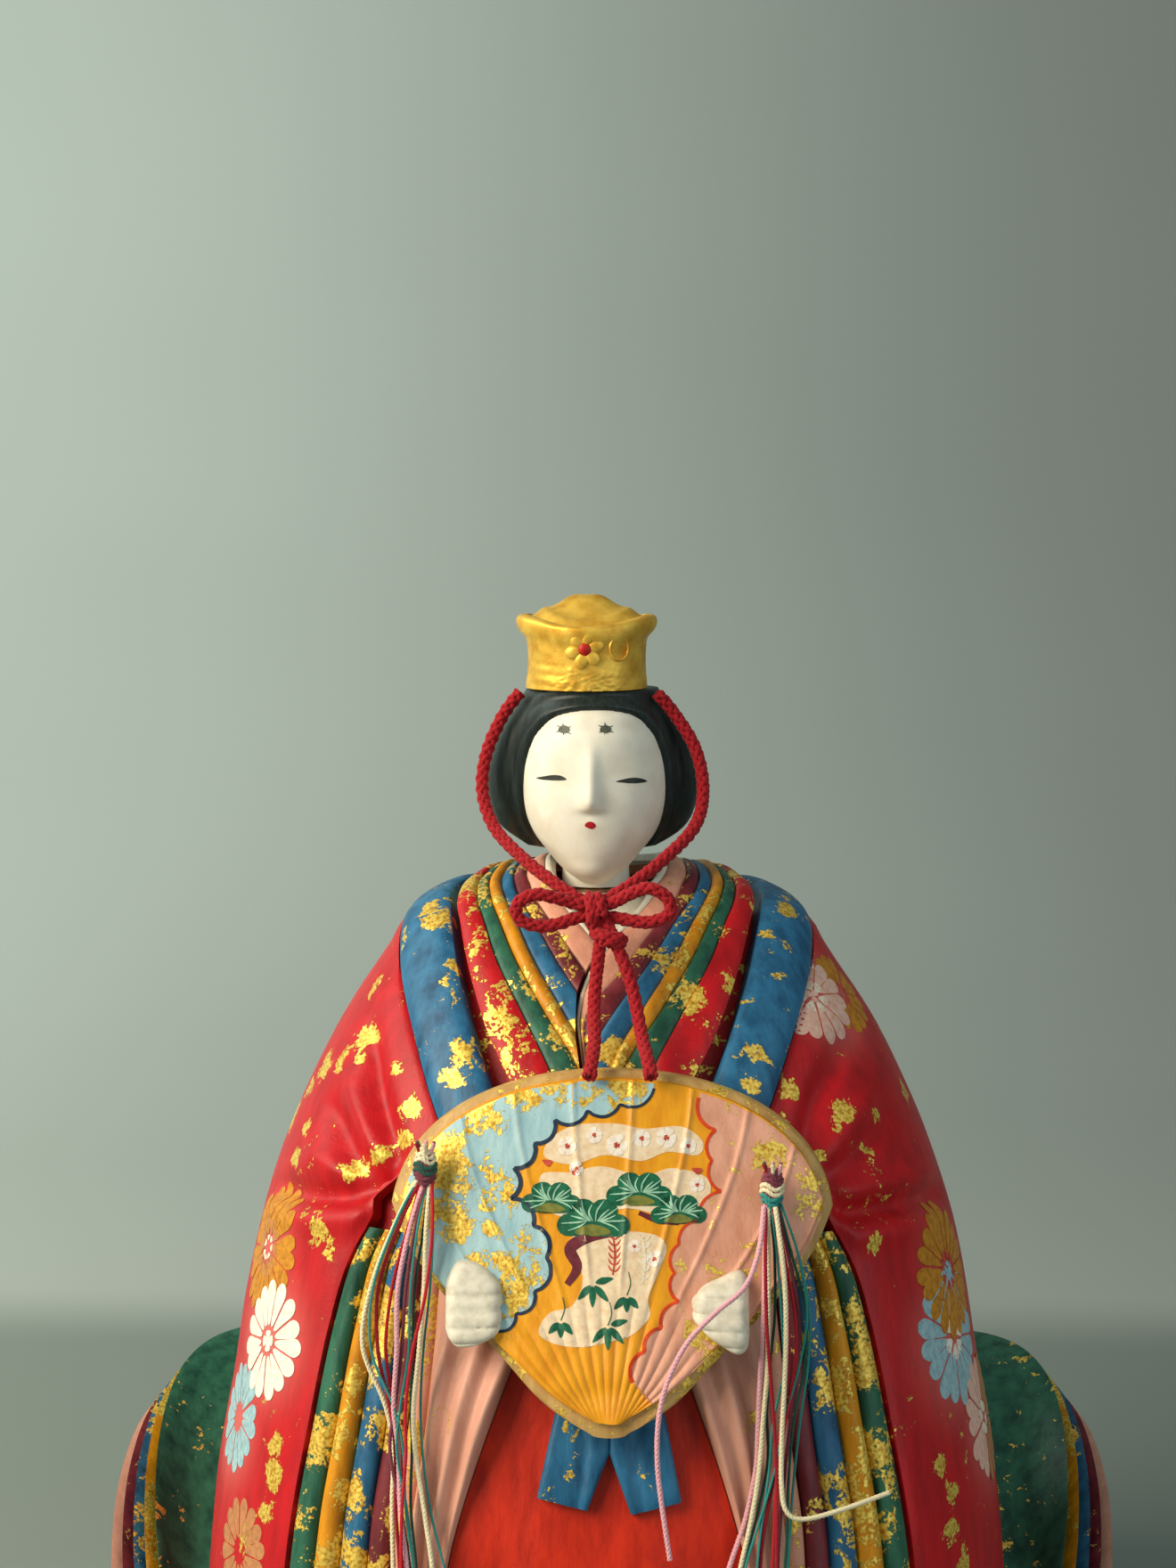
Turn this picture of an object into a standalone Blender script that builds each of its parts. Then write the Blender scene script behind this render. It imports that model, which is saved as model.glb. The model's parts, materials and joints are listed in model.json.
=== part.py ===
# Seated court-lady doll of painted cast clay, with a spread fan, a crown and tied cords.
# Metres, +Z up, the doll faces -Y, the origin is the middle of its flat underside.

import math

import bmesh
import bpy
from mathutils import Matrix, Vector

# Clearances
gap = 0.0004
seam_share = 0.5
weld_share = 0.01
sharp_angle = math.radians(40)
search_steps = 30
curve_fineness = 12
guide_samples = 60

# The outer form of the robe: one oval for each height, narrowing to the neck
body_height = 0.136
body_half_width = 0.063
body_front = 0.0595
body_back = 0.0365
oval_power_share = 2.3
probe_step = 0.0002
height_shares = (
    0, 0.147, 0.279, 0.404, 0.515, 0.588, 0.662, 0.721, 0.787,
    0.831, 0.868, 0.890, 0.915, 0.934, 0.949, 0.963, 0.978, 1)
width_shares = (
    1, 0.992, 0.968, 0.924, 0.884, 0.849, 0.797, 0.743, 0.673,
    0.616, 0.563, 0.532, 0.500, 0.444, 0.381, 0.302, 0.238, 0.143)
front_shares = (
    1, 0.988, 0.950, 0.882, 0.807, 0.760, 0.706, 0.652, 0.578,
    0.514, 0.450, 0.408, 0.353, 0.308, 0.269, 0.235, 0.218, 0.168)
back_shares = (
    1, 0.959, 0.890, 0.808, 0.740, 0.690, 0.636, 0.575, 0.515,
    0.474, 0.438, 0.416, 0.389, 0.356, 0.315, 0.260, 0.192, 0.123)

# The cast core under the layers
skirt_layer = 0.0065
chest_layer = 0.0034
layer_blend_shares = (0.54, 0.62)
back_seam_angle = math.radians(118)
seam_angle = math.radians(0.7)
core_front_steps = 26
core_back_steps = 8
core_row_shares = (0, 0.15, 0.3, 0.43, 0.54, 0.58, 0.62, 0.67, 0.715, 0.76, 0.81, 0.865, 0.905)
core_top_row_shares = (0.912, 0.945, 0.978)
core_top_drop = 0.0065
core_top = body_height - core_top_drop
core_wall = 0.005
cavity_row_shares = (0, 0.15, 0.35, 0.55, 0.72)
base_thickness = 0.003
base_ledge = 0.002

# Sleeves, their layered edges, and what lies between them
side_row_shares = (0, 0.15, 0.3, 0.43, 0.54, 0.58, 0.62, 0.67, 0.715, 0.76, 0.81, 0.865)
shoulder_lift = 0.0008
side_lift_shares = (0, 0, 0, 0, 0, 0, 0, 0, 0, 0.25, 0.6, 1)
sleeve_columns = 9
edge_level_shares = (0, 0.147, 0.279, 0.331, 0.412, 0.515, 0.581, 0.632)
edge_outer_shares = (0.770, 0.749, 0.724, 0.708, 0.675, 0.629, 0.586, 0.527)
edge_inner_shares = (0.476, 0.463, 0.444, 0.438, 0.413, 0.390, 0.375, 0.346)
edge_split_shares = (0, 0.2, 0.39, 0.615, 0.805, 1)
edge_row_shares = (0, 0.09, 0.18, 0.27, 0.35, 0.43, 0.49, 0.54, 0.58, 0.62)
edge_step_share = 0.11
edge_crown = 0.00035
edge_columns = 2
fan_corner_share = 0.65
strap_foot_share = 0.715
hakama_level_shares = (0, 0.147, 0.279, 0.331, 0.412, 0.485, 0.53)
hakama_edge_shares = (0.429, 0.397, 0.349, 0.324, 0.267, 0.206, 0.165)
hakama_row_shares = (0, 0.09, 0.18, 0.27, 0.33, 0.38, 0.43, 0.48, 0.53)
hakama_recess = 0.0025
hakama_columns = 8
inner_level_shares = (0, 0.147, 0.28, 0.368, 0.412, 0.456, 0.493, 0.522, 0.551, 0.625)
inner_recess = 0.0015
inner_rise_shares = (0, 0, 0.33, 1, 2, 2.5, 2, 1, 0.33, -0.33)
inner_row_shares = (0, 0.1, 0.2, 0.28, 0.34, 0.39, 0.43, 0.465, 0.5, 0.54, 0.58, 0.62)
inner_fold = 0.0006
inner_fold_count = 2
inner_columns = 6

# Bands over the shoulders and the layered collars, as places seen from above
strap_rise = 0.001
strap_outer_shares = (
    (-0.363, -0.592), (-0.402, -0.524), (-0.440, -0.430), (-0.475, -0.310),
    (-0.492, -0.205), (-0.495, -0.085), (-0.470, 0.034), (-0.413, 0.126))
strap_inner_shares = (
    (-0.226, -0.612), (-0.268, -0.550), (-0.310, -0.462), (-0.344, -0.353),
    (-0.367, -0.235), (-0.374, -0.118), (-0.360, -0.017), (-0.310, 0.090))
collar_outer_shares = (
    (-0.165, -0.613), (-0.215, -0.566), (-0.268, -0.487), (-0.314, -0.370), (-0.341, -0.260),
    (-0.354, -0.168), (-0.333, -0.045), (-0.238, 0.110), (0, 0.200))
collar_inner_shares = (
    (0.035, -0.602), (0.050, -0.543), (0.060, -0.490), (0.045, -0.430), (0, -0.360),
    (-0.090, -0.245), (-0.140, -0.134), (-0.130, 0.050), (0, 0.100))
collar_split_shares = (
    (0, 0.03, 0.10, 0.24, 0.39, 0.49, 0.634, 1), (0, 0.03, 0.10, 0.24, 0.39, 0.49, 0.634, 1),
    (0, 0.04, 0.13, 0.36, 0.60, 0.71, 0.830, 1), (0, 0.06, 0.18, 0.40, 0.60, 0.69, 0.805, 1),
    (0, 0.10, 0.31, 0.50, 0.67, 0.76, 0.860, 1), (0, 0.11, 0.38, 0.55, 0.70, 0.79, 0.890, 1),
    (0, 0.11, 0.39, 0.56, 0.71, 0.79, 0.890, 1), (0, 0.11, 0.39, 0.56, 0.71, 0.79, 0.890, 1),
    (0, 0.11, 0.39, 0.56, 0.71, 0.79, 0.890, 1))
collar_low = -0.0015
collar_step = 0.0004
strip_samples = 15
guide_step = 3

# Hair lying down the back
hair_fall_half_angle = math.radians(16)
hair_fall_rise = 0.0025
hair_fall_low_share = 0.43
hair_fall_high_share = 0.885
hair_fall_rows = 9
hair_fall_columns = 5

# The fan
fan_pivot_x = 0.0018
fan_pivot_sink = 0.0015
fan_pivot_y = fan_pivot_sink - body_front
fan_pivot_share = 0.4573529
fan_pivot_z = body_height * fan_pivot_share
fan_radius = 0.0482
fan_stand = 0.00079195
fan_corner_drop_share = 0.13
fan_foot_drop = 0.0029
fan_foot_shares = (0.06, 0.35)
fan_radius_shares = (0.06, 0.35, 0.6, 0.85, 1)
fan_angles = (math.radians(72), math.radians(58), math.radians(54), math.radians(50), math.radians(46))
fan_bend = 0.004
fan_bend_width = 0.03
fan_leaf_thickness = 0.0026
fan_back_thickness = 0.0016
fan_back_grow_share = 1.045
fan_centre_share = 0.62
fan_pleats = 16
fan_pleat_depth = 0.0003
fan_rows = 5

# The hands, in front of the fan's lower sides
hand_length = 0.009
hand_height = 0.012
hand_depth = 0.0038
hand_rise = 0.0156
hand_place_z = fan_pivot_z + hand_rise
hand_place_x = 0.0172
hand_lean = math.radians(12)
hand_end_share = 0.16
hand_rim_share = 0.15
hand_swell_power_share = 0.6
hand_sides = 16
hand_rows = 6

# The sash ends below the fan
sash_height = 0.0155
sash_half_width = 0.0103
sash_thickness = 0.0019
sash_rise = 0.002
sash_top = fan_pivot_z + sash_rise
sash_outline_shares = (
    (-0.76, 0), (-1, -0.8), (-0.42, -1), (0.05, -0.57), (0.33, -1), (1, -0.83), (0.62, 0))

# The train: a stack of layers that turns up round the sides and back
train_end_angle = math.radians(78)
train_angle_shares = (0, 0.07, 0.12, 0.19, 0.27, 0.36, 0.46, 0.6, 0.8, 1)
train_reach = 0.019
train_rim_radius = body_half_width + train_reach
train_rim_shares = (0.811, 0.850, 0.871, 0.908, 0.945, 0.975, 0.972, 0.822, 0.648, 0.608)
train_rim_height = 0.046
train_height_shares = (0.11, 0.25, 0.38, 0.60, 0.80, 0.95, 1, 0.985, 0.95, 0.93)
train_inner_shares = (0.10, 0.2, 0.26, 0.38, 0.58, 0.80, 0.93, 0.98, 1, 1)
train_stations = 24
train_columns = 4
train_dip = 0.002
train_pitch = 0.0023
train_pitch_share = 0.18
train_reveal = 0.0019
train_foot_draw = 0.005

# The head, its hair and the peg that it turns on
head_x = -0.0017
head_y = -0.009
head_half_width = 0.0113
head_front = 0.0125
head_back = 0.0135
chin_drop = 0.0041
head_height = 0.0282
head_low = body_height - chin_drop
head_high = head_low + head_height
head_level_shares = (0, 0.06, 0.15, 0.25, 0.4, 0.54, 0.68, 0.82, 0.94, 1)
head_width_shares = (0.22, 0.42, 0.62, 0.81, 0.96, 1, 0.97, 0.87, 0.66, 0.35)
head_front_shares = (0.55, 0.78, 0.88, 0.94, 0.98, 1, 0.99, 0.93, 0.75, 0.4)
head_back_shares = (0.1, 0.2, 0.45, 0.7, 0.9, 1, 1, 0.88, 0.62, 0.3)
head_sides = 24
head_rows = 13
nose_rise = 0.0024
nose_half_width = 0.0016
nose_level_shares = (0, 0.38, 0.42, 0.47, 0.6, 0.8, 1)
nose_rise_shares = (0, 0, 0.55, 1, 0.55, 0, 0)
neck_x = -0.0017
neck_y = -0.004
neck_radius = 0.0052
neck_length = 0.0066
socket_stand = 0.0005
socket_high = core_top + socket_stand
neck_low = socket_high + gap
neck_high = neck_low + neck_length
peg_radius = 0.0031
peg_length = 0.022
peg_low_rise = 0.001
socket_radius = 0.0045
socket_depth = 0.0175
socket_low = socket_high - socket_depth
peg_low = socket_low + peg_low_rise
peg_high = peg_low + peg_length
round_sides = 28

hair_x = -0.002
hair_half_width = 0.0148
hair_front = 0.0112
hair_back = 0.0135
hair_y = -0.0065
hair_low_rise = 0.0053
hair_top_rise = 0.0007
hair_low = head_low + hair_low_rise
hair_high = head_high + hair_top_rise
hair_level_shares = (0, 0.12, 0.27, 0.42, 0.56, 0.75, 0.9, 1)
hair_width_shares = (0.70, 0.865, 0.966, 1, 0.973, 0.865, 0.723, 0.635)
hair_front_shares = (0.10, 0.42, 0.68, 0.79, 0.86, 0.98, 1.08, 1.03)
hair_back_shares = (0.60, 0.8, 0.95, 1, 1, 0.96, 0.86, 0.76)
hair_sides = 28
hair_rows = 9

# The crown
crown_x = -0.0029
crown_y = -0.0095
crown_low = hair_high + gap
crown_height = 0.0108
crown_half_width = 0.009
crown_half_depth = 0.0087
crown_flare = 0.0015
crown_wall = 0.0012
crown_front_dip = 0.0008
crown_level_shares = (0, 0.12, 0.2, 0.6, 0.8, 0.93, 1)
crown_flare_shares = (0.1, 0.1, 0, 0, 0.2, 0.75, 1)
dome_rise = 0.0036
dome_base = 0.008
dome_level_shares = (0, 0.3, 0.6, 0.8, 0.93, 1)
dome_radius_shares = (1, 0.97, 0.82, 0.62, 0.38, 0.08)
crown_sides = 24
flower_radius = 0.0026
flower_petals = 5
flower_thickness = 0.0007
flower_rise = 0.0055
flower_height = crown_low + flower_rise
flower_sides = 30
petal_depth_share = 0.16
jewel_radius = 0.001
jewel_thickness = 0.0008
jewel_sides = 16

# The crimson cord: each route is a list of places chosen by hand
cord_thickness = 0.002
cord_step = 0.0046
cord_fine_step = 0.0024
chin_left_route = (
    (-0.0129, -0.0115, 0.1603), (-0.0156, -0.0115, 0.1566), (-0.0180, -0.0122, 0.1508),
    (-0.0184, -0.0135, 0.1452), (-0.0163, -0.0165, 0.1402), (-0.0115, -0.0220, 0.1362),
    (-0.0066, -0.0260, 0.1331), (-0.0044, -0.0272, 0.1319))
chin_right_route = (
    (0.0078, -0.0130, 0.1603), (0.0103, -0.0122, 0.1573), (0.0135, -0.0124, 0.1520),
    (0.0147, -0.0135, 0.1460), (0.0135, -0.0165, 0.1408), (0.0088, -0.0220, 0.1364),
    (0.0040, -0.0260, 0.1331), (0.0018, -0.0272, 0.1319))
loop_left_route = (
    (-0.0044, -0.0292, 0.1310), (-0.0068, -0.0298, 0.1318), (-0.0098, -0.0302, 0.1323),
    (-0.0123, -0.0302, 0.1308), (-0.0119, -0.0302, 0.1286), (-0.0088, -0.0300, 0.1276),
    (-0.0058, -0.0296, 0.1281), (-0.0042, -0.0292, 0.1286))
loop_right_route = (
    (0.0020, -0.0292, 0.1312), (0.0043, -0.0298, 0.1325), (0.0070, -0.0302, 0.1333),
    (0.0096, -0.0302, 0.1318), (0.0098, -0.0302, 0.1295), (0.0070, -0.0300, 0.1283),
    (0.0040, -0.0296, 0.1285), (0.0020, -0.0292, 0.1288))
tail_left_route = (
    (-0.0003, -0.0308, 0.1246), (-0.0008, -0.0318, 0.1200), (-0.0010, -0.0335, 0.1160),
    (-0.0008, -0.0366, 0.1125), (-0.0010, -0.0402, 0.1102), (-0.0014, -0.0428, 0.1080))
tail_right_route = (
    (0.0024, -0.0308, 0.1246), (0.0042, -0.0318, 0.1200), (0.0052, -0.0335, 0.1160),
    (0.0060, -0.0366, 0.1125), (0.0068, -0.0402, 0.1102), (0.0074, -0.0428, 0.1081))
bow_knot_place = (-0.0012, -0.0290, 0.1298)
bow_knot_size = (0.0023, 0.0022, 0.0025)
tail_knot_place = (0.0010, -0.0303, 0.1261)
tail_knot_size = (0.0027, 0.0018, 0.0015)

# The knotted threads that hang at each end of the fan
thread_thickness = 0.0008
thread_step = 0.0047
knot_size = (0.0026, 0.0025, 0.0034)
knot_sides = 14
knot_rings = 9
left_knot_place = (-0.0245, -0.0458, 0.0955)
right_knot_place = (0.0245, -0.0472, 0.0932)
left_threads = (
    ((-0.0255, -0.0460, 0.0938), (-0.0285, -0.0466, 0.0880), (-0.0320, -0.0470, 0.0790),
     (-0.0334, -0.0474, 0.0700), (-0.0302, -0.0486, 0.0620), (-0.0289, -0.0497, 0.0560),
     (-0.0289, -0.0518, 0.0480), (-0.0286, -0.0537, 0.0390), (-0.0282, -0.0556, 0.0280),
     (-0.0285, -0.0564, 0.0180)),
    ((-0.0250, -0.0462, 0.0936), (-0.0266, -0.0470, 0.0880), (-0.0290, -0.0480, 0.0790),
     (-0.0300, -0.0484, 0.0700), (-0.0289, -0.0488, 0.0620), (-0.0276, -0.0500, 0.0560),
     (-0.0276, -0.0520, 0.0480), (-0.0272, -0.0539, 0.0390), (-0.0266, -0.0558, 0.0260),
     (-0.0262, -0.0567, 0.0130)),
    ((-0.0243, -0.0464, 0.0935), (-0.0256, -0.0484, 0.0880), (-0.0270, -0.0496, 0.0790),
     (-0.0276, -0.0499, 0.0700), (-0.0286, -0.0503, 0.0620), (-0.0292, -0.0514, 0.0560),
     (-0.0275, -0.0534, 0.0480), (-0.0260, -0.0554, 0.0390), (-0.0254, -0.0568, 0.0280),
     (-0.0250, -0.0576, 0.0160)),
    ((-0.0240, -0.0462, 0.0935), (-0.0246, -0.0480, 0.0870), (-0.0258, -0.0484, 0.0790),
     (-0.0262, -0.0486, 0.0700), (-0.0264, -0.0491, 0.0620), (-0.0262, -0.0503, 0.0560),
     (-0.0262, -0.0523, 0.0480), (-0.0252, -0.0542, 0.0390), (-0.0240, -0.0562, 0.0260),
     (-0.0238, -0.0568, 0.0180)),
    ((-0.0235, -0.0464, 0.0936), (-0.0232, -0.0486, 0.0870), (-0.0236, -0.0492, 0.0790),
     (-0.0246, -0.0490, 0.0700), (-0.0250, -0.0494, 0.0620), (-0.0246, -0.0508, 0.0550),
     (-0.0232, -0.0530, 0.0470), (-0.0210, -0.0552, 0.0390), (-0.0196, -0.0568, 0.0300)))
right_threads = (
    ((0.0236, -0.0478, 0.0910), (0.0235, -0.0500, 0.0850), (0.0233, -0.0515, 0.0760),
     (0.0229, -0.0517, 0.0680), (0.0226, -0.0517, 0.0600), (0.0223, -0.0521, 0.0540),
     (0.0208, -0.0533, 0.0470), (0.0184, -0.0551, 0.0400), (0.0170, -0.0566, 0.0320)),
    ((0.0241, -0.0476, 0.0909), (0.0248, -0.0494, 0.0850), (0.0249, -0.0503, 0.0760),
     (0.0243, -0.0505, 0.0690), (0.0239, -0.0505, 0.0620), (0.0240, -0.0512, 0.0550),
     (0.0226, -0.0526, 0.0480), (0.0206, -0.0545, 0.0400), (0.0195, -0.0562, 0.0300),
     (0.0193, -0.0570, 0.0220)),
    ((0.0246, -0.0480, 0.0908), (0.0260, -0.0508, 0.0840), (0.0268, -0.0514, 0.0760),
     (0.0268, -0.0515, 0.0680), (0.0258, -0.0517, 0.0600), (0.0246, -0.0530, 0.0520),
     (0.0232, -0.0547, 0.0440), (0.0226, -0.0563, 0.0340), (0.0224, -0.0574, 0.0240),
     (0.0225, -0.0580, 0.0140)),
    ((0.0252, -0.0474, 0.0909), (0.0268, -0.0484, 0.0840), (0.0283, -0.0484, 0.0760),
     (0.0282, -0.0486, 0.0680), (0.0272, -0.0492, 0.0600), (0.0263, -0.0510, 0.0520),
     (0.0256, -0.0531, 0.0440), (0.0252, -0.0549, 0.0340), (0.0250, -0.0562, 0.0240),
     (0.0251, -0.0569, 0.0160)),
    ((0.0257, -0.0472, 0.0912), (0.0282, -0.0478, 0.0840), (0.0298, -0.0478, 0.0760),
     (0.0297, -0.0480, 0.0680), (0.0286, -0.0489, 0.0600), (0.0277, -0.0507, 0.0520),
     (0.0271, -0.0527, 0.0440), (0.0266, -0.0547, 0.0340), (0.0265, -0.0562, 0.0220)))
pink_thread_route = (
    (0.0233, -0.0500, 0.0913), (0.0226, -0.0530, 0.0860), (0.0206, -0.0562, 0.0815),
    (0.0164, -0.0582, 0.0782), (0.0126, -0.0590, 0.0742), (0.0100, -0.0596, 0.0690),
    (0.0088, -0.0600, 0.0640), (0.0086, -0.0602, 0.0580), (0.0092, -0.0604, 0.0520),
    (0.0104, -0.0606, 0.0440))
cream_thread_route = (
    (0.0249, -0.0501, 0.0912), (0.0261, -0.0524, 0.0820), (0.0264, -0.0529, 0.0740),
    (0.0262, -0.0530, 0.0660), (0.0259, -0.0531, 0.0590), (0.0259, -0.0541, 0.0525),
    (0.0266, -0.0546, 0.0490), (0.0290, -0.0543, 0.0478), (0.0345, -0.0524, 0.0486),
    (0.0412, -0.0492, 0.0500))

paints = {
    "red": ((0.60, 0.045, 0.05), 0.42, 0),
    "blue": ((0.045, 0.20, 0.37), 0.45, 0),
    "green": ((0.03, 0.12, 0.08), 0.45, 0),
    "yellow": ((0.75, 0.35, 0.01), 0.42, 0),
    "maroon": ((0.19, 0.035, 0.04), 0.45, 0),
    "salmon": ((0.78, 0.36, 0.23), 0.5, 0),
    "pink": ((0.62, 0.33, 0.26), 0.5, 0),
    "white": ((0.82, 0.79, 0.70), 0.5, 0),
    "vermilion": ((0.58, 0.05, 0.012), 0.42, 0),
    "fan": ((0.80, 0.42, 0.12), 0.45, 0),
    "ochre": ((0.60, 0.36, 0.12), 0.45, 0),
    "gold": ((0.70, 0.42, 0.07), 0.35, 0.8),
    "face": ((0.85, 0.81, 0.70), 0.6, 0),
    "hair": ((0.012, 0.016, 0.015), 0.3, 0),
    "crimson": ((0.45, 0.01, 0.015), 0.75, 0),
    "thread": ((0.55, 0.22, 0.22), 0.8, 0),
    "ruby": ((0.5, 0.02, 0.01), 0.4, 0),
    "wood": ((0.42, 0.26, 0.13), 0.7, 0),
    "clay": ((0.42, 0.31, 0.22), 0.85, 0)}


def clear_scene():
    for item in list(bpy.data.objects):
        bpy.data.objects.remove(item, do_unlink=True)


clear_scene()
parts = bpy.data.collections.new("hina_doll")
cutters = bpy.data.collections.new("cutters")
bpy.context.scene.collection.children.link(parts)
bpy.context.scene.collection.children.link(cutters)


def paint(name):
    material = bpy.data.materials.get(name)
    if material:
        return material
    material = bpy.data.materials.new(name)
    material.use_nodes = True
    colour, roughness, metallic = paints[name]
    shader = material.node_tree.nodes["Principled BSDF"]
    shader.inputs["Base Color"].default_value = (*colour, 1)
    shader.inputs["Roughness"].default_value = roughness
    shader.inputs["Metallic"].default_value = metallic
    material.diffuse_color = (*colour, 1)
    return material


def add_object(name, data, colour, collection=parts):
    item = bpy.data.objects.new(name, data)
    collection.objects.link(item)
    if colour:
        data.materials.append(paint(colour))
    if collection is cutters:
        item.hide_render = True
        item.display_type = "WIRE"
    return item


def add_mesh(name, points, faces, colour, collection=parts):
    mesh = bpy.data.meshes.new(name)
    mesh.from_pydata([tuple(point) for point in points], [], faces)
    shape = bmesh.new()
    shape.from_mesh(mesh)
    bmesh.ops.recalc_face_normals(shape, faces=shape.faces)
    shape.to_mesh(mesh)
    shape.free()
    mesh.shade_smooth()
    mesh.set_sharp_from_angle(angle=sharp_angle)
    return add_object(name, mesh, colour, collection)


def lofted(name, rings, colour, looped=False, collection=parts):
    # Closed rings joined in turn: capped at both ends, or joined last to first
    count = len(rings[0])
    points = [point for ring in rings for point in ring]
    faces = []
    steps = len(rings) if looped else len(rings) - 1
    for row in range(steps):
        start = row * count
        following = (row + 1) % len(rings) * count
        for k in range(count):
            after = (k + 1) % count
            faces.append((start + k, start + after, following + after, following + k))
    if not looped:
        faces.append(tuple(range(count)))
        faces.append(tuple(range(len(points) - count, len(points))))
    return add_mesh(name, points, faces, colour, collection)


def solid_between(name, top, under, colour):
    # A curved slab: a grid of points on its face and the same grid on its back
    rows = len(top)
    columns = len(top[0])
    points = [point for row in top for point in row] + [point for row in under for point in row]
    back = rows * columns
    faces = []
    for i in range(rows - 1):
        for j in range(columns - 1):
            a = i * columns + j
            for corners in ((a, a + 1, a + columns + 1), (a, a + columns + 1, a + columns)):
                faces.append(corners)
                faces.append(tuple(back + k for k in reversed(corners)))
    border = list(range(columns))
    border += [i * columns + columns - 1 for i in range(1, rows)]
    border += [(rows - 1) * columns + j for j in range(columns - 2, -1, -1)]
    border += [i * columns for i in range(rows - 2, 0, -1)]
    for k, a in enumerate(border):
        b = border[(k + 1) % len(border)]
        faces.append((a, back + a, back + b, b))
    return add_mesh(name, points, faces, colour)


def smooth(places, values, at):
    # The smooth curve through a table, read at one place
    last = len(places) - 1
    at = min(max(at, places[0]), places[last])
    k = 0
    while k < last - 1 and at > places[k + 1]:
        k += 1
    span = places[k + 1] - places[k]
    t = (at - places[k]) / span
    rise = (values[k + 1] - values[k]) / span
    before = rise
    if k > 0:
        before = (values[k] - values[k - 1]) / (places[k] - places[k - 1])
    after = rise
    if k < last - 1:
        after = (values[k + 2] - values[k + 1]) / (places[k + 2] - places[k + 1])
    start_slope = (before + rise) / 2 * span
    end_slope = (rise + after) / 2 * span
    cube = t ** 3
    square = t ** 2
    near = 2 * cube - 3 * square + 1
    return (near * values[k] + (1 - near) * values[k + 1]
            + (cube - 2 * square + t) * start_slope + (cube - square) * end_slope)


def curve_through(points, count):
    # Evenly spaced places on a smooth curve through the given ones
    dense = []
    spans = len(points) - 1
    for k in range(spans):
        p0 = Vector(points[max(k - 1, 0)])
        p1 = Vector(points[k])
        p2 = Vector(points[k + 1])
        p3 = Vector(points[min(k + 2, spans)])
        for step in range(curve_fineness):
            t = step / curve_fineness
            dense.append(0.5 * (2 * p1 + (p2 - p0) * t + (2 * p0 - 5 * p1 + 4 * p2 - p3) * t ** 2
                                + (3 * p1 - p0 - 3 * p2 + p3) * t ** 3))
    dense.append(Vector(points[spans]))
    lengths = [0]
    for a, b in zip(dense, dense[1:]):
        lengths.append(lengths[-1] + (b - a).length)
    spaced = []
    k = 0
    for step in range(count):
        wanted = lengths[-1] * step / (count - 1)
        while k < len(lengths) - 2 and lengths[k + 1] < wanted:
            k += 1
        part = (wanted - lengths[k]) / (lengths[k + 1] - lengths[k])
        spaced.append(dense[k].lerp(dense[k + 1], part))
    return spaced


def route_length(points):
    return sum((Vector(b) - Vector(a)).length for a, b in zip(points, points[1:]))


# The outer form
def form_sizes(height):
    share = height / body_height
    return (body_half_width * smooth(height_shares, width_shares, share),
            body_front * smooth(height_shares, front_shares, share),
            body_back * smooth(height_shares, back_shares, share))


def form_point(angle, height):
    width, front, back = form_sizes(height)
    depth = front if math.cos(angle) > 0 else back
    across = (abs(math.sin(angle)) / width) ** oval_power_share
    along = (abs(math.cos(angle)) / depth) ** oval_power_share
    radius = (across + along) ** (-1 / oval_power_share)
    return Vector((radius * math.sin(angle), -radius * math.cos(angle), height))


def form_level(x, y, height):
    width, front, back = form_sizes(height)
    depth = front if y < 0 else back
    return (abs(x) / width) ** oval_power_share + (abs(y) / depth) ** oval_power_share


def form_height(x, y):
    low = 0
    high = body_height
    for _ in range(search_steps):
        middle = (low + high) / 2
        if form_level(x, y, middle) < 1:
            low = middle
        else:
            high = middle
    return low


def form_normal(point):
    x, y, z = point
    upper = min(z + probe_step, body_height)
    lower = max(z - probe_step, 0)
    slope = (form_level(x, y, upper) - form_level(x, y, lower)) / (upper - lower)
    if z <= probe_step:
        slope = 0
    normal = Vector((
        (form_level(x + probe_step, y, z) - form_level(x - probe_step, y, z)) / (2 * probe_step),
        (form_level(x, y + probe_step, z) - form_level(x, y - probe_step, z)) / (2 * probe_step),
        slope))
    return normal.normalized()


def raised(point, rise):
    return point + form_normal(point) * rise


def plan_point(x, y, rise):
    return raised(Vector((x, y, form_height(x, y))), rise)


def form_angle(x, height):
    # The angle from the front at which the form is this far out to the side
    low = 0
    high = math.pi / 2
    for _ in range(search_steps):
        middle = (low + high) / 2
        if form_point(middle, height).x < abs(x):
            low = middle
        else:
            high = middle
    return math.copysign(low, x)


def layer_depth(height):
    start, end = layer_blend_shares
    part = min(max((height / body_height - start) / (end - start), 0), 1)
    return skirt_layer + (chest_layer - skirt_layer) * part * part * (3 - 2 * part)


# The hollow cast core, with its underside open and a ledge for the base
def core_angles():
    front = [back_seam_angle * (2 * k / core_front_steps - 1) for k in range(core_front_steps + 1)]
    turn = 2 * math.pi - 2 * (back_seam_angle + seam_angle)
    back = [back_seam_angle + seam_angle + turn * k / core_back_steps for k in range(core_back_steps + 1)]
    return front + back


def core_ring(share, full_back):
    height = body_height * share
    ring = []
    for angle in core_angles():
        point = form_point(angle, height)
        depth = layer_depth(height)
        if angle > back_seam_angle and full_back:
            depth = 0
        ring.append(raised(point, -depth))
    return ring


def shrunk(ring, depth, height=None):
    middle = sum(ring, Vector()) / len(ring)
    result = []
    for point in ring:
        away = Vector((point.x - middle.x, point.y - middle.y, 0))
        moved = point - away.normalized() * depth
        moved.z = point.z if height is None else height
        result.append(moved)
    return result


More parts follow.
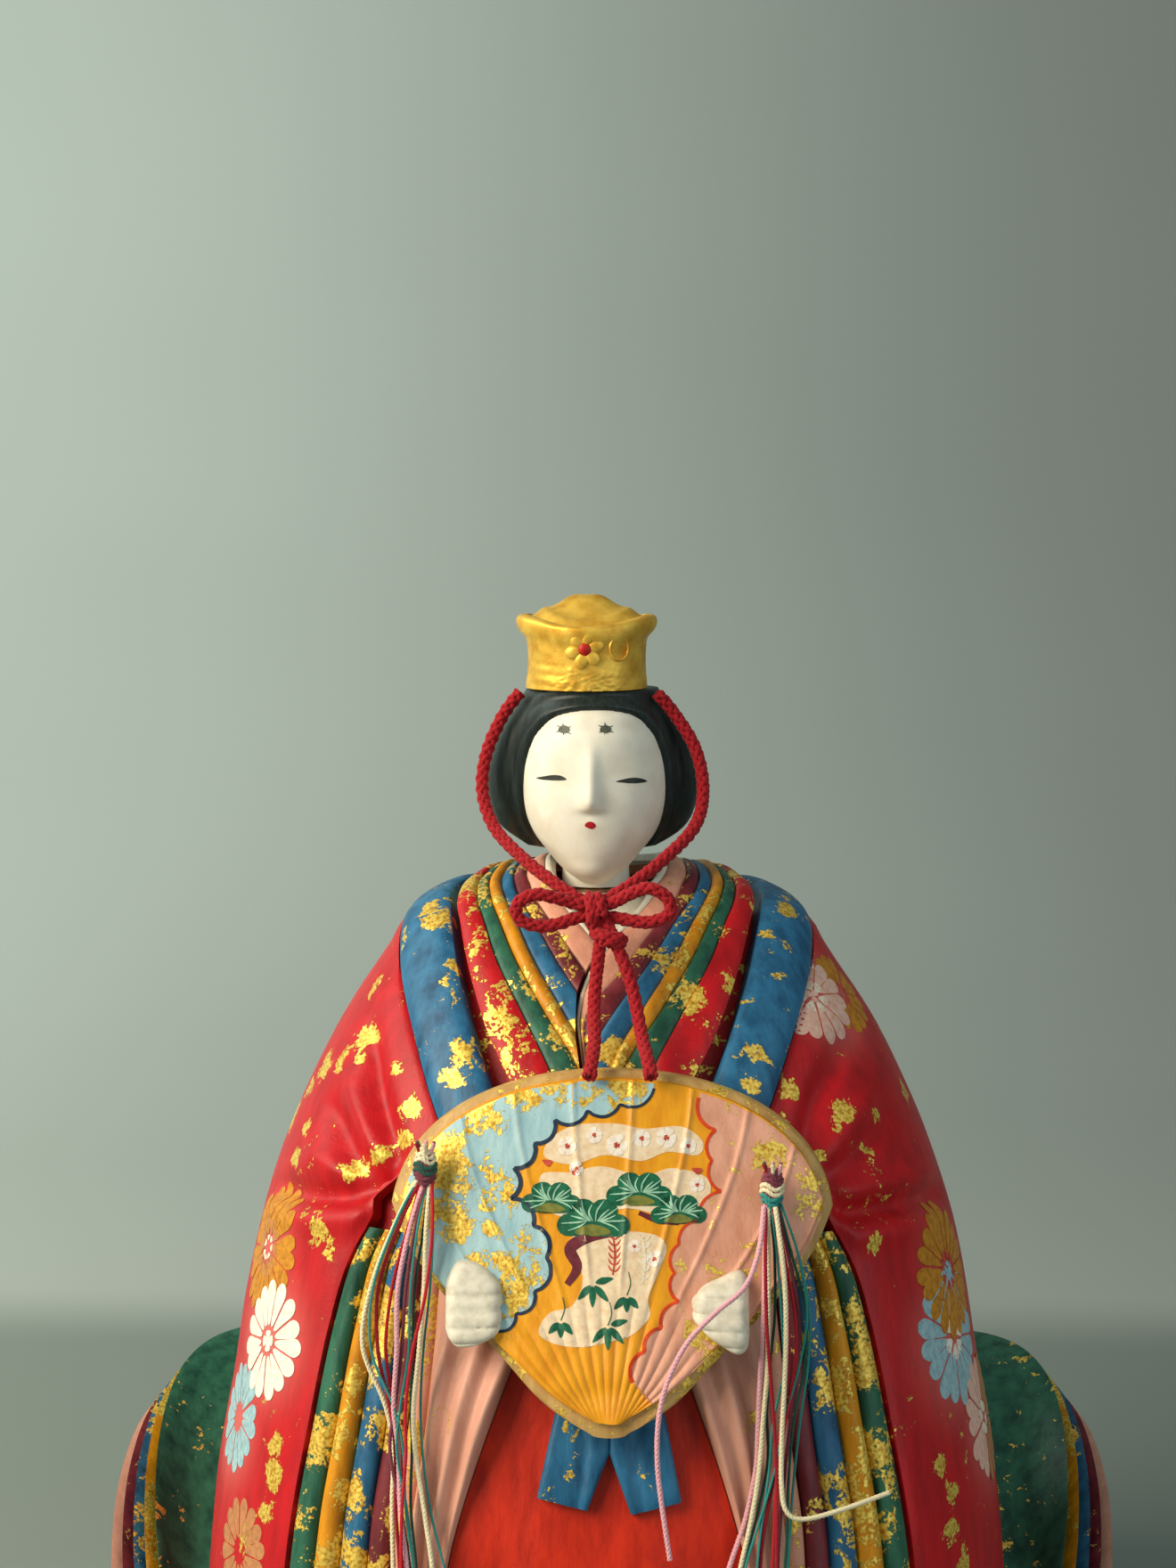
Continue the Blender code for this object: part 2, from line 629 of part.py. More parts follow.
def make_core():
    rings = []
    for share in reversed(cavity_row_shares[1:]):
        rings.append(shrunk(core_ring(share, False), core_wall))
    floor_ring = core_ring(0, False)
    rings.append(shrunk(floor_ring, core_wall, base_thickness + gap))
    rings.append(shrunk(floor_ring, core_wall - base_ledge, base_thickness + gap))
    rings.append(shrunk(floor_ring, core_wall - base_ledge))
    for share in core_row_shares:
        rings.append(core_ring(share, True))
    for share in core_top_row_shares:
        rings.append(core_ring(share, False))
    for point in rings[-1]:
        point.z = core_top
    core = lofted("robe_body", rings, "red")
    hole = cylinder("socket_hole", socket_radius + gap, socket_low - gap, core_top + core_wall,
                    neck_x, neck_y, None, cutters)
    cut(core, hole)
    plate = shrunk(floor_ring, core_wall - base_ledge + gap)
    lofted("base_plate", [plate, [point + Vector((0, 0, base_thickness)) for point in plate]], "wood")


def cylinder(name, radius, low, high, x, y, colour, collection=parts):
    shape = bmesh.new()
    bmesh.ops.create_cone(shape, cap_ends=True, segments=round_sides, radius1=radius,
                          radius2=radius, depth=high - low)
    mesh = bpy.data.meshes.new(name)
    shape.to_mesh(mesh)
    shape.free()
    mesh.transform(Matrix.Translation((x, y, (low + high) / 2)))
    mesh.shade_smooth()
    mesh.set_sharp_from_angle(angle=sharp_angle)
    return add_object(name, mesh, colour, collection)


def cut(item, cutter, operation="DIFFERENCE"):
    boolean = item.modifiers.new(cutter.name, "BOOLEAN")
    boolean.operation = operation
    boolean.object = cutter


make_core()


# Sleeves and their layered edges
def edge_x(share, level):
    # Half-widths of the sleeve opening: 0 at the red sleeve, 1 at the inner sleeve
    outer = smooth(edge_level_shares, edge_outer_shares, level)
    inner = smooth(edge_level_shares, edge_inner_shares, level)
    return body_half_width * (outer + (inner - outer) * share)


def plan_curve(shares, side, count):
    places = []
    for x, y in shares:
        places.append((side * x * body_half_width, y * body_front, 0))
    return curve_through(places, count)


def strap_edge_x(height):
    heights = []
    widths = []
    for point in plan_curve(strap_outer_shares, 1, guide_samples):
        level = form_height(point.x, point.y)
        if heights and level <= heights[-1]:
            break
        heights.append(level)
        widths.append(abs(point.x))
    return smooth(heights, widths, height)


def sleeve_front_x(share):
    low = fan_corner_share
    high = strap_foot_share
    if share >= high:
        return strap_edge_x(share * body_height) + gap
    if share <= low:
        return edge_x(0, share) + gap * seam_share
    start = edge_x(0, low) + gap * seam_share
    end = strap_edge_x(high * body_height) + gap
    return start + (end - start) * (share - low) / (high - low)


def make_sleeve(name, side):
    top = []
    under = []
    for share, lift_share in zip(side_row_shares, side_lift_shares):
        height = share * body_height
        depth = layer_depth(height) - gap - shoulder_lift * lift_share
        start = abs(form_angle(sleeve_front_x(share), height))
        face = []
        back = []
        for k in range(sleeve_columns + 1):
            angle = side * (start + (back_seam_angle - start) * k / sleeve_columns)
            point = form_point(angle, height)
            face.append(point)
            back.append(raised(point, -depth))
        top.append(face)
        under.append(back)
    # The last row follows the band over the shoulder
    band = plan_curve(strap_outer_shares, -side, guide_samples)
    last_height = side_row_shares[-1] * body_height
    least_height = last_height + chest_layer * seam_share
    shoulder = [point for point in band if form_height(point.x, point.y) > least_height]
    face = []
    back = []
    for k in range(sleeve_columns + 1):
        place = shoulder[round(k * (len(shoulder) - 1) / sleeve_columns)]
        outward = Vector((place.x, place.y, 0)).normalized() * gap
        place = place + outward
        point = Vector((place.x, place.y, form_height(place.x, place.y)))
        face.append(point)
        back.append(raised(point, gap + shoulder_lift - chest_layer))
    top.append(face)
    under.append(back)
    solid_between(name, top, under, "red")


def band_between(name, inner_x, outer_x, row_shares, columns, rise, colour, side):
    # A strip of the front between two upright edges, seated on the core
    top = []
    under = []
    for share in row_shares:
        height = share * body_height
        first = form_angle(inner_x(share), height)
        last = form_angle(outer_x(share), height)
        face = []
        back = []
        for k in range(columns + 1):
            angle = first + (last - first) * k / columns
            point = form_point(side * angle, height)
            face.append(raised(point, rise(share, k / columns)))
            back.append(raised(point, gap - layer_depth(height)))
        top.append(face)
        under.append(back)
    return solid_between(name, top, under, colour)


def make_sleeve_edges(word, side):
    colours = ("green", "yellow", "blue", "maroon", "salmon")
    for k, colour in enumerate(colours):
        near = edge_split_shares[k + 1]
        far = edge_split_shares[k]
        step_share = edge_step_share * (k + 1)
        band_between(
            f"sleeve_edge_{colour}_{word}",
            lambda share, near=near: edge_x(near, share) + gap * seam_share,
            lambda share, far=far: edge_x(far, share) - gap * seam_share,
            edge_row_shares, edge_columns,
            lambda share, across, step_share=step_share: (
                edge_crown * math.sin(math.pi * across) - step_share * layer_depth(share * body_height)),
            colour, side)


def hakama_x(share):
    return body_half_width * smooth(hakama_level_shares, hakama_edge_shares, share)


def inner_rise(share, across):
    swell = smooth(inner_level_shares, inner_rise_shares, share) * (1 - across ** 2)
    rise = inner_recess * (swell - 1)
    return rise + inner_fold * math.cos(2 * math.pi * inner_fold_count * across)


for word, side in (("left", -1), ("right", 1)):
    make_sleeve(f"sleeve_{word}", side)
    make_sleeve_edges(word, side)
    band_between(f"inner_sleeve_{word}", lambda share: hakama_x(share) + gap * seam_share,
                 lambda share: edge_x(1, share) - gap * seam_share,
                 inner_row_shares, inner_columns, inner_rise, "pink", side)

band_between("hakama", lambda share: gap * seam_share - hakama_x(share),
             lambda share: hakama_x(share) - gap * seam_share,
             hakama_row_shares, hakama_columns,
             lambda share, across: -hakama_recess, "vermilion", 1)


# Bands over the shoulders, and the collars
def make_strip(name, edges, rise, colour):
    top = []
    under = []
    crown = collar_step * seam_share
    for near, far in zip(*edges):
        middle = (near + far) / 2
        top.append([plan_point(near.x, near.y, rise), plan_point(middle.x, middle.y, rise + crown),
                    plan_point(far.x, far.y, rise)])
        under.append([plan_point(place.x, place.y, gap - chest_layer) for place in (near, middle, far)])
    solid_between(name, top, under, colour)


def drawn_in(places, others, distance):
    # Each place moved towards its opposite number on the other edge
    return [place + (other - place).normalized() * distance for place, other in zip(places, others)]


for word, side in (("left", 1), ("right", -1)):
    outer = plan_curve(strap_outer_shares, side, strip_samples)
    inner = plan_curve(strap_inner_shares, side, strip_samples)
    make_strip(f"shoulder_band_{word}", (drawn_in(inner, outer, gap), outer), strap_rise, "blue")


def collar_guide(line, side):
    # One of the lines between the collars, on one side
    shares = []
    for inner, outer, splits in zip(collar_inner_shares, collar_outer_shares, collar_split_shares):
        split = splits[line]
        shares.append((inner[0] + (outer[0] - inner[0]) * split, inner[1] + (outer[1] - inner[1]) * split))
    return plan_curve(shares, side, guide_step * strip_samples)


def front_edge_x(y):
    # How far to the left the overlapping right side reaches
    edge = collar_guide(0, -1)
    rows = [place.y for place in edge]
    for k in range(len(edge) - 1):
        if rows[k] <= y <= rows[k + 1]:
            part = (y - rows[k]) / (rows[k + 1] - rows[k])
            return edge[k].lerp(edge[k + 1], part).x
    return edge[0].x


def collar_line(line):
    right = collar_guide(line, -1)
    left = list(reversed(collar_guide(line, 1)))[1:]
    clear = 2 * gap
    kept = []
    for place in left:
        if place.y < 0 and place.x > front_edge_x(place.y) - clear:
            break
        kept.append(place)
    return curve_through(right[::guide_step] + right[-1:], strip_samples)[:-1] + curve_through(
        [right[-1]] + kept[guide_step - 1::guide_step] + kept[-1:], strip_samples)


collar_colours = ("white", "salmon", "maroon", "blue", "yellow", "green", "red")
collar_lines = [collar_line(line) for line in range(len(collar_colours) + 1)]
for k, colour in enumerate(collar_colours):
    near = drawn_in(collar_lines[k], collar_lines[k + 1], gap * seam_share)
    far = drawn_in(collar_lines[k + 1], collar_lines[k], gap * seam_share)
    make_strip(f"collar_{colour}", (near, far), collar_low + collar_step * k, colour)


def make_hair_fall():
    top = []
    under = []
    for row in range(hair_fall_rows + 1):
        share = hair_fall_low_share + (hair_fall_high_share - hair_fall_low_share) * row / hair_fall_rows
        face = []
        back = []
        for k in range(hair_fall_columns + 1):
            across = 2 * k / hair_fall_columns - 1
            point = form_point(math.pi + hair_fall_half_angle * across, share * body_height)
            round_off = hair_fall_rise * (1 - seam_share * across ** 2)
            face.append(raised(point, gap + round_off))
            back.append(raised(point, gap))
        top.append(face)
        under.append(back)
    solid_between("hair_fall", top, under, "hair")


make_hair_fall()


# The fan, leaning until it stands just in front of the robe
def fan_place(radius_share, across, depth, grow_share, lean):
    angle = across * smooth(fan_radius_shares, fan_angles, radius_share)
    radius = fan_radius * radius_share * (1 - fan_corner_drop_share * across ** 4)
    u = radius * math.sin(angle)
    v = radius * math.cos(angle)
    start, end = fan_foot_shares
    v -= fan_foot_drop * (1 - across ** 2) * max(end - radius_share, 0) / (end - start)
    centre = fan_radius * fan_centre_share
    u = u * grow_share
    v = centre + (v - centre) * grow_share
    x = fan_pivot_x + u
    y = fan_pivot_y + v * math.sin(lean) + fan_bend * (u / fan_bend_width) ** 2 + depth
    z = fan_pivot_z + v * math.cos(lean)
    return Vector((x, y, z))


def fan_clearance(lean):
    thickness = fan_leaf_thickness + gap + fan_back_thickness
    clearances = []
    for i in range(fan_rows + 1):
        for k in range(fan_pleats + 1):
            place = fan_place(i / fan_rows, 2 * k / fan_pleats - 1, thickness, fan_back_grow_share, lean)
            surface = form_point(form_angle(place.x, place.z), place.z)
            clearances.append(surface.y - place.y)
    return min(clearances)


def leaning_angle():
    low = 0
    high = math.pi / 4
    for _ in range(search_steps):
        middle = (low + high) / 2
        if fan_clearance(middle) > fan_stand:
            low = middle
        else:
            high = middle
    return low


fan_lean = leaning_angle()


def make_fan():
    low = fan_radius_shares[0]
    leaf_top = []
    leaf_under = []
    back_top = []
    back_under = []
    for i in range(fan_rows + 1):
        share = low + (1 - low) * i / fan_rows
        sets = ([], [], [], [])
        for j in range(fan_pleats + 1):
            across = 2 * j / fan_pleats - 1
            pleat = fan_pleat_depth * (j % 2)
            sets[0].append(fan_place(share, across, pleat, 1, fan_lean))
            sets[1].append(fan_place(share, across, fan_leaf_thickness, 1, fan_lean))
            sets[2].append(fan_place(share, across, fan_leaf_thickness + gap, fan_back_grow_share,
                                     fan_lean))
            sets[3].append(fan_place(share, across, fan_leaf_thickness + gap + fan_back_thickness,
                                     fan_back_grow_share, fan_lean))
        leaf_top.append(sets[0])
        leaf_under.append(sets[1])
        back_top.append(sets[2])
        back_under.append(sets[3])
    solid_between("fan", leaf_top, leaf_under, "fan")
    solid_between("fan_back", back_top, back_under, "ochre")


make_fan()


# Hands: flattened rounds laid on the fan
def fan_front_y(x, z):
    v = (z - fan_pivot_z) / math.cos(fan_lean)
    return fan_pivot_y + v * math.sin(fan_lean) + fan_bend * ((x - fan_pivot_x) / fan_bend_width) ** 2


def make_hand(name, side):
    rings = []
    for i in range(hand_rows + 1):
        along = i / hand_rows
        end_round = math.sqrt(math.sin(math.pi * (hand_end_share + (1 - 2 * hand_end_share) * along)))
        x = side * (hand_place_x + hand_length * (seam_share - along))
        z_middle = hand_place_z + hand_length * math.sin(hand_lean) * (along - seam_share)
        ring = []
        for k in range(hand_sides):
            angle = 2 * math.pi * k / hand_sides
            z = z_middle + hand_height / 2 * end_round * math.sin(angle)
            y = fan_front_y(x, z) - gap - fan_pleat_depth
            if math.cos(angle) > 0:
                swell = math.cos(angle) ** hand_swell_power_share
                y -= hand_depth * end_round * (hand_rim_share + (1 - hand_rim_share) * swell)
            ring.append(Vector((x, y, z)))
        rings.append(ring)
    lofted(name, rings, "white")


def make_sash():
    outline = []
    face = []
    for x_share, z_share in sash_outline_shares:
        x = fan_pivot_x + x_share * sash_half_width
        z = sash_top + z_share * sash_height
        surface = form_point(form_angle(x, z), z)
        outline.append(raised(surface, gap - hakama_recess))
        face.append(raised(surface, gap - hakama_recess + sash_thickness))
    lofted("sash_ends", [outline, face], "blue")


make_hand("hand_left", -1)
make_hand("hand_right", 1)
make_sash()


# The train
def train_section(turn_share, layer):
    # Heights and radii of one layer's top at this place round the back
    mirrored = 1 - abs(2 * turn_share - 1)
    rim_radius = train_rim_radius * smooth(train_angle_shares, train_rim_shares, mirrored)
    rim_height = train_rim_height * smooth(train_angle_shares, train_height_shares, mirrored)
    inner_height = train_rim_height * smooth(train_angle_shares, train_inner_shares, mirrored)
    pitch = min(train_pitch, rim_height * train_pitch_share)
    return (rim_radius + train_reveal * layer, rim_height - pitch * layer,
            inner_height - pitch * layer, pitch)


def make_train():
    colours = ("green", "yellow", "blue", "maroon", "pink")
    for layer, colour in enumerate(colours):
        top = []
        under = []
        for station in range(train_stations + 1):
            turn_share = station / train_stations
            angle = train_end_angle + (2 * math.pi - 2 * train_end_angle) * turn_share
            rim_radius, rim_height, inner_height, pitch = train_section(turn_share, layer)
            lowest = layer == len(colours) - 1
            low_height = max(inner_height * seam_share if lowest else inner_height - pitch + gap, 0)
            inner = form_point(angle, low_height)
            inner_radius = math.hypot(inner.x, inner.y) + gap
            floor_point = form_point(angle, 0)
            floor_radius = math.hypot(floor_point.x, floor_point.y) + gap
            face = []
            back = []
            for k in range(train_columns + 1):
                across = k / train_columns
                radius = inner_radius + (rim_radius - inner_radius) * across
                height = inner_height + (rim_height - inner_height) * across ** 2
                height -= train_dip * math.sin(math.pi * across) * min(1, inner_height / train_rim_height)
                height = max(height, pitch * (len(colours) - layer) - gap)
                if lowest:
                    height -= gap
                face.append(Vector((radius * math.sin(angle), -radius * math.cos(angle), height)))
                foot = radius
                bottom = height - pitch + gap
                if lowest:
                    bottom = 0
                    drawn = train_foot_draw * min(1, rim_height / train_rim_height)
                    foot = floor_radius + (rim_radius - drawn - floor_radius) * across
                back.append(Vector((foot * math.sin(angle), -foot * math.cos(angle), bottom)))
            top.append(face)
            under.append(back)
        solid_between(f"train_{colour}", top, under, colour)


make_train()


# The head
def egg_ring(height, x, y, sizes, tables, low, high, sides, grow=0, with_nose=False):
    share = (height - low) / (high - low)
    levels, widths, fronts, backs = tables
    half_width = sizes[0] * smooth(levels, widths, share) + grow
    front = sizes[1] * smooth(levels, fronts, share) + grow
    back = sizes[2] * smooth(levels, backs, share) + grow
    ring = []
    for k in range(sides):
        angle = 2 * math.pi * k / sides
        depth = front if math.cos(angle) > 0 else back
        place = Vector((x + half_width * math.sin(angle), y - depth * math.cos(angle), height))
        if with_nose and math.cos(angle) > 0:
            nose = nose_rise * smooth(nose_level_shares, nose_rise_shares, share)
            place.y -= nose * math.exp(-((place.x - x) / nose_half_width) ** 2)
        ring.append(place)
    return ring


head_tables = (head_level_shares, head_width_shares, head_front_shares, head_back_shares)
head_sizes = (head_half_width, head_front, head_back)
hair_tables = (hair_level_shares, hair_width_shares, hair_front_shares, hair_back_shares)
hair_sizes = (hair_half_width, hair_front, hair_back)


def head_rings(grow, with_nose):
    rings = []
    for row in range(head_rows + 1):
        height = head_low + (head_high - head_low) * row / head_rows
        ring = egg_ring(height, head_x, head_y, head_sizes, head_tables, head_low, head_high,
                        head_sides, grow, with_nose)
        rings.append(ring)
    for point in rings[0]:
        point.z -= grow
    for point in rings[-1]:
        point.z += grow
    return rings


def make_head():
    head = lofted("head", head_rings(0, True), "face")
    neck = cylinder("neck", neck_radius, neck_low, neck_high, neck_x, neck_y, None, cutters)
    cut(head, neck, "UNION")
    hole = cylinder("peg_hole", peg_radius + gap, neck_low - gap, peg_high + gap, neck_x, neck_y,
                    None, cutters)
    cut(head, hole)
    rings = []
    for row in range(hair_rows + 1):
        height = hair_low + (hair_high - hair_low) * row / hair_rows
        rings.append(egg_ring(height, hair_x, hair_y, hair_sizes, hair_tables, hair_low, hair_high,
                              hair_sides))
    hair = lofted("hair_cap", rings, "hair")
    grown = lofted("head_space", head_rings(gap, False), None, collection=cutters)
    cut(hair, grown)
    neck_space = cylinder("neck_space", neck_radius + gap, neck_low, neck_high + gap, neck_x,
                          neck_y, None, cutters)
    cut(hair, neck_space)
    cylinder("neck_peg", peg_radius, peg_low, peg_high, neck_x, neck_y, "wood")
    socket = cylinder("neck_socket", socket_radius, socket_low, socket_high, neck_x, neck_y, "wood")
    bore = cylinder("socket_bore", peg_radius + gap, peg_low - gap, socket_high + gap, neck_x,
                    neck_y, None, cutters)
    cut(socket, bore)


make_head()


# The crown
def crown_ring(level_share, inset):
    flare = crown_flare * smooth(crown_level_shares, crown_flare_shares, level_share)
    ring = []
    for k in range(crown_sides):
        angle = 2 * math.pi * k / crown_sides
        side_share = math.sin(angle) ** 2
        half_width = crown_half_width + flare - inset
        half_depth = crown_half_depth + flare * seam_share - inset
        height = crown_low + crown_height * level_share
        height -= crown_front_dip * (1 - side_share) * level_share
        ring.append(Vector((crown_x + half_width * math.sin(angle),
                            crown_y - half_depth * math.cos(angle), height)))
    return ring


def make_crown():
    outer = [crown_ring(share, 0) for share in crown_level_shares]
    inner = [crown_ring(share, crown_wall) for share in reversed(crown_level_shares)]
    lofted("crown", outer + inner, "gold", looped=True)
    rings = []
    half_width = crown_half_width - crown_wall - gap
    half_depth = crown_half_depth - crown_wall - gap
    rise = crown_height + dome_rise
    for level, radius in zip(dome_level_shares, dome_radius_shares):
        height = crown_low
        if level > 0:
            height += dome_base + (rise - dome_base) * level
        ring = []
        for k in range(crown_sides):
            angle = 2 * math.pi * k / crown_sides
            ring.append(Vector((crown_x + half_width * radius * math.sin(angle),
                                crown_y - half_depth * radius * math.cos(angle), height)))
        rings.append(ring)
    lofted("crown_dome", rings, "gold")
    flat = []
    face_y = crown_y - crown_half_depth - gap
    for k in range(flower_sides):
        angle = 2 * math.pi * k / flower_sides
        radius = flower_radius * (1 - petal_depth_share + petal_depth_share * math.cos(flower_petals * angle))
        x = radius * math.sin(angle)
        curve_back = crown_half_depth * (1 - math.sqrt(1 - (x / crown_half_width) ** 2))
        flat.append(Vector((crown_x + x, face_y + curve_back, flower_height + radius * math.cos(angle))))
    front = [point - Vector((0, flower_thickness, 0)) for point in flat]
    lofted("crown_flower", [flat, front], "gold")
    dot = []
    dot_y = face_y - flower_thickness - gap
    for depth in (0, jewel_thickness):
        ring = []
        for k in range(jewel_sides):
            angle = 2 * math.pi * k / jewel_sides
            ring.append(Vector((crown_x + jewel_radius * math.sin(angle), dot_y - depth,
                                flower_height + jewel_radius * math.cos(angle))))
        dot.append(ring)
    lofted("crown_jewel", dot, "ruby")


make_crown()


# Cords and threads
def make_cord(name, route, thickness, step, colour, collection=parts):
    count = max(4, round(route_length(route) / step) + 1)
    curve = bpy.data.curves.new(name, "CURVE")
    curve.dimensions = "3D"
    curve.bevel_depth = thickness / 2
    curve.bevel_resolution = 2
    curve.use_fill_caps = True
    spline = curve.splines.new("POLY")
    spline.points.add(count - 1)
    for point, place in zip(spline.points, curve_through(route, count)):
        point.co = (*place, 1)
    return add_object(name, curve, colour, collection)


def make_knot(name, place, size, colour):
    shape = bmesh.new()
    bmesh.ops.create_uvsphere(shape, u_segments=knot_sides, v_segments=knot_rings, radius=1)
    mesh = bpy.data.meshes.new(name)
    shape.to_mesh(mesh)
    shape.free()
    mesh.transform(Matrix.Translation(place) @ Matrix.Diagonal((*size, 1)))
    mesh.shade_smooth()
    return add_object(name, mesh, colour)


def meshed(item):
    # A curve as a closed mesh among the cutters
    bpy.context.view_layer.update()
    graph = bpy.context.evaluated_depsgraph_get()
    mesh = bpy.data.meshes.new_from_object(item.evaluated_get(graph))
    shape = bmesh.new()
    shape.from_mesh(mesh)
    bmesh.ops.remove_doubles(shape, verts=shape.verts, dist=gap * weld_share)
    shape.to_mesh(mesh)
    shape.free()
    solid = bpy.data.objects.new(item.name + "_mesh", mesh)
    solid.matrix_world = item.matrix_world
    solid.hide_render = True
    solid.display_type = "WIRE"
    cutters.objects.link(solid)
    bpy.data.objects.remove(item)
    return solid


def make_tassel(name, place, threads):
    knot = make_knot(name, place, knot_size, "thread")
    for k, route in enumerate(threads):
        thread = make_cord(f"{name}_thread_{k}", route, thread_thickness, thread_step, None, cutters)
        cut(knot, meshed(thread), "UNION")


make_cord("chin_cord_left", chin_left_route, cord_thickness, cord_step, "crimson")
make_cord("chin_cord_right", chin_right_route, cord_thickness, cord_step, "crimson")
make_cord("bow_loop_left", loop_left_route, cord_thickness, cord_fine_step, "crimson")
make_cord("bow_loop_right", loop_right_route, cord_thickness, cord_fine_step, "crimson")
make_cord("tail_left", tail_left_route, cord_thickness, cord_step, "crimson")
make_cord("tail_right", tail_right_route, cord_thickness, cord_step, "crimson")
make_knot("bow_knot", bow_knot_place, bow_knot_size, "crimson")
make_knot("tail_knot", tail_knot_place, tail_knot_size, "crimson")
make_tassel("tassel_left", left_knot_place, left_threads)
make_tassel("tassel_right", right_knot_place, right_threads)
make_cord("thread_pink", pink_thread_route, thread_thickness, thread_step, "salmon")
make_cord("thread_cream", cream_thread_route, thread_thickness, thread_step, "white")


# Joint axes: what moves hangs from an empty on its axis
def on_axis(name, place, names):
    axis = bpy.data.objects.new(name, None)
    axis.location = place
    parts.objects.link(axis)
    bpy.context.view_layer.update()
    for item_name in names:
        item = bpy.data.objects[item_name]
        item.parent = axis
        item.matrix_parent_inverse = axis.matrix_world.inverted()


on_axis("head_axis", (neck_x, neck_y, socket_high), (
    "head", "hair_cap", "neck_peg", "crown", "crown_dome", "crown_flower", "crown_jewel",
    "chin_cord_left", "chin_cord_right", "bow_loop_left", "bow_loop_right", "tail_left",
    "tail_right", "bow_knot", "tail_knot"))
on_axis("tassel_left_axis", left_knot_place, ("tassel_left",))
on_axis("tassel_right_axis", right_knot_place, ("tassel_right", "thread_pink", "thread_cream"))
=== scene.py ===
# The finished looks of a seated court-lady doll of painted cast clay.
# Metres, +Z up, the doll faces -Y. Left and right are the viewer's.

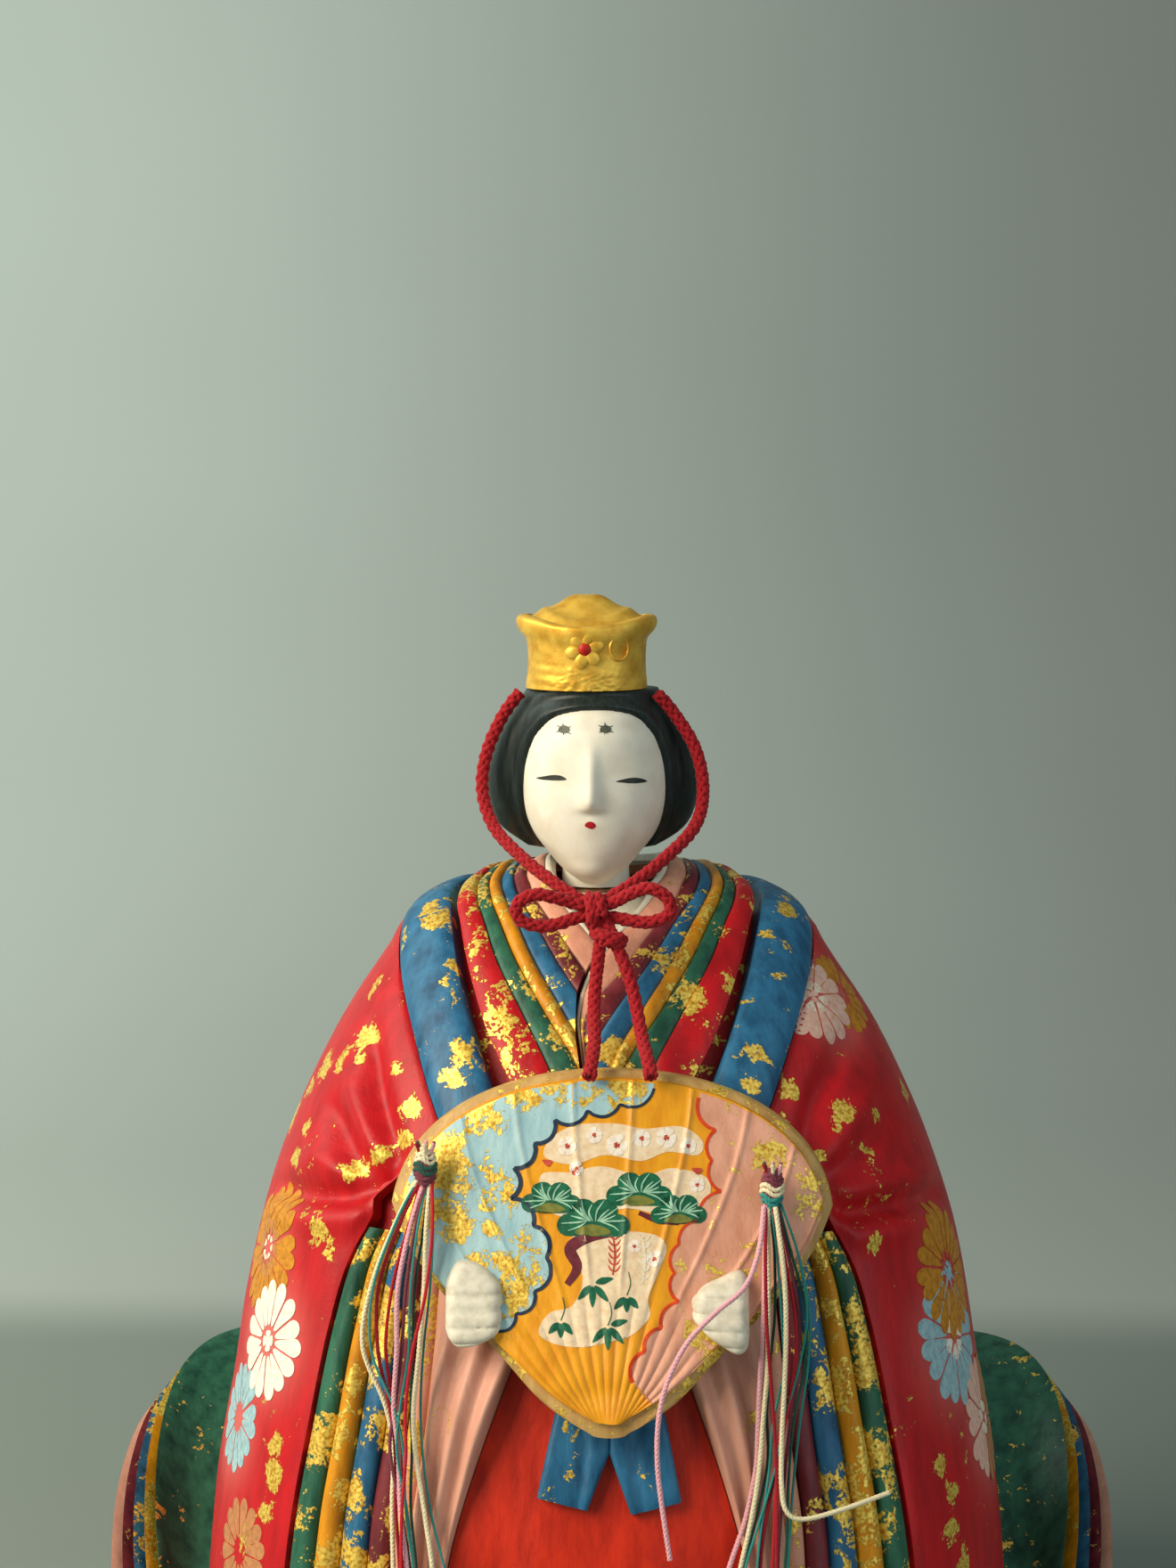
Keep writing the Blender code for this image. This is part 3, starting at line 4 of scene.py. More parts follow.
import bpy
import bmesh
import json
from functools import lru_cache
from math import acos, atan2, copysign, cos, dist, exp, hypot, pi, radians, sin, tau
from mathutils import Matrix, Vector, geometry, noise
from mathutils.bvhtree import BVHTree
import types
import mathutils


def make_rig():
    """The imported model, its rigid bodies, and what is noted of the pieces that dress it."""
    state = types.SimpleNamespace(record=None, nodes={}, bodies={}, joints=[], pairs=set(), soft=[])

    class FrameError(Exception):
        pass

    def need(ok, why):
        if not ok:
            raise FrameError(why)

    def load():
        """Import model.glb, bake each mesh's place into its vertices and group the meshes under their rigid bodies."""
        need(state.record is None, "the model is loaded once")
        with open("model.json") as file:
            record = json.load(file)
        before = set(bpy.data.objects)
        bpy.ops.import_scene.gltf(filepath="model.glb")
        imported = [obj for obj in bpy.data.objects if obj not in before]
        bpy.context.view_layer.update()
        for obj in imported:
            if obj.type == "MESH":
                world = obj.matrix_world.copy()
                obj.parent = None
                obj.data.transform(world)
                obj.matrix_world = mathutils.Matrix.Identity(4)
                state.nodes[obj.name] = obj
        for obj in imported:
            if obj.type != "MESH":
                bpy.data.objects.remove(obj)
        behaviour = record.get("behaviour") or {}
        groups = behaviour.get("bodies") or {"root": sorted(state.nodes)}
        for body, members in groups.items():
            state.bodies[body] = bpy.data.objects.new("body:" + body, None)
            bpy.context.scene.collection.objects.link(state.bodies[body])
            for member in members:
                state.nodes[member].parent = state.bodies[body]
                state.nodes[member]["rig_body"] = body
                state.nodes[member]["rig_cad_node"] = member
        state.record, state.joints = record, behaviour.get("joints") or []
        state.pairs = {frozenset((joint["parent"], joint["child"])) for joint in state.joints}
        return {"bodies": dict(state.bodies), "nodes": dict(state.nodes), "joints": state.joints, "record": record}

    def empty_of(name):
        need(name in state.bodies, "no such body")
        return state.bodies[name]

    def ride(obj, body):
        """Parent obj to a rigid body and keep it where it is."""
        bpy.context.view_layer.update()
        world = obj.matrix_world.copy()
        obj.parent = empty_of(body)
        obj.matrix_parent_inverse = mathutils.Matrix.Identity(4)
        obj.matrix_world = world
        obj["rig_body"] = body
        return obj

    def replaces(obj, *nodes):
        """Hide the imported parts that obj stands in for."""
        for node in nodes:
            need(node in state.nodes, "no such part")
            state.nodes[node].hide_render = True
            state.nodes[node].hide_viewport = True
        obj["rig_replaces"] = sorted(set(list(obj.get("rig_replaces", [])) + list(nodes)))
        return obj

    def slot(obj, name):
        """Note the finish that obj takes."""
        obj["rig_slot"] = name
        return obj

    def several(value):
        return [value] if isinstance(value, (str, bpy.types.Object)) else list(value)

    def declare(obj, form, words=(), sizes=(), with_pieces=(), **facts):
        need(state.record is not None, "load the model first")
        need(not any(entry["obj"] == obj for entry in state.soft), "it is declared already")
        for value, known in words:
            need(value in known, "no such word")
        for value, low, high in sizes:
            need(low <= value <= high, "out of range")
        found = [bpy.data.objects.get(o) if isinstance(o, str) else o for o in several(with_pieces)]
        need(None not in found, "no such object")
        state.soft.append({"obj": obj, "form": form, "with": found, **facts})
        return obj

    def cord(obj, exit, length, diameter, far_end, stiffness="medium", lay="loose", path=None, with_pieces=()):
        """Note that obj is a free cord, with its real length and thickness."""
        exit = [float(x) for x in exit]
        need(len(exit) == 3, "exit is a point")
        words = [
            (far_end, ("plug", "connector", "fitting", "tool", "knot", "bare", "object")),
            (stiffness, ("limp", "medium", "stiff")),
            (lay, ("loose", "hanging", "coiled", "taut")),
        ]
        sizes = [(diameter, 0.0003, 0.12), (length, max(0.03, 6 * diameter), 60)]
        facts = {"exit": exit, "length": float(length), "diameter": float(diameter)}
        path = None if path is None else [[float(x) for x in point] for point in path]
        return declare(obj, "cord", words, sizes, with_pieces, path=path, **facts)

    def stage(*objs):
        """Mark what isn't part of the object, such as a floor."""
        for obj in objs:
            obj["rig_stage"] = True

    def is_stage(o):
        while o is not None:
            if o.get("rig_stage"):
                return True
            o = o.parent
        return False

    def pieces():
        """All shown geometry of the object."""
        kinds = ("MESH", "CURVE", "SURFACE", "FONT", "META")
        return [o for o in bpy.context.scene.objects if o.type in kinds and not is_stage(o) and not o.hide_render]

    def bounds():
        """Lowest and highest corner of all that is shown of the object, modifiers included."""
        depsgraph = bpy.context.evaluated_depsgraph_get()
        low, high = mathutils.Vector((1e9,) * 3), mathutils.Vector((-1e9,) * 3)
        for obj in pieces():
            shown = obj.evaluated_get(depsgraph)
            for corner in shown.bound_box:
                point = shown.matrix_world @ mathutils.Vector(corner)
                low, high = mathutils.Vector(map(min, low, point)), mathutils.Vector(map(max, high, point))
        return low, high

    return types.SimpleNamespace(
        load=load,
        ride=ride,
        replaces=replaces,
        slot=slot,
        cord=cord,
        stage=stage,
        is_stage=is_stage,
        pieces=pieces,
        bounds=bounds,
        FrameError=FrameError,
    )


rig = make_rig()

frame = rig.load()
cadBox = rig.bounds()
mm = 0.001
print("frame loaded")

# The camera stands where the photograph was taken from, a little to the right and above
cameraLook = {"place": (13.1, -462.2, 193.9), "tilt": 84.0, "turn": 2.0, "lens": 69.03, "sensor": 36.0}


def makeCamera():
    bpy.ops.object.camera_add(location=[value * mm for value in cameraLook["place"]],
                              rotation=(radians(cameraLook["tilt"]), 0, radians(cameraLook["turn"])))
    camera = bpy.context.object
    camera.data.lens = cameraLook["lens"]
    camera.data.sensor_width = cameraLook["sensor"]
    camera.data.clip_start = 10 * mm
    camera.data.clip_end = 20
    bpy.context.scene.camera = camera


makeCamera()


# Small helpers for materials
gloss = 0.27


def toLinear(hexColour):
    # sRGB hex to linear colour
    channels = []
    for k in (1, 3, 5):
        value = int(hexColour[k:k + 2], 16) / 255
        channels.append(value / 12.92 if value <= 0.04045 else ((value + 0.055) / 1.055) ** 2.4)
    return (*channels, 1)


def addNode(tree, kind, values=None, links=None, **options):
    # One node with its options, its socket values and what feeds it
    node = tree.nodes.new(kind)
    for key, value in options.items():
        setattr(node, key, value)
    for key, value in (values or {}).items():
        node.inputs[key].default_value = value
    feed(tree, node, links or {})
    return node


def feed(tree, node, links):
    for key, source in links.items():
        tree.links.new(source, node.inputs[key])


def newMaterial(name, roughness, metallic=0.0):
    material = bpy.data.materials.new(name)
    material.use_nodes = True
    tree = material.node_tree
    shader = tree.nodes["Principled BSDF"]
    for key, value in (("Roughness", roughness), ("Metallic", metallic), ("Specular IOR Level", gloss)):
        shader.inputs[key].default_value = value
    return material, tree, shader, addNode(tree, "ShaderNodeTexCoord").outputs["Object"]


def stretched(tree, coords, scale):
    return addNode(tree, "ShaderNodeMapping", {"Scale": scale}, {"Vector": coords}).outputs[0]


def noiseOf(tree, coords, size, detail, **values):
    return addNode(tree, "ShaderNodeTexNoise", {"Scale": 1 / size, "Detail": detail, **values},
                   {"Vector": coords}).outputs["Fac"]


def spread(tree, source, low, high, first=0, last=1, kind="LINEAR"):
    # The way from low to high, laid on the span from first to last
    values = {"From Min": low, "From Max": high, "To Min": first, "To Max": last}
    return addNode(tree, "ShaderNodeMapRange", values, {"Value": source}, interpolation_type=kind).outputs[0]


def attribute(tree, name):
    return addNode(tree, "ShaderNodeAttribute", attribute_name=name).outputs["Fac"]


def reckon(tree, operation, values, links):
    return addNode(tree, "ShaderNodeMath", values, links, operation=operation).outputs[0]


def blend(tree, first, second, share, kind="MIX"):
    # Two colours mixed by a share; each is an output, or else hex text or a number
    values = {}
    links = {}
    for key, source in ((0, share), (6, first), (7, second)):
        if isinstance(source, (str, float)):
            values[key] = toLinear(source) if isinstance(source, str) else source
        else:
            links[key] = source
    return addNode(tree, "ShaderNodeMix", values, links, data_type="RGBA", blend_type=kind).outputs[2]


def bumpOf(tree, height, strength, distance, under=None):
    links = {"Height": height} if under is None else {"Height": height, "Normal": under}
    return addNode(tree, "ShaderNodeBump", {"Strength": strength, "Distance": distance}, links).outputs[0]


# Small helpers for shapes
def deselectAll():
    bpy.ops.object.select_all(action="DESELECT")


def pick(piece):
    deselectAll()
    piece.select_set(True)
    bpy.context.view_layer.objects.active = piece


def named(name):
    # The piece that an operator has just added, under a name of its own
    piece = bpy.context.object
    piece.name = piece.data.name = name
    return piece


def linked(name, data):
    piece = bpy.data.objects.new(name, data)
    bpy.context.scene.collection.objects.link(piece)
    return piece


def applyAll(piece):
    # Every modifier is applied in turn
    pick(piece)
    for modifier in list(piece.modifiers):
        bpy.ops.object.modifier_apply(modifier=modifier.name)


def addWall(piece, thickness):
    solid = piece.modifiers.new("wall", "SOLIDIFY")
    solid.thickness = thickness
    solid.offset = -1
    applyAll(piece)


def smoothShade(piece, degrees=40):
    pick(piece)
    bpy.ops.object.shade_smooth_by_angle(angle=radians(degrees))
    return piece


def facesOut(piece, degrees):
    shape = bmesh.new()
    shape.from_mesh(piece.data)
    bmesh.ops.recalc_face_normals(shape, faces=shape.faces)
    shape.to_mesh(piece.data)
    shape.free()
    return smoothShade(piece, degrees)


def dress(piece, material, body, slotName, *nodes):
    # Finish, body and record of one piece
    piece.data.materials.clear()
    piece.data.materials.append(material)
    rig.ride(piece, body)
    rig.slot(piece, slotName)
    if nodes:
        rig.replaces(piece, *nodes)
    return piece


def middleOf(ring):
    return sum(ring, Vector()) / len(ring)


def ringPiece(name, rings, degrees=40):
    # A sphere primitive whose rings of points are laid on the given ones, its poles at the ends' middles
    count = len(rings[0])
    deselectAll()
    bpy.ops.mesh.primitive_uv_sphere_add(segments=count, ring_count=len(rings) + 1, radius=1)
    piece = named(name)
    ends = [middleOf(ring) for ring in (rings[0], rings[-1])]
    for vertex in piece.data.vertices:
        row = round(acos(min(max(-vertex.co.z, -1), 1)) / pi * (len(rings) + 1)) - 1
        column = round(atan2(vertex.co.y, vertex.co.x) / tau * count) % count
        if row < 0 or row >= len(rings):
            vertex.co = ends[0] if row < 0 else ends[1]
        else:
            vertex.co = rings[row][column]
    return facesOut(piece, degrees)


def loopPiece(name, rings, degrees):
    # A torus primitive whose small rings are laid on the given rows, so first and last row meet
    deselectAll()
    bpy.ops.mesh.primitive_torus_add(major_segments=len(rings[0]), minor_segments=len(rings))
    piece = named(name)
    for k, vertex in enumerate(piece.data.vertices):
        vertex.co = rings[k % len(rings)][k // len(rings)]
    return facesOut(piece, degrees)


def ovalRow(x, y, z, width, front, back, sides):
    # Places round a level oval, from its front, with a depth of its own for each half
    ring = []
    for k in range(sides):
        angle = tau * k / sides
        depth = front if cos(angle) > 0 else back
        ring.append(Vector((x + width * sin(angle), y - depth * cos(angle), z)))
    return ring


def around(angle, radius, z):
    return Vector((radius * sin(angle), -radius * cos(angle), z))


def inMetres(places):
    return [Vector(place) * mm for place in places]


def between(first, second, share):
    return first + (second - first) * share


def splinePoint(p0, p1, p2, p3, t):
    return 0.5 * (2 * p1 + (p2 - p0) * t + (2 * p0 - 5 * p1 + 4 * p2 - p3) * t ** 2
                  + (3 * p1 - p0 - 3 * p2 + p3) * t ** 3)


def curveThrough(points, step):
    # Evenly spaced places on a smooth curve through the given ones
    dense = []
    spans = len(points) - 1
    fine = 16
    for k in range(spans):
        p0 = Vector(points[max(k - 1, 0)])
        p1 = Vector(points[k])
        p2 = Vector(points[k + 1])
        p3 = Vector(points[min(k + 2, spans)])
        for part in range(fine):
            dense.append(splinePoint(p0, p1, p2, p3, part / fine))
    dense.append(Vector(points[spans]))
    lengths = [0]
    for a, b in zip(dense, dense[1:]):
        lengths.append(lengths[-1] + (b - a).length)
    count = max(4, round(lengths[-1] / step) + 1)
    spaced = []
    k = 0
    for part in range(count):
        wanted = lengths[-1] * part / (count - 1)
        while k < len(lengths) - 2 and lengths[k + 1] < wanted:
            k += 1
        spaced.append(dense[k].lerp(dense[k + 1], (wanted - lengths[k]) / (lengths[k + 1] - lengths[k])))
    return spaced


def lineLength(points):
    return sum((b - a).length for a, b in zip(points, points[1:]))


def carriedFrames(points):
    # A sideways and an upward direction at each place, carried along without twist
    sides = []
    side = Vector((1, 0, 0))
    for k, point in enumerate(points):
        along = (points[min(k + 1, len(points) - 1)] - points[max(k - 1, 0)]).normalized()
        if k == 0 and abs(along.dot(side)) > 0.9:
            side = Vector((0, 1, 0))
        side = (side - along * side.dot(along)).normalized()
        sides.append((side.copy(), along.cross(side)))
    return sides


def smooth(places, values, at):
    # The smooth curve through a table, read at one place
    last = len(places) - 1
    at = min(max(at, places[0]), places[last])
    k = 0
    while k < last - 1 and at > places[k + 1]:
        k += 1
    span = places[k + 1] - places[k]
    t = (at - places[k]) / span
    rise = (values[k + 1] - values[k]) / span
    before = (values[k] - values[k - 1]) / (places[k] - places[k - 1]) if k > 0 else rise
    after = (values[k + 2] - values[k + 1]) / (places[k + 2] - places[k + 1]) if k < last - 1 else rise
    near = 2 * t ** 3 - 3 * t ** 2 + 1
    return (near * values[k] + (1 - near) * values[k + 1]
            + (t ** 3 - 2 * t ** 2 + t) * (before + rise) / 2 * span
            + (t ** 3 - t ** 2) * (rise + after) / 2 * span)


def ease(low, high, value):
    t = min(max((value - low) / (high - low), 0), 1)
    return t * t * (3 - 2 * t)


# The crimson cord and the threads come first. Their routes repeat those of the part, point by point.
# The braid's deep colour is partly random fleck and partly painted shade laid into the hollows between its strands
braidLook = {"diameter": 2.0 * mm, "pitch": 6.4 * mm, "strand": 0.37 * mm, "weave": 0.13 * mm,
             "step": 0.22 * mm, "count": 8, "flare": 0.35, "colour": "#A20918", "deep": "#50030D"}
threadLook = {"plies": 3, "ply": 0.29, "pitch": 2.4, "step": 0.24 * mm, "front": 0.9 * mm, "crossing": 1.8 * mm,
              "crossingStep": 0.8 * mm}
yarnLook = {"roughness": 0.78, "sheen": 0.12, "sheenRoughness": 0.5, "fuzz": 0.06 * mm}
threadWidths = {"rose": 0.8 * mm, "cream": 0.78 * mm, "red": 0.55 * mm, "crimson": 0.6 * mm, "teal": 0.42 * mm,
                "pine": 0.48 * mm, "mauve": 0.6 * mm}
# The routes below are in millimetres
cordRoutes = {
    "left": [
        (-12.9, -11.5, 160.3), (-15.6, -11.5, 156.6), (-18, -12.2, 150.8), (-18.4, -13.5, 145.2),
        (-16.3, -16.5, 140.2), (-11.5, -22, 136.2), (-6.6, -26, 133.1), (-4.4, -27.2, 131.9),
        (-2, -28.4, 130.3), (-3, -29.1, 130.6), (-4.4, -29.2, 131), (-6.8, -29.8, 131.8),
        (-9.8, -30.2, 132.3), (-12.3, -30.2, 130.8), (-11.9, -30.2, 128.6), (-8.8, -30, 127.6),
        (-5.8, -29.6, 128.1), (-4.2, -29.2, 128.6), (-1.6, -29, 129), (-0.2, -29.9, 127),
        (-0.3, -30.8, 124.6), (-0.8, -31.8, 120), (-1, -33.5, 116), (-0.8, -36.6, 112.5), (-1, -40.2, 110.2),
        (-1.4, -42.8, 108)],
    "right": [
        (7.8, -13, 160.3), (10.3, -12.2, 157.3), (13.5, -12.4, 152), (14.7, -13.5, 146), (13.5, -16.5, 140.8),
        (8.8, -22, 136.4), (4, -26, 133.1), (1.8, -27.2, 131.9), (-0.4, -28.4, 130.4), (0.6, -29.1, 130.7),
        (2, -29.2, 131.2), (4.3, -29.8, 132.5), (7, -30.2, 133.3), (9.6, -30.2, 131.8), (9.8, -30.2, 129.5),
        (7, -30, 128.3), (4, -29.6, 128.5), (2, -29.2, 128.8), (0.2, -29.2, 128.7), (1.4, -30, 126.8),
        (2.4, -30.8, 124.6), (4.2, -31.8, 120), (5.2, -33.5, 116), (6, -36.6, 112.5), (6.8, -40.2, 110.2),
        (7.4, -42.8, 108.1)]}
knotPlaces = {"bow": (-1.2, -29, 129.8), "tail": (1, -30.3, 126.1),
              "left": (-24.5, -45.8, 95.5), "right": (24.5, -47.2, 93.2)}
threadRoutes = {
    "left": [
        [(-25.5, -46, 93.8), (-28.5, -46.6, 88), (-32, -47, 79), (-33.4, -47.4, 70), (-30.2, -48.6, 62),
         (-28.9, -49.7, 56), (-28.9, -51.8, 48), (-28.6, -53.7, 39), (-28.2, -55.6, 28), (-28.5, -56.4, 18)],
        [(-25, -46.2, 93.6), (-26.6, -47, 88), (-29, -48, 79), (-30, -48.4, 70), (-28.9, -48.8, 62),
         (-27.6, -50, 56), (-27.6, -52, 48), (-27.2, -53.9, 39), (-26.6, -55.8, 26), (-26.2, -56.7, 13)],
        [(-24.3, -46.4, 93.5), (-25.6, -48.4, 88), (-27, -49.6, 79), (-27.6, -49.9, 70), (-28.6, -50.3, 62),
         (-29.2, -51.4, 56), (-27.5, -53.4, 48), (-26, -55.4, 39), (-25.4, -56.8, 28), (-25, -57.6, 16)],
        [(-24, -46.2, 93.5), (-24.6, -48, 87), (-25.8, -48.4, 79), (-26.2, -48.6, 70), (-26.4, -49.1, 62),
         (-26.2, -50.3, 56), (-26.2, -52.3, 48), (-25.2, -54.2, 39), (-24, -56.2, 26), (-23.8, -56.8, 18)],
        [(-23.5, -46.4, 93.6), (-23.2, -48.6, 87), (-23.6, -49.2, 79), (-24.6, -49, 70), (-25, -49.4, 62),
         (-24.6, -50.8, 55), (-23.2, -53, 47), (-21, -55.2, 39), (-19.6, -56.8, 30)]],
    "right": [
        [(23.6, -47.8, 91), (23.5, -50, 85), (23.3, -51.5, 76), (22.9, -51.7, 68), (22.6, -51.7, 60),
         (22.3, -52.1, 54), (20.8, -53.3, 47), (18.4, -55.1, 40), (17, -56.6, 32)],
        [(24.1, -47.6, 90.9), (24.8, -49.4, 85), (24.9, -50.3, 76), (24.3, -50.5, 69), (23.9, -50.5, 62),
         (24, -51.2, 55), (22.6, -52.6, 48), (20.6, -54.5, 40), (19.5, -56.2, 30), (19.3, -57, 22)],
        [(24.6, -48, 90.8), (26, -50.8, 84), (26.8, -51.4, 76), (26.8, -51.5, 68), (25.8, -51.7, 60),
         (24.6, -53, 52), (23.2, -54.7, 44), (22.6, -56.3, 34), (22.4, -57.4, 24), (22.5, -58, 14)],
        [(25.2, -47.4, 90.9), (26.8, -48.4, 84), (28.3, -48.4, 76), (28.2, -48.6, 68), (27.2, -49.2, 60),
         (26.3, -51, 52), (25.6, -53.1, 44), (25.2, -54.9, 34), (25, -56.2, 24), (25.1, -56.9, 16)],
        [(25.7, -47.2, 91.2), (28.2, -47.8, 84), (29.8, -47.8, 76), (29.7, -48, 68), (28.6, -48.9, 60),
         (27.7, -50.7, 52), (27.1, -52.7, 44), (26.6, -54.7, 34), (26.5, -56.2, 22)]]}
loneRoutes = {
    "pink": [
        (23.3, -50, 91.3), (22.6, -53, 86), (20.6, -56.2, 81.5), (16.4, -58.2, 78.2), (12.6, -59, 74.2),
        (10, -59.6, 69), (8.8, -60, 64), (8.6, -60.2, 58), (9.2, -60.4, 52), (10.4, -60.6, 44)],
    "cream": [
        (24.9, -50.1, 91.2), (26.1, -52.4, 82), (26.4, -52.9, 74), (26.2, -53, 66), (25.9, -53.1, 59),
        (25.9, -54.1, 52.5), (26.6, -54.6, 49), (29, -54.3, 47.8), (34.5, -52.4, 48.6), (41.2, -49.2, 50)]}
# Each thread's second colour is its darker tone: random flecks, and painted shade in the hollows between plies
threadColours = {
    "red": ("#C01A2A", "#8E0F1C"), "crimson": ("#9C1224", "#5E0A16"), "rose": ("#E6A9B4", "#C96A82"),
    "cream": ("#E9DDB8", "#C3AE7C"), "teal": ("#2E8F8A", "#165E5E"), "pine": ("#24574A", "#12352E"),
    "mauve": ("#7C3A48", "#4E2230")}


def dyedYarn(name, colours, spacing):
    # Dyed cotton yarn, twisted or braided: matt, with a fine hairy sheen, random flecks, and painted shade that darkens
    # the colour in the hollows between strands
    look = yarnLook
    material, tree, shader, coords = newMaterial(name, look["roughness"])
    bright, deep = colours
    fleck = noiseOf(tree, coords, spacing, 4.0, Roughness=0.6)
    # Painted shade: the colour turns towards the deep one where Pointiness finds the hollows between strands
    hollowPaintedShade = spread(tree, addNode(tree, "ShaderNodeNewGeometry").outputs["Pointiness"], 0.44, 0.54)
    shade = spread(tree, reckon(tree, "ADD", {}, {0: hollowPaintedShade, 1: fleck}), 0.35, 1.25)
    fuzz = noiseOf(tree, coords, spacing / 4, 3.0)
    feed(tree, shader, {"Base Color": blend(tree, deep, bright, shade),
                        "Normal": bumpOf(tree, fuzz, 0.5, look["fuzz"])})
    shader.inputs["Sheen Weight"].default_value = look["sheen"]
    shader.inputs["Sheen Roughness"].default_value = look["sheenRoughness"]
    return material


def strandCurve(name, strands, radius):
    # Several round strands as one mesh
    data = bpy.data.curves.new(name, "CURVE")
    data.dimensions = "3D"
    data.bevel_depth = radius
    data.bevel_resolution = 1
    data.use_fill_caps = True
    for places in strands:
        spline = data.splines.new("POLY")
        spline.points.add(len(places) - 1)
        for point, place in zip(spline.points, places):
            point.co = (*place, 1)
    pick(linked(name, data))
    bpy.ops.object.convert(target="MESH")
    return smoothShade(bpy.context.object, 60)


def braidStrands(points, radius, pitch, weave, count, flare):
    # Half of the strands wind each way round and pass over and under one another
    frames = carriedFrames(points)
    strands = []
    step = lineLength(points) / (len(points) - 1)
    half = count // 2
    for k in range(count):
        way = 1 if k % 2 == 0 else -1
        places = []
        for number, (point, (side, up)) in enumerate(zip(points, frames)):
            along = number * step
            angle = way * tau * along / pitch + tau * (k // 2) / half
            reach = radius + way * weave * cos(tau * half * along / pitch)
            left = len(points) - 1 - number
            reach *= 1 + flare * max(0, 1 - left / 8)
            places.append(point + side * cos(angle) * reach + up * sin(angle) * reach)
        strands.append(places)
    return strands


crimson = dyedYarn("braidedCrimsonCord", (braidLook["colour"], braidLook["deep"]), 0.5 * mm)


def makeBraidedCord(name, route, nodes):
    look = braidLook
    points = curveThrough(route, look["step"])
    radius = look["diameter"] / 2 - look["strand"] - look["weave"] / 2
    strands = braidStrands(points, radius, look["pitch"], look["weave"], look["count"], look["flare"])
    return dress(strandCurve(name, strands, look["strand"]), crimson, "head", "crimson_cord", *nodes), points


def wrapRoute(centre, first, second, width, height, lead, turns=1.35, count=9):
    # Places round an oval, for a wrap of cord
    total = round(count * turns)
    places = []
    for k in range(total + 1):
        angle = tau * k / count
        places.append(centre + first * cos(angle) * width + second * sin(angle) * height
                      + lead * (k / total - 0.5))
    return places


def makeCords():
    for word in ("left", "right"):
        nodes = (f"chin_cord_{word}", f"bow_loop_{word}", f"tail_{word}")
        piece, points = makeBraidedCord(f"crimsonCord_{word}", inMetres(cordRoutes[word]), nodes)
        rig.cord(piece, exit=points[0], length=lineLength(points), diameter=braidLook["diameter"],
                far_end="bare", stiffness="limp", lay="hanging", path=points, with_pieces=())
    # The bow's knot is one wrap of the cord, and the knot below it another
    for name, node, first, second, height, lead in (
            ("bow", "bow_knot", (0, 0.35, 1), (0.2, -1, 0.3), 1.5 * mm, Vector((0.0016, 0, 0))),
            ("tail", "tail_knot", (1, 0, -0.25), (0, -1, 0), 1.35 * mm, Vector((0, 0, -0.0007)))):
        route = wrapRoute(Vector(knotPlaces[name]) * mm, Vector(first).normalized(), Vector(second).normalized(),
                          2.0 * mm, height, lead)
        makeBraidedCord(f"{name}Knot", route, (node,))


makeCords()
print("crimson cord made")


def plyStrands(points, width, phase):
    look = threadLook
    plies = look["plies"]
    frames = carriedFrames(points)
    reach = width * (0.5 - look["ply"])
    step = lineLength(points) / (len(points) - 1)
    strands = []
    for k in range(plies):
        places = []
        for number, (point, (side, up)) in enumerate(zip(points, frames)):
            angle = tau * (number * step / (look["pitch"] * width) + k / plies) + phase
            places.append(point + side * cos(angle) * reach + up * sin(angle) * reach)
        strands.append(places)
    return strands


yarns = {name: dyedYarn(f"embroideryThread_{name}", colours, 0.25 * mm)
         for name, colours in threadColours.items()}


def plyPiece(name, places, colour, width, phase, body, nodes=()):
    points = curveThrough(places, threadLook["step"])
    piece = strandCurve(name, plyStrands(points, width, phase), width * threadLook["ply"])
    return dress(piece, yarns[colour], body, "threads", *nodes), points


def makeThread(name, route, colour, body, phase, nodes=()):
    piece, points = plyPiece(name, route, colour, threadWidths[colour], phase, body, nodes)
    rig.cord(piece, exit=points[0], length=lineLength(points), diameter=threadWidths[colour], far_end="bare",
            stiffness="limp", lay="hanging", path=points)


def betweenRoutes(first, second, forward, crossing=False):
    # A thread that lies in front of two others, halfway or crossing from one to the other
    count = min(len(first), len(second))
    middle = []
    for k in range(count):
        share = ease(1, count - 2, k) if crossing else 0.5 + 0.22 * sin(1.7 * k + 900 * first[0].x)
        middle.append(first[k].lerp(second[k], share) - Vector((0, forward * ease(0, 2, k), 0)))
    return middle


def makeTassels():
    orders = {"left": ("cream", "red", "mauve", "pine", "teal"),
              "right": ("rose", "pine", "crimson", "mauve", "teal")}
    inFront = {"left": ("crimson", "rose", "teal", "cream"), "right": ("cream", "teal", "red", "pine")}
    crossings = {"left": ((0, 3, "teal"), (4, 1, "red")), "right": ((4, 1, "teal"), (0, 3, "crimson"))}
    for word in ("left", "right"):
        routes = [inMetres(route) for route in threadRoutes[word]]
        body = f"tassel_{word}"
        for k, (route, colour) in enumerate(zip(routes, orders[word])):
            makeThread(f"thread_{word}_{k}", route, colour, body, k)
        for k, colour in enumerate(inFront[word]):
            route = betweenRoutes(routes[k], routes[k + 1], threadLook["front"])
            makeThread(f"thread_{word}_front_{k}", route, colour, body, 2 * k)
        for k, (first, second, colour) in enumerate(crossings[word]):
            forward = threadLook["crossing"] + threadLook["crossingStep"] * k
            route = betweenRoutes(routes[first], routes[second], forward, True)
            makeThread(f"thread_{word}_crossing_{k}", route, colour, body, k)
    for word, colour, phase in (("pink", "rose", 0.4), ("cream", "cream", 0.9)):
        makeThread(f"thread_{word}_lone", inMetres(loneRoutes[word]), colour, "tassel_right", phase,
                   (f"thread_{word}",))


makeTassels()
print("threads made")

# The knots of the threads: wraps round a core, with the cut ends standing up
tasselKnot = {"width": 1.85 * mm, "depth": 1.8 * mm, "height": 5.4 * mm, "turns": 7.5, "steps": 44,
              "wrap": 0.74 * mm, "end": 0.6 * mm, "endLength": 1.5 * mm,
              "endColours": ("mauve", "rose", "pine", "crimson", "cream", "rose")}


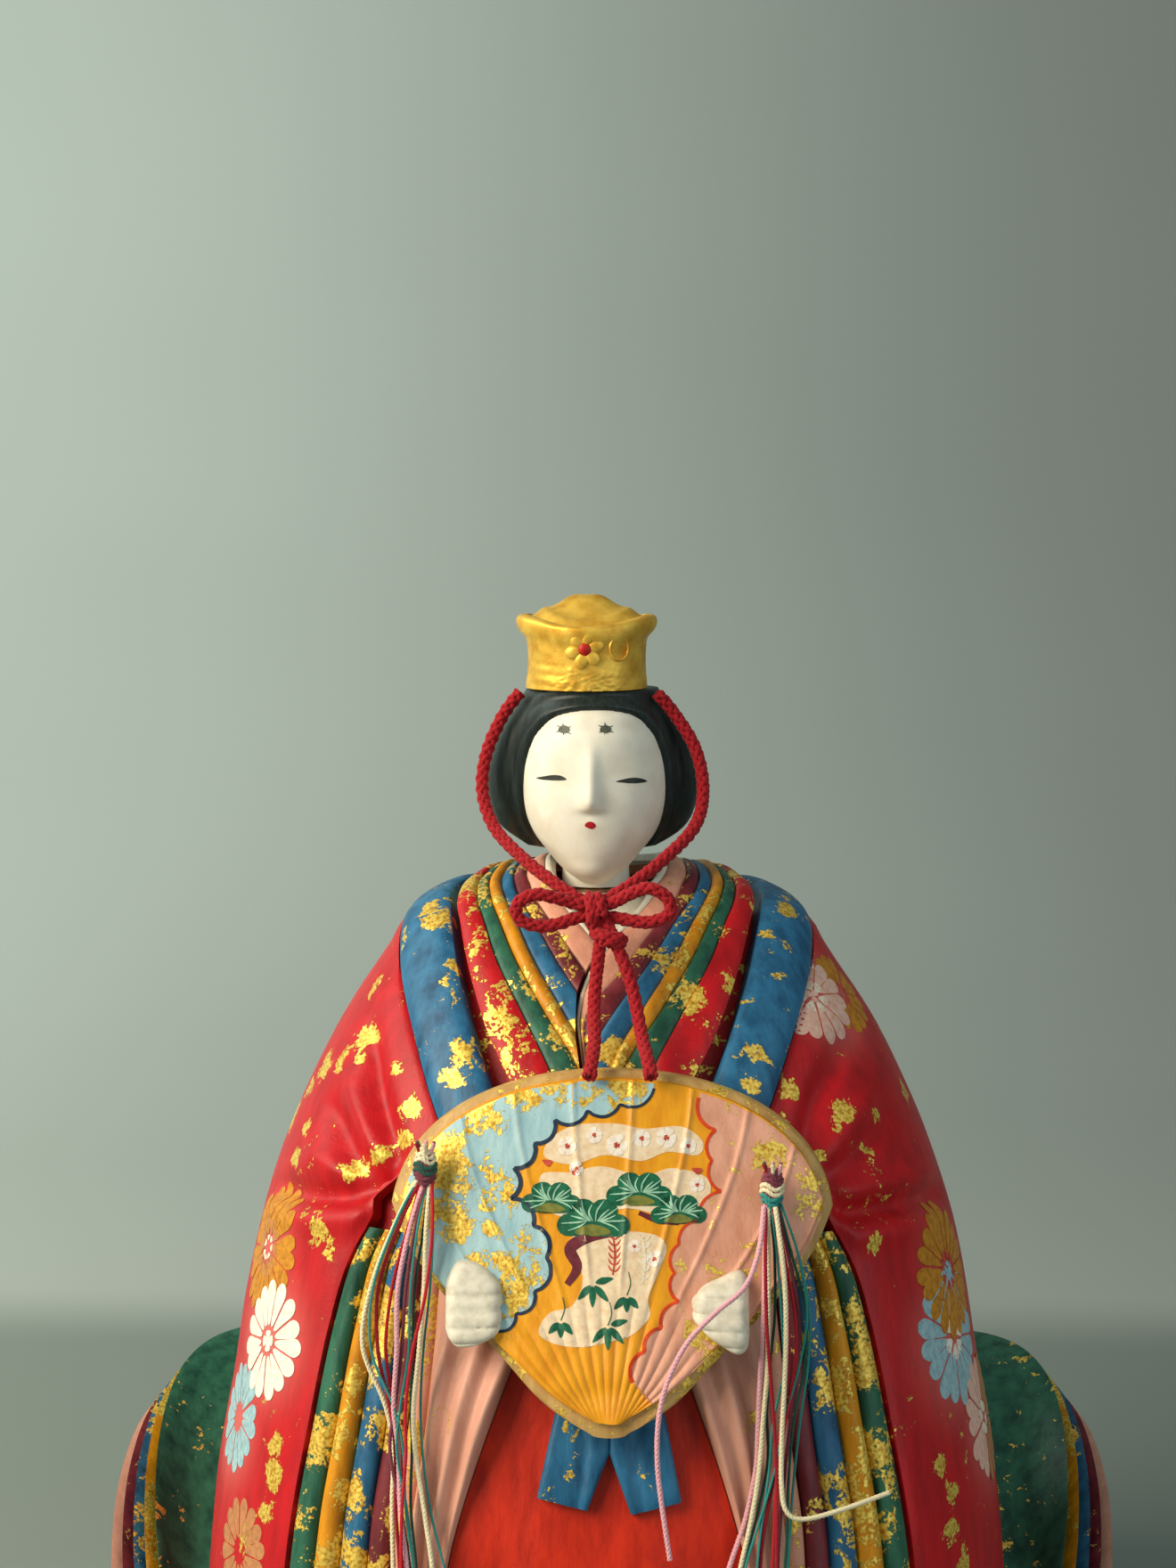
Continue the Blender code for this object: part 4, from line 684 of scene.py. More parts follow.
def makeTasselKnots():
    look = tasselKnot
    for word, wraps in (("left", ("mauve", "pine", "cream")), ("right", ("teal", "cream", "mauve"))):
        centre = Vector(knotPlaces[word]) * mm
        body = f"tassel_{word}"
        for part, colour in enumerate(wraps):
            places = []
            for k in range(look["steps"] + 1):
                share = part / len(wraps) + k / look["steps"] / len(wraps)
                angle = tau * look["turns"] * share + 0.7 * sin(5 * share + part)
                swell = sin(pi * (0.16 + 0.7 * share))
                height = (share - 0.5) * look["height"] + 0.35 * mm * sin(3 * angle + part)
                places.append(centre + Vector((look["width"] * swell * cos(angle) * 0.8,
                                               -look["depth"] * swell * sin(angle) * 0.8, height)))
            plyPiece(f"knotWrap_{word}_{part}", places, colour, look["wrap"], part, body, () if part else (body,))
        deselectAll()
        bpy.ops.mesh.primitive_uv_sphere_add(segments=20, ring_count=12, radius=1)
        core = named(f"knotCore_{word}")
        core.data.transform(Matrix.Translation(centre) @ Matrix.Diagonal(
            (look["width"] * 0.85, look["depth"] * 0.85, look["height"] * 0.5, 1)))
        dress(smoothShade(core), yarns["mauve"], body, "threads")
        for k, colour in enumerate(look["endColours"]):
            angle = tau * k / len(look["endColours"]) + 0.5
            foot = centre + Vector((0.9 * mm * cos(angle), 0.8 * mm * sin(angle), look["height"] * 0.38))
            tip = foot + Vector((0.5 * mm * cos(angle), 0.4 * mm * sin(angle), look["endLength"]))
            bend = foot.lerp(tip, 0.5) + Vector((0.1 * mm, 0, 0))
            plyPiece(f"knotEnd_{word}_{k}", [foot, bend, tip], colour, look["end"], k, body)


makeTasselKnots()
print("thread knots made")


# The outer form of the robe: one oval at each height, narrowing to the neck
form = {"height": 136 * mm, "halfWidth": 63 * mm, "front": 59.5 * mm, "back": 36.5 * mm, "power": 2.3,
        "skirtLayer": 6.5 * mm, "chestLayer": 3.4 * mm, "probe": 0.2 * mm, "gap": 0.4 * mm}
heightShares = (0, 0.147, 0.279, 0.404, 0.515, 0.588, 0.662, 0.721, 0.787,
                0.831, 0.868, 0.890, 0.915, 0.934, 0.949, 0.963, 0.978, 1)
widthShares = (1, 0.992, 0.968, 0.924, 0.884, 0.849, 0.797, 0.743, 0.673,
               0.616, 0.563, 0.532, 0.500, 0.444, 0.381, 0.302, 0.238, 0.143)
frontShares = (1, 0.988, 0.950, 0.882, 0.807, 0.760, 0.706, 0.652, 0.578,
               0.514, 0.450, 0.408, 0.353, 0.308, 0.269, 0.235, 0.218, 0.168)
backShares = (1, 0.959, 0.890, 0.808, 0.740, 0.690, 0.636, 0.575, 0.515,
              0.474, 0.438, 0.416, 0.389, 0.356, 0.315, 0.260, 0.192, 0.123)
backSeam = radians(118)
gap = form["gap"]


@lru_cache(maxsize=None)
def formSizes(height):
    share = height / form["height"]
    return (form["halfWidth"] * smooth(heightShares, widthShares, share),
            form["front"] * smooth(heightShares, frontShares, share),
            form["back"] * smooth(heightShares, backShares, share))


def formPoint(angle, height):
    width, front, back = formSizes(height)
    depth = front if cos(angle) > 0 else back
    power = form["power"]
    radius = ((abs(sin(angle)) / width) ** power + (abs(cos(angle)) / depth) ** power) ** (-1 / power)
    return around(angle, radius, height)


def formLevel(x, y, height):
    width, front, back = formSizes(height)
    return (abs(x) / width) ** form["power"] + (abs(y) / (front if y < 0 else back)) ** form["power"]


def formHeight(x, y):
    low = 0
    high = form["height"]
    for _ in range(26):
        middle = (low + high) / 2
        if formLevel(x, y, middle) < 1:
            low = middle
        else:
            high = middle
    return low


def formNormal(point):
    x, y, z = point
    probe = form["probe"]
    upper = min(z + probe, form["height"])
    lower = max(z - probe, 0)
    slope = 0 if z <= probe else (formLevel(x, y, upper) - formLevel(x, y, lower)) / (upper - lower)
    return Vector(((formLevel(x + probe, y, z) - formLevel(x - probe, y, z)) / (2 * probe),
                   (formLevel(x, y + probe, z) - formLevel(x, y - probe, z)) / (2 * probe), slope)).normalized()


def raised(point, rise):
    return point + formNormal(point) * rise


def planPoint(x, y, rise):
    return raised(Vector((x, y, formHeight(x, y))), rise)


@lru_cache(maxsize=None)
def formAngle(x, height):
    low = 0
    high = pi / 2
    for _ in range(26):
        middle = (low + high) / 2
        if formPoint(middle, height).x < abs(x):
            low = middle
        else:
            high = middle
    return copysign(low, x)


def layerDepth(height):
    part = ease(0.54, 0.62, height / form["height"])
    return form["skirtLayer"] + (form["chestLayer"] - form["skirtLayer"]) * part


# Painted clay with gold leaf. The leaf follows an attribute that each piece carries.
leafLook = {"bright": "#F4D564", "deep": "#C08A22", "grain": 2.6 * mm, "crumb": 0.5 * mm, "crumbShare": 0.22,
            "amountShare": 0.46, "start": 0.875, "edge": 0.02, "metal": 0.4, "roughness": 0.37}
clayLook = {"roughness": 0.43, "brush": 2.4 * mm, "stretch": (1, 1, 0.16), "pit": 0.55 * mm}
clayColours = {
    "red": ("#C2121C", "#A50F18"), "blue": ("#2F7099", "#17486B"), "green": ("#2F6A52", "#143F34"),
    "yellow": ("#DE9314", "#B06F0C"), "maroon": ("#7C2C34", "#571A22"), "salmon": ("#E2A086", "#CC8A71"),
    "pink": ("#D9A18C", "#CB907B"), "white": ("#E6DFCC", "#CDC4AE"), "vermilion": ("#CF2E14", "#A61E0C")}


def leafMask(tree, coords):
    # Ragged flakes: fine noise that passes a threshold where the piece's leaf value is high
    look = leafLook
    flakes = noiseOf(tree, coords, look["grain"], 9.0, Roughness=0.68, Distortion=0.5)
    crumbs = noiseOf(tree, coords, look["crumb"], 2.0)
    both = reckon(tree, "MULTIPLY_ADD", {1: look["crumbShare"]}, {0: crumbs, 2: flakes})
    total = reckon(tree, "MULTIPLY_ADD", {1: look["amountShare"]}, {0: attribute(tree, "leaf"), 2: both})
    return spread(tree, total, look["start"], look["start"] + look["edge"])


def paintedClay(name, colours, haze=None):
    # Satin mineral paint on cast clay: brush streaks, small pits, gold leaf laid on top
    look = clayLook
    material, tree, shader, coords = newMaterial(name, look["roughness"])
    bright, deep = colours
    streaks = noiseOf(tree, stretched(tree, coords, look["stretch"]), look["brush"], 5.0, Roughness=0.6)
    under = blend(tree, deep, bright, spread(tree, streaks, 0.3, 0.62))
    if haze:
        under = blend(tree, under, haze, attribute(tree, "haze"))
    mask = leafMask(tree, coords)
    grain = spread(tree, noiseOf(tree, coords, leafLook["crumb"], 4.0), 0.36, 0.6)
    gold = blend(tree, leafLook["deep"], leafLook["bright"], grain)
    bump = bumpOf(tree, noiseOf(tree, coords, look["pit"], 3.0), 0.25, 0.12 * mm)
    bump = bumpOf(tree, streaks, 0.35, 0.5 * mm, bump)
    feed(tree, shader, {"Base Color": blend(tree, under, gold, mask),
                        "Metallic": reckon(tree, "MULTIPLY", {1: leafLook["metal"]}, {0: mask}),
                        "Roughness": spread(tree, mask, 0, 1, look["roughness"], leafLook["roughness"]),
                        "Normal": bumpOf(tree, mask, 0.8, 0.08 * mm, bump)})
    return material


def plainPaint(name, colours, roughness, size=1.2 * mm, strength=0.3):
    # Thick matt paint that shows its brush strokes
    material, tree, shader, coords = newMaterial(name, roughness)
    cloudy = noiseOf(tree, coords, size, 5.0, Roughness=0.55)
    feed(tree, shader, {"Base Color": blend(tree, colours[1], colours[0], spread(tree, cloudy, 0.32, 0.6)),
                        "Normal": bumpOf(tree, cloudy, strength, 0.1 * mm)})
    return material


clay = {name: paintedClay(f"paintedClay_{name}", colours) for name, colours in clayColours.items()}
clay["red"] = paintedClay("paintedClay_red_hazed", clayColours["red"], haze="#E58E84")
print("materials made")


def layLeaf(piece, spots=(), base=0.0, clump=14 * mm, haze=()):
    # How much gold lies at each point: a general dusting in clumps, and patches at given places
    amounts = []
    mists = []
    for vertex in piece.data.vertices:
        value = base * (0.62 + 0.75 * noise.noise(vertex.co / clump))
        for place, size, strength in spots:
            away = (vertex.co - Vector(place) * mm).length / (size * mm)
            if away < 2.2:
                value = max(value, strength * exp(-away * away))
        amounts.append(min(max(value, 0), 1))
        mist = 0
        for place, size, strength in haze:
            away = (vertex.co - Vector(place) * mm).length / (size * mm)
            if away < 2:
                mist = max(mist, 0.7 * strength * exp(-away ** 3))
        mists.append(mist)
    piece.data.attributes.new("leaf", "FLOAT", "POINT").data.foreach_set("value", amounts)
    if haze:
        piece.data.attributes.new("haze", "FLOAT", "POINT").data.foreach_set("value", mists)


def slabPiece(name, columns, rows, place, under):
    # A grid thickened into a slab whose back is laid on its own surface
    deselectAll()
    bpy.ops.mesh.primitive_grid_add(x_subdivisions=columns, y_subdivisions=rows, size=1)
    piece = named(name)
    shares = [(vertex.co.x + 0.5, vertex.co.y + 0.5) for vertex in piece.data.vertices]
    addWall(piece, 1 * mm)
    for k, (across, up) in enumerate(shares):
        piece.data.vertices[k].co = place(across, up)
        piece.data.vertices[len(shares) + k].co = under(across, up)
    return facesOut(piece, 50)


# Paint laid on thickly: thin closed shells, cut to flat outlines and laid on a surface
paintThick = 0.13 * mm


@lru_cache(maxsize=None)
def surfaceTree(piece):
    shape = bmesh.new()
    shape.from_mesh(piece.data)
    tree = BVHTree.FromBMesh(shape)
    shape.free()
    return tree


def closedCurve(places, samples=6):
    # A smooth closed outline through flat places given in millimetres
    places = inMetres(places)
    count = len(places)
    return [splinePoint(*(places[(k + shift) % count] for shift in (-1, 0, 1, 2)), part / samples)
            for k in range(count) for part in range(samples)]


def brushStroke(places, widths, step=0.25 * mm):
    # Both edges of a stroke along flat places; the widths are those of its start, middle and end
    line = curveThrough(inMetres(places), step)
    edges = ([], [])
    for k, place in enumerate(line):
        along = (line[min(k + 1, len(line) - 1)] - line[max(k - 1, 0)]).normalized()
        side = Vector((-along.y, along.x)) * smooth((0, 0.5, 1), widths, k / (len(line) - 1)) * mm / 2
        edges[0].append(place + side)
        edges[1].append(place - side)
    return edges


def paintShell(name, outlines, strokes, lay, grain, level, own=None):
    # Outlines are filled, strokes are strips; lay puts a flat place on the surface at a level above it.
    # The places inside an outline are a grid, or the carrier's own points
    shape = bmesh.new()

    def addFaces(places, faces):
        laid = {}
        for face in faces:
            corners = [places[k] for k in face]
            if sum(a.cross(b) for a, b in zip(corners, corners[1:] + corners[:1])) < 0:
                face = list(reversed(face))
            for k in face:
                if k not in laid:
                    laid[k] = shape.verts.new(lay(places[k], level))
            shape.faces.new([laid[k] for k in face])

    for outline in outlines:
        low = Vector(min(place[k] for place in outline) for k in (0, 1))
        high = Vector(max(place[k] for place in outline) for k in (0, 1))
        if own:
            inner = [place for place in own if low.x < place.x < high.x and low.y < place.y < high.y]
        else:
            inner = [low + Vector((a + 0.5, b + 0.5)) * grain for a in range(int((high.x - low.x) / grain))
                     for b in range(int((high.y - low.y) / grain))]
        ends = list(range(len(outline)))
        found = geometry.delaunay_2d_cdt(outline + inner, list(zip(ends, ends[1:] + ends[:1])), [ends], 1, 1e-8)
        addFaces(found[0], found[2])
    for first, second in strokes:
        faces = [(k, k + 1, len(first) + k + 1, len(first) + k) for k in range(len(first) - 1)]
        addFaces(first + second, faces)
    data = bpy.data.meshes.new(name)
    shape.to_mesh(data)
    shape.free()
    piece = linked(name, data)
    addWall(piece, paintThick)
    return smoothShade(piece, 50)


def layerOn(piece, centre, right, out):
    # How flat places go onto a piece, seen along out: right and out turn them into the piece's own space
    tree = surfaceTree(piece)
    up = out.cross(right)

    def lay(place, level):
        start = centre + right * place.x + up * place.y + out * 15 * mm
        spot, normal = tree.ray_cast(start, -out, 40 * mm)[:2]
        if spot is None:
            spot, normal = tree.find_nearest(start - out * 15 * mm)[:2]
        return spot + (normal if normal.dot(out) > 0 else out) * level
    return lay


def petals(centre, near, far, count, turn=0.0, full=0.84, part=1.0):
    # Long petals round a middle, narrow at the foot and round at the tip, none quite like the next
    outlines = []
    for k in range(round(count * part)):
        uneven = noise.noise(Vector((k * 1.7, turn * 3 + centre[0], centre[1])))
        angle = turn + tau * (k + 0.22 * uneven) / count
        reach = far * (1 + 0.11 * uneven)
        half = far * sin(pi / count) * full
        along = Vector((cos(angle), sin(angle)))
        side = Vector((-along.y, along.x))
        rows = ((near, 0.22), (between(near, reach, 0.4), 0.62), (between(near, reach, 0.78), 0.92),
                (reach, 0.42))
        outlines.append(closedCurve(
            [Vector(centre) + along * row[0] - side * half * row[1] for row in rows]
            + [Vector(centre) + along * row[0] + side * half * row[1] for row in reversed(rows)], 4))
    return outlines


# The cast core with the plain back of the robe, open below and bored for the neck's socket
coreLook = {"wall": 5 * mm, "plate": 3 * mm, "ledge": 2 * mm, "top": 129.5 * mm, "bore": 4.9 * mm,
            "boreLow": 112.1 * mm, "neck": (-1.7 * mm, -4 * mm), "seam": radians(0.7)}


def backFold(point):
    # Soft upright folds down the plain back
    swing = 5.2 * atan2(point.x, point.y)
    fade = ease(0, 0.25, point.z / form["height"]) * ease(0.97, 0.75, point.z / form["height"])
    return 0.45 * mm * fade * cos(swing * 2.1 + 0.5 * sin(point.z / (22 * mm)))


def coreRing(share, fullBack, frontSteps=64, backSteps=56):
    height = form["height"] * share
    seam = coreLook["seam"]
    angles = [backSeam * (2 * k / frontSteps - 1) for k in range(frontSteps + 1)]
    turn = tau - 2 * (backSeam + seam)
    angles += [backSeam + seam + turn * k / backSteps for k in range(backSteps + 1)]
    ring = []
    for angle in angles:
        point = formPoint(angle, height)
        depth = layerDepth(height)
        if angle > backSeam and fullBack:
            depth = -backFold(point) * max(sin(pi * (angle - backSeam - seam) / turn), 0) ** 0.5
        ring.append(raised(point, -depth))
    return ring


def shrunk(ring, depth, height=None):
    middle = middleOf(ring)
    result = []
    for point in ring:
        away = Vector((point.x - middle.x, point.y - middle.y, 0)).normalized()
        moved = point - away * depth
        moved.z = point.z if height is None else height
        result.append(moved)
    return result


def makeCore():
    look = coreLook
    rings = [shrunk(coreRing(share, False), look["wall"])
             for share in (0.72, 0.64, 0.55, 0.45, 0.35, 0.25, 0.15)]
    foot = coreRing(0, False)
    level = look["plate"] + gap
    rings += [shrunk(foot, look["wall"], level), shrunk(foot, look["wall"] - look["ledge"], level),
              shrunk(foot, look["wall"] - look["ledge"])]
    rings += [coreRing(0.905 * k / 56, True) for k in range(57)]
    rings += [coreRing(share, False) for share in (0.912, 0.93, 0.945, 0.96, 0.978)]
    for point in rings[-1]:
        point.z = look["top"]
    piece = ringPiece("robeBody", rings)
    deselectAll()
    bpy.ops.mesh.primitive_cylinder_add(vertices=64, radius=look["bore"], depth=30 * mm,
                                        location=(*look["neck"], look["boreLow"] + 15 * mm))
    cutter = bpy.context.object
    hole = piece.modifiers.new("socket", "BOOLEAN")
    hole.object = cutter
    applyAll(piece)
    bpy.data.objects.remove(cutter, do_unlink=True)
    smoothShade(piece)
    layLeaf(piece, base=0.5, clump=12 * mm)
    dress(piece, clay["red"], "robe", "clay_red", "robe_body")


makeCore()
print("core made")

# Sleeves: the red outer layer, with folds that run to the fan's ends
edgeLevels = (0, 0.147, 0.279, 0.331, 0.412, 0.515, 0.581, 0.632)
edgeOuter = (0.770, 0.749, 0.724, 0.708, 0.675, 0.629, 0.586, 0.527)
edgeInner = (0.476, 0.463, 0.444, 0.438, 0.413, 0.390, 0.375, 0.346)
strapOuter = ((-0.363, -0.592), (-0.402, -0.524), (-0.440, -0.430), (-0.475, -0.310),
              (-0.492, -0.205), (-0.495, -0.085), (-0.470, 0.034), (-0.413, 0.126))
strapInner = ((-0.226, -0.612), (-0.268, -0.550), (-0.310, -0.462), (-0.344, -0.353),
              (-0.367, -0.235), (-0.374, -0.118), (-0.360, -0.017), (-0.310, 0.090))
sleeveLook = {"columns": 150, "rows": 170, "edgeRound": 0.5 * mm, "edgeWidth": 1.6 * mm, "topShare": 0.865,
              "fanCorner": 0.65, "strapFoot": 0.715}
# Each fold: its places in millimetres, its width and its depth; a depth below 0 is a ridge
sleeveFolds = {
    "left": [
        (((-35.5, -15, 113), (-34.4, -21.3, 108.2), (-33.6, -25.4, 104.1), (-32.1, -29.5, 99.6), (-30, -33.7, 94.3)),
         1.9, 1.5),
        (((-42.5, -18, 99.6), (-40.3, -22.5, 98.2), (-38.4, -26.5, 95.6), (-36, -30.7, 92.4), (-31, -34, 90.5)),
         2.2, 1.8),
        (((-54, -6, 84.2), (-49.9, -14.8, 85), (-46.4, -22.1, 86), (-42.8, -26.9, 86.7), (-37.9, -31.4, 87.8),
          (-32, -34.5, 89.6)), 2.0, 2.2),
        (((-38.6, -19, 105), (-36.6, -24.2, 101), (-34.4, -29, 97), (-32, -32.5, 94)), 1.8, -0.9),
        (((-53, -9, 80.5), (-48.5, -19, 81.6), (-42.6, -28, 83), (-36, -33.4, 85), (-30.6, -36.5, 86.4)), 2.3, -1.1),
        (((-46, -19, 91.5), (-42, -25, 91.6), (-37.5, -30.4, 90.8)), 1.8, -0.7),
        (((-44, -29, 75), (-42.5, -33, 62), (-44, -35, 45), (-46.5, -36.5, 25), (-47.5, -37.5, 5)), 3.0, 0.55)],
    "right": [
        (((38.5, -12, 111), (35, -21.1, 107.7), (31.1, -29.1, 101.6), (29.1, -34.6, 93.3)), 2.0, 1.3),
        (((43.5, -18, 98.5), (41.3, -22.3, 96.6), (38.1, -27.5, 94.7), (35.1, -31.3, 92.6), (29.7, -35.8, 90.1)),
         1.7, 1.1),
        (((54.5, -3, 83.8), (51.8, -11, 84.4), (49.2, -16.8, 84.9), (43.5, -26.4, 85.9), (36.7, -32.9, 86.3),
          (30.9, -35.8, 88.4)), 1.9, 1.9),
        (((52, -8, 87.6), (47, -19.5, 88.6), (42.6, -26.1, 88.7), (35.7, -32.6, 88.9)), 1.7, -0.8),
        (((41, -19, 101.5), (37, -25.5, 98.6), (33, -31, 95)), 1.9, -0.7),
        (((51, -15.5, 81.2), (44, -27.6, 82.3), (37, -33.8, 83.4), (31.4, -36.6, 85.6)), 2.2, -0.9),
        (((43, -30, 73), (42.5, -33.4, 60), (44.5, -35, 44), (47, -36.5, 25), (48, -37.5, 5)), 3.0, 0.5)]}


def foldRise(point, folds):
    rise = 0
    for places, width, depth in folds:
        best = 9
        where = 0
        for k in range(len(places) - 1):
            a = places[k]
            run = places[k + 1] - a
            part = min(max((point - a).dot(run) / run.length_squared, 0), 1)
            away = (point - a - run * part).length
            if away < best:
                best = away
                where = (k + part) / (len(places) - 1)
        if best < 3.5 * width:
            fade = ease(-0.05, 0.4, where)
            rise -= depth * fade * exp(-(best / width) ** 2)
    return rise


for word, folds in sleeveFolds.items():
    sleeveFolds[word] = [(inMetres(places), width * mm, depth * mm) for places, width, depth in folds]


def edgeX(share, level):
    outer = smooth(edgeLevels, edgeOuter, level)
    inner = smooth(edgeLevels, edgeInner, level)
    return form["halfWidth"] * (outer + (inner - outer) * share)


def planCurve(shares, side, count):
    places = [(side * x * form["halfWidth"], y * form["front"], 0) for x, y in shares]
    length = sum(dist(a, b) for a, b in zip(places, places[1:]))
    return curveThrough(places, length / (count - 1) * 0.9)


strapGuide = planCurve(strapOuter, 1, 200)
strapRows = []
for guidePoint in strapGuide:
    guideLevel = formHeight(guidePoint.x, guidePoint.y)
    if strapRows and guideLevel <= strapRows[-1][0]:
        break
    strapRows.append((guideLevel, abs(guidePoint.x)))


@lru_cache(maxsize=None)
def sleeveFrontX(share):
    def strapX(height):
        return smooth([row[0] for row in strapRows], [row[1] for row in strapRows], height)
    low = sleeveLook["fanCorner"]
    high = sleeveLook["strapFoot"]
    if share >= high:
        return strapX(share * form["height"]) + gap
    if share <= low:
        return edgeX(0, share) + gap / 2
    start = edgeX(0, low) + gap / 2
    end = strapX(high * form["height"]) + gap
    return start + (end - start) * (share - low) / (high - low)


def makeSleeve(word, side):
    look = sleeveLook
    band = [point for point in planCurve(strapOuter, -side, 240)
            if formHeight(point.x, point.y) > look["topShare"] * form["height"] + 1.7 * mm]
    lastShare = 0.965

    def surface(across, up):
        if up > lastShare:
            # The last rows run up to the band over the shoulder
            level = look["topShare"] * form["height"]
            start = formAngle(sleeveFrontX(look["topShare"]), level)
            foot = formPoint(side * between(start, backSeam, across), level)
            head = band[round(across * (len(band) - 1))]
            head = head + Vector((head.x, head.y, 0)).normalized() * gap
            place = foot.lerp(head, (up - lastShare) / (1 - lastShare))
            return Vector((place.x, place.y, formHeight(place.x, place.y)))
        share = look["topShare"] * up / lastShare
        height = share * form["height"]
        start = abs(formAngle(sleeveFrontX(share), height))
        return formPoint(side * (start + (backSeam - start) * across), height)

    def top(across, up):
        point = surface(across, up)
        near = across * 90 * mm
        border = exp(-near / look["edgeWidth"]) * look["edgeRound"]
        ripple = 0.25 * mm * noise.noise(point / (16 * mm))
        fade = ease(0, 0.03, across) * ease(1, 0.9, across) * ease(1, 0.9, up)
        return raised(point, foldRise(point, sleeveFolds[word]) * fade + ripple * fade - border)

    def under(across, up):
        point = surface(across, up)
        depth = layerDepth(point.z) - gap
        return raised(point, -depth + 0.3 * mm)

    piece = slabPiece(f"sleeve_{word}_red", look["columns"], look["rows"], top, under)
    layLeaf(piece, leafSpots[word], 0.33, 16 * mm, hazeSpots[word])
    dress(piece, clay["red"], "robe", "clay_red", f"sleeve_{word}")
    return piece


# Where the gold leaf lies on the sleeves: place, size and strength, and the haze round the flowers
leafSpots = {
    "left": [((-36, -19, 109), 3.4, 1), ((-37, -21, 106.5), 2.4, 0.8), ((-42.6, -12.2, 103.4), 3.6, 1),
             ((-48, -6, 94), 3.2, 1), ((-45, -17.5, 94.5), 2.6, 0.85), ((-46.4, -18.5, 90.6), 2.4, 0.9),
             ((-28.5, -31.5, 101), 2.6, 1), ((-29, -33.4, 96.5), 2.6, 1), ((-36.4, -30.5, 91.6), 3.2, 0.85),
             ((-35.6, -32.6, 88.6), 1.8, 0.9), ((-41.5, -30.6, 82.4), 3.0, 1), ((-39.4, -33, 80), 2.2, 0.8),
             ((-43.7, -27.4, 83.6), 1.8, 0.9), ((-47.6, -35, 51.4), 2.6, 0.95), ((-47.8, -36.1, 47), 2.8, 1),
             ((-49, -36.8, 41), 2.8, 0.85), ((-52.5, -33.5, 36.5), 3.2, 0.9), ((-35, -11.8, 115.4), 2.4, 0.9),
             ((-50, -36.5, 30), 3.0, 0.9), ((-53, -32, 22), 3.6, 0.8), ((-54, -26, 60), 1.4, 0.6),
             ((-39.6, -17, 105), 3, 0.8), ((-45.6, -9, 99), 2.6, 0.9), ((-32.6, -32, 94), 2.4, 0.8),
             ((-45.8, -14, 88), 2.2, 0.8), ((-43.4, -29, 77), 1.8, 0.7), ((-31, -27, 106), 1.8, 0.7)],
    "right": [((27.6, -30, 103.8), 2.4, 0.9), ((35.2, -27, 99.8), 2.8, 1), ((34, -28.5, 98), 2.0, 0.8),
              ((40.4, -22, 98.6), 1.7, 0.95), ((31.8, -32.5, 94.3), 1.7, 0.9), ((32.8, -33.2, 92), 1.2, 0.9),
              ((39.2, -26.4, 94.4), 1.9, 0.85), ((39.4, -32.6, 81.6), 2.0, 1), ((42.5, -27.1, 87), 1.7, 0.8),
              ((44.7, -23.5, 88.1), 1.2, 0.8), ((45.5, -8, 99.2), 2.6, 0.9), ((26.6, -32.9, 99.5), 1.6, 0.9),
              ((49.5, -33.7, 48.6), 2.4, 0.85), ((51.5, -32.4, 44.3), 2.6, 0.9), ((51, -34.4, 39.4), 2.8, 0.9),
              ((53.2, -32.6, 33.5), 2.8, 0.9), ((54, -30, 24), 3.4, 0.8)]}
hazeSpots = {
    "left": [((-50.5, -20, 76.9), 8.5, 0.5), ((-50, -27.2, 65), 9.5, 0.75), ((-55.5, -22.2, 50), 8.5, 0.6)],
    "right": [((33.7, -15.2, 114.7), 8, 0.7), ((51.3, -18.9, 75.6), 9, 0.35), ((52, -23.6, 63.8), 10.5, 0.6),
              ((56.2, -15, 50), 9.5, 0.75)]}
sleeves = {word: makeSleeve(word, side) for word, side in (("left", -1), ("right", 1))}
print("sleeves made")

# Chrysanthemums painted on the sleeves: middle, radius, petals, turn, share of the petals, colour, and
# the dots in the middle by colour, distance, size and number
paints = {"ochre": ("#CF8C22", "#A9691A"), "white": ("#F4ECDF", "#E6D3C4"), "paleBlue": ("#A3C4CB", "#86A9B4"),
          "rose": ("#EBC2B0", "#DDA491"), "brown": ("#C08457", "#A46B43"), "bone": ("#EFE6D0", "#DCCDB0"),
          "coral": ("#C9503A", "#A93A2C"), "navy": ("#21344D", "#16253A"),
          "vermilionLine": ("#DC4A1C", "#C23812"), "cream": ("#EDD6B6", "#DFC09A"),
          "pine": ("#17694A", "#0F4A35"), "needle": ("#A9D3B8", "#7DB396"),
          "olive": ("#7F8038", "#5F6A2E"), "plum": ("#6F2632", "#521A26"), "ink": ("#33352E", "#22241F"),
          "smudge": ("#5E6055", "#44463D"), "lip": ("#B61E2B", "#8F1220")}
brush = {name: plainPaint(f"mineralPaint_{name}", colours, 0.5, 0.9 * mm, 0.35)
         for name, colours in paints.items()}
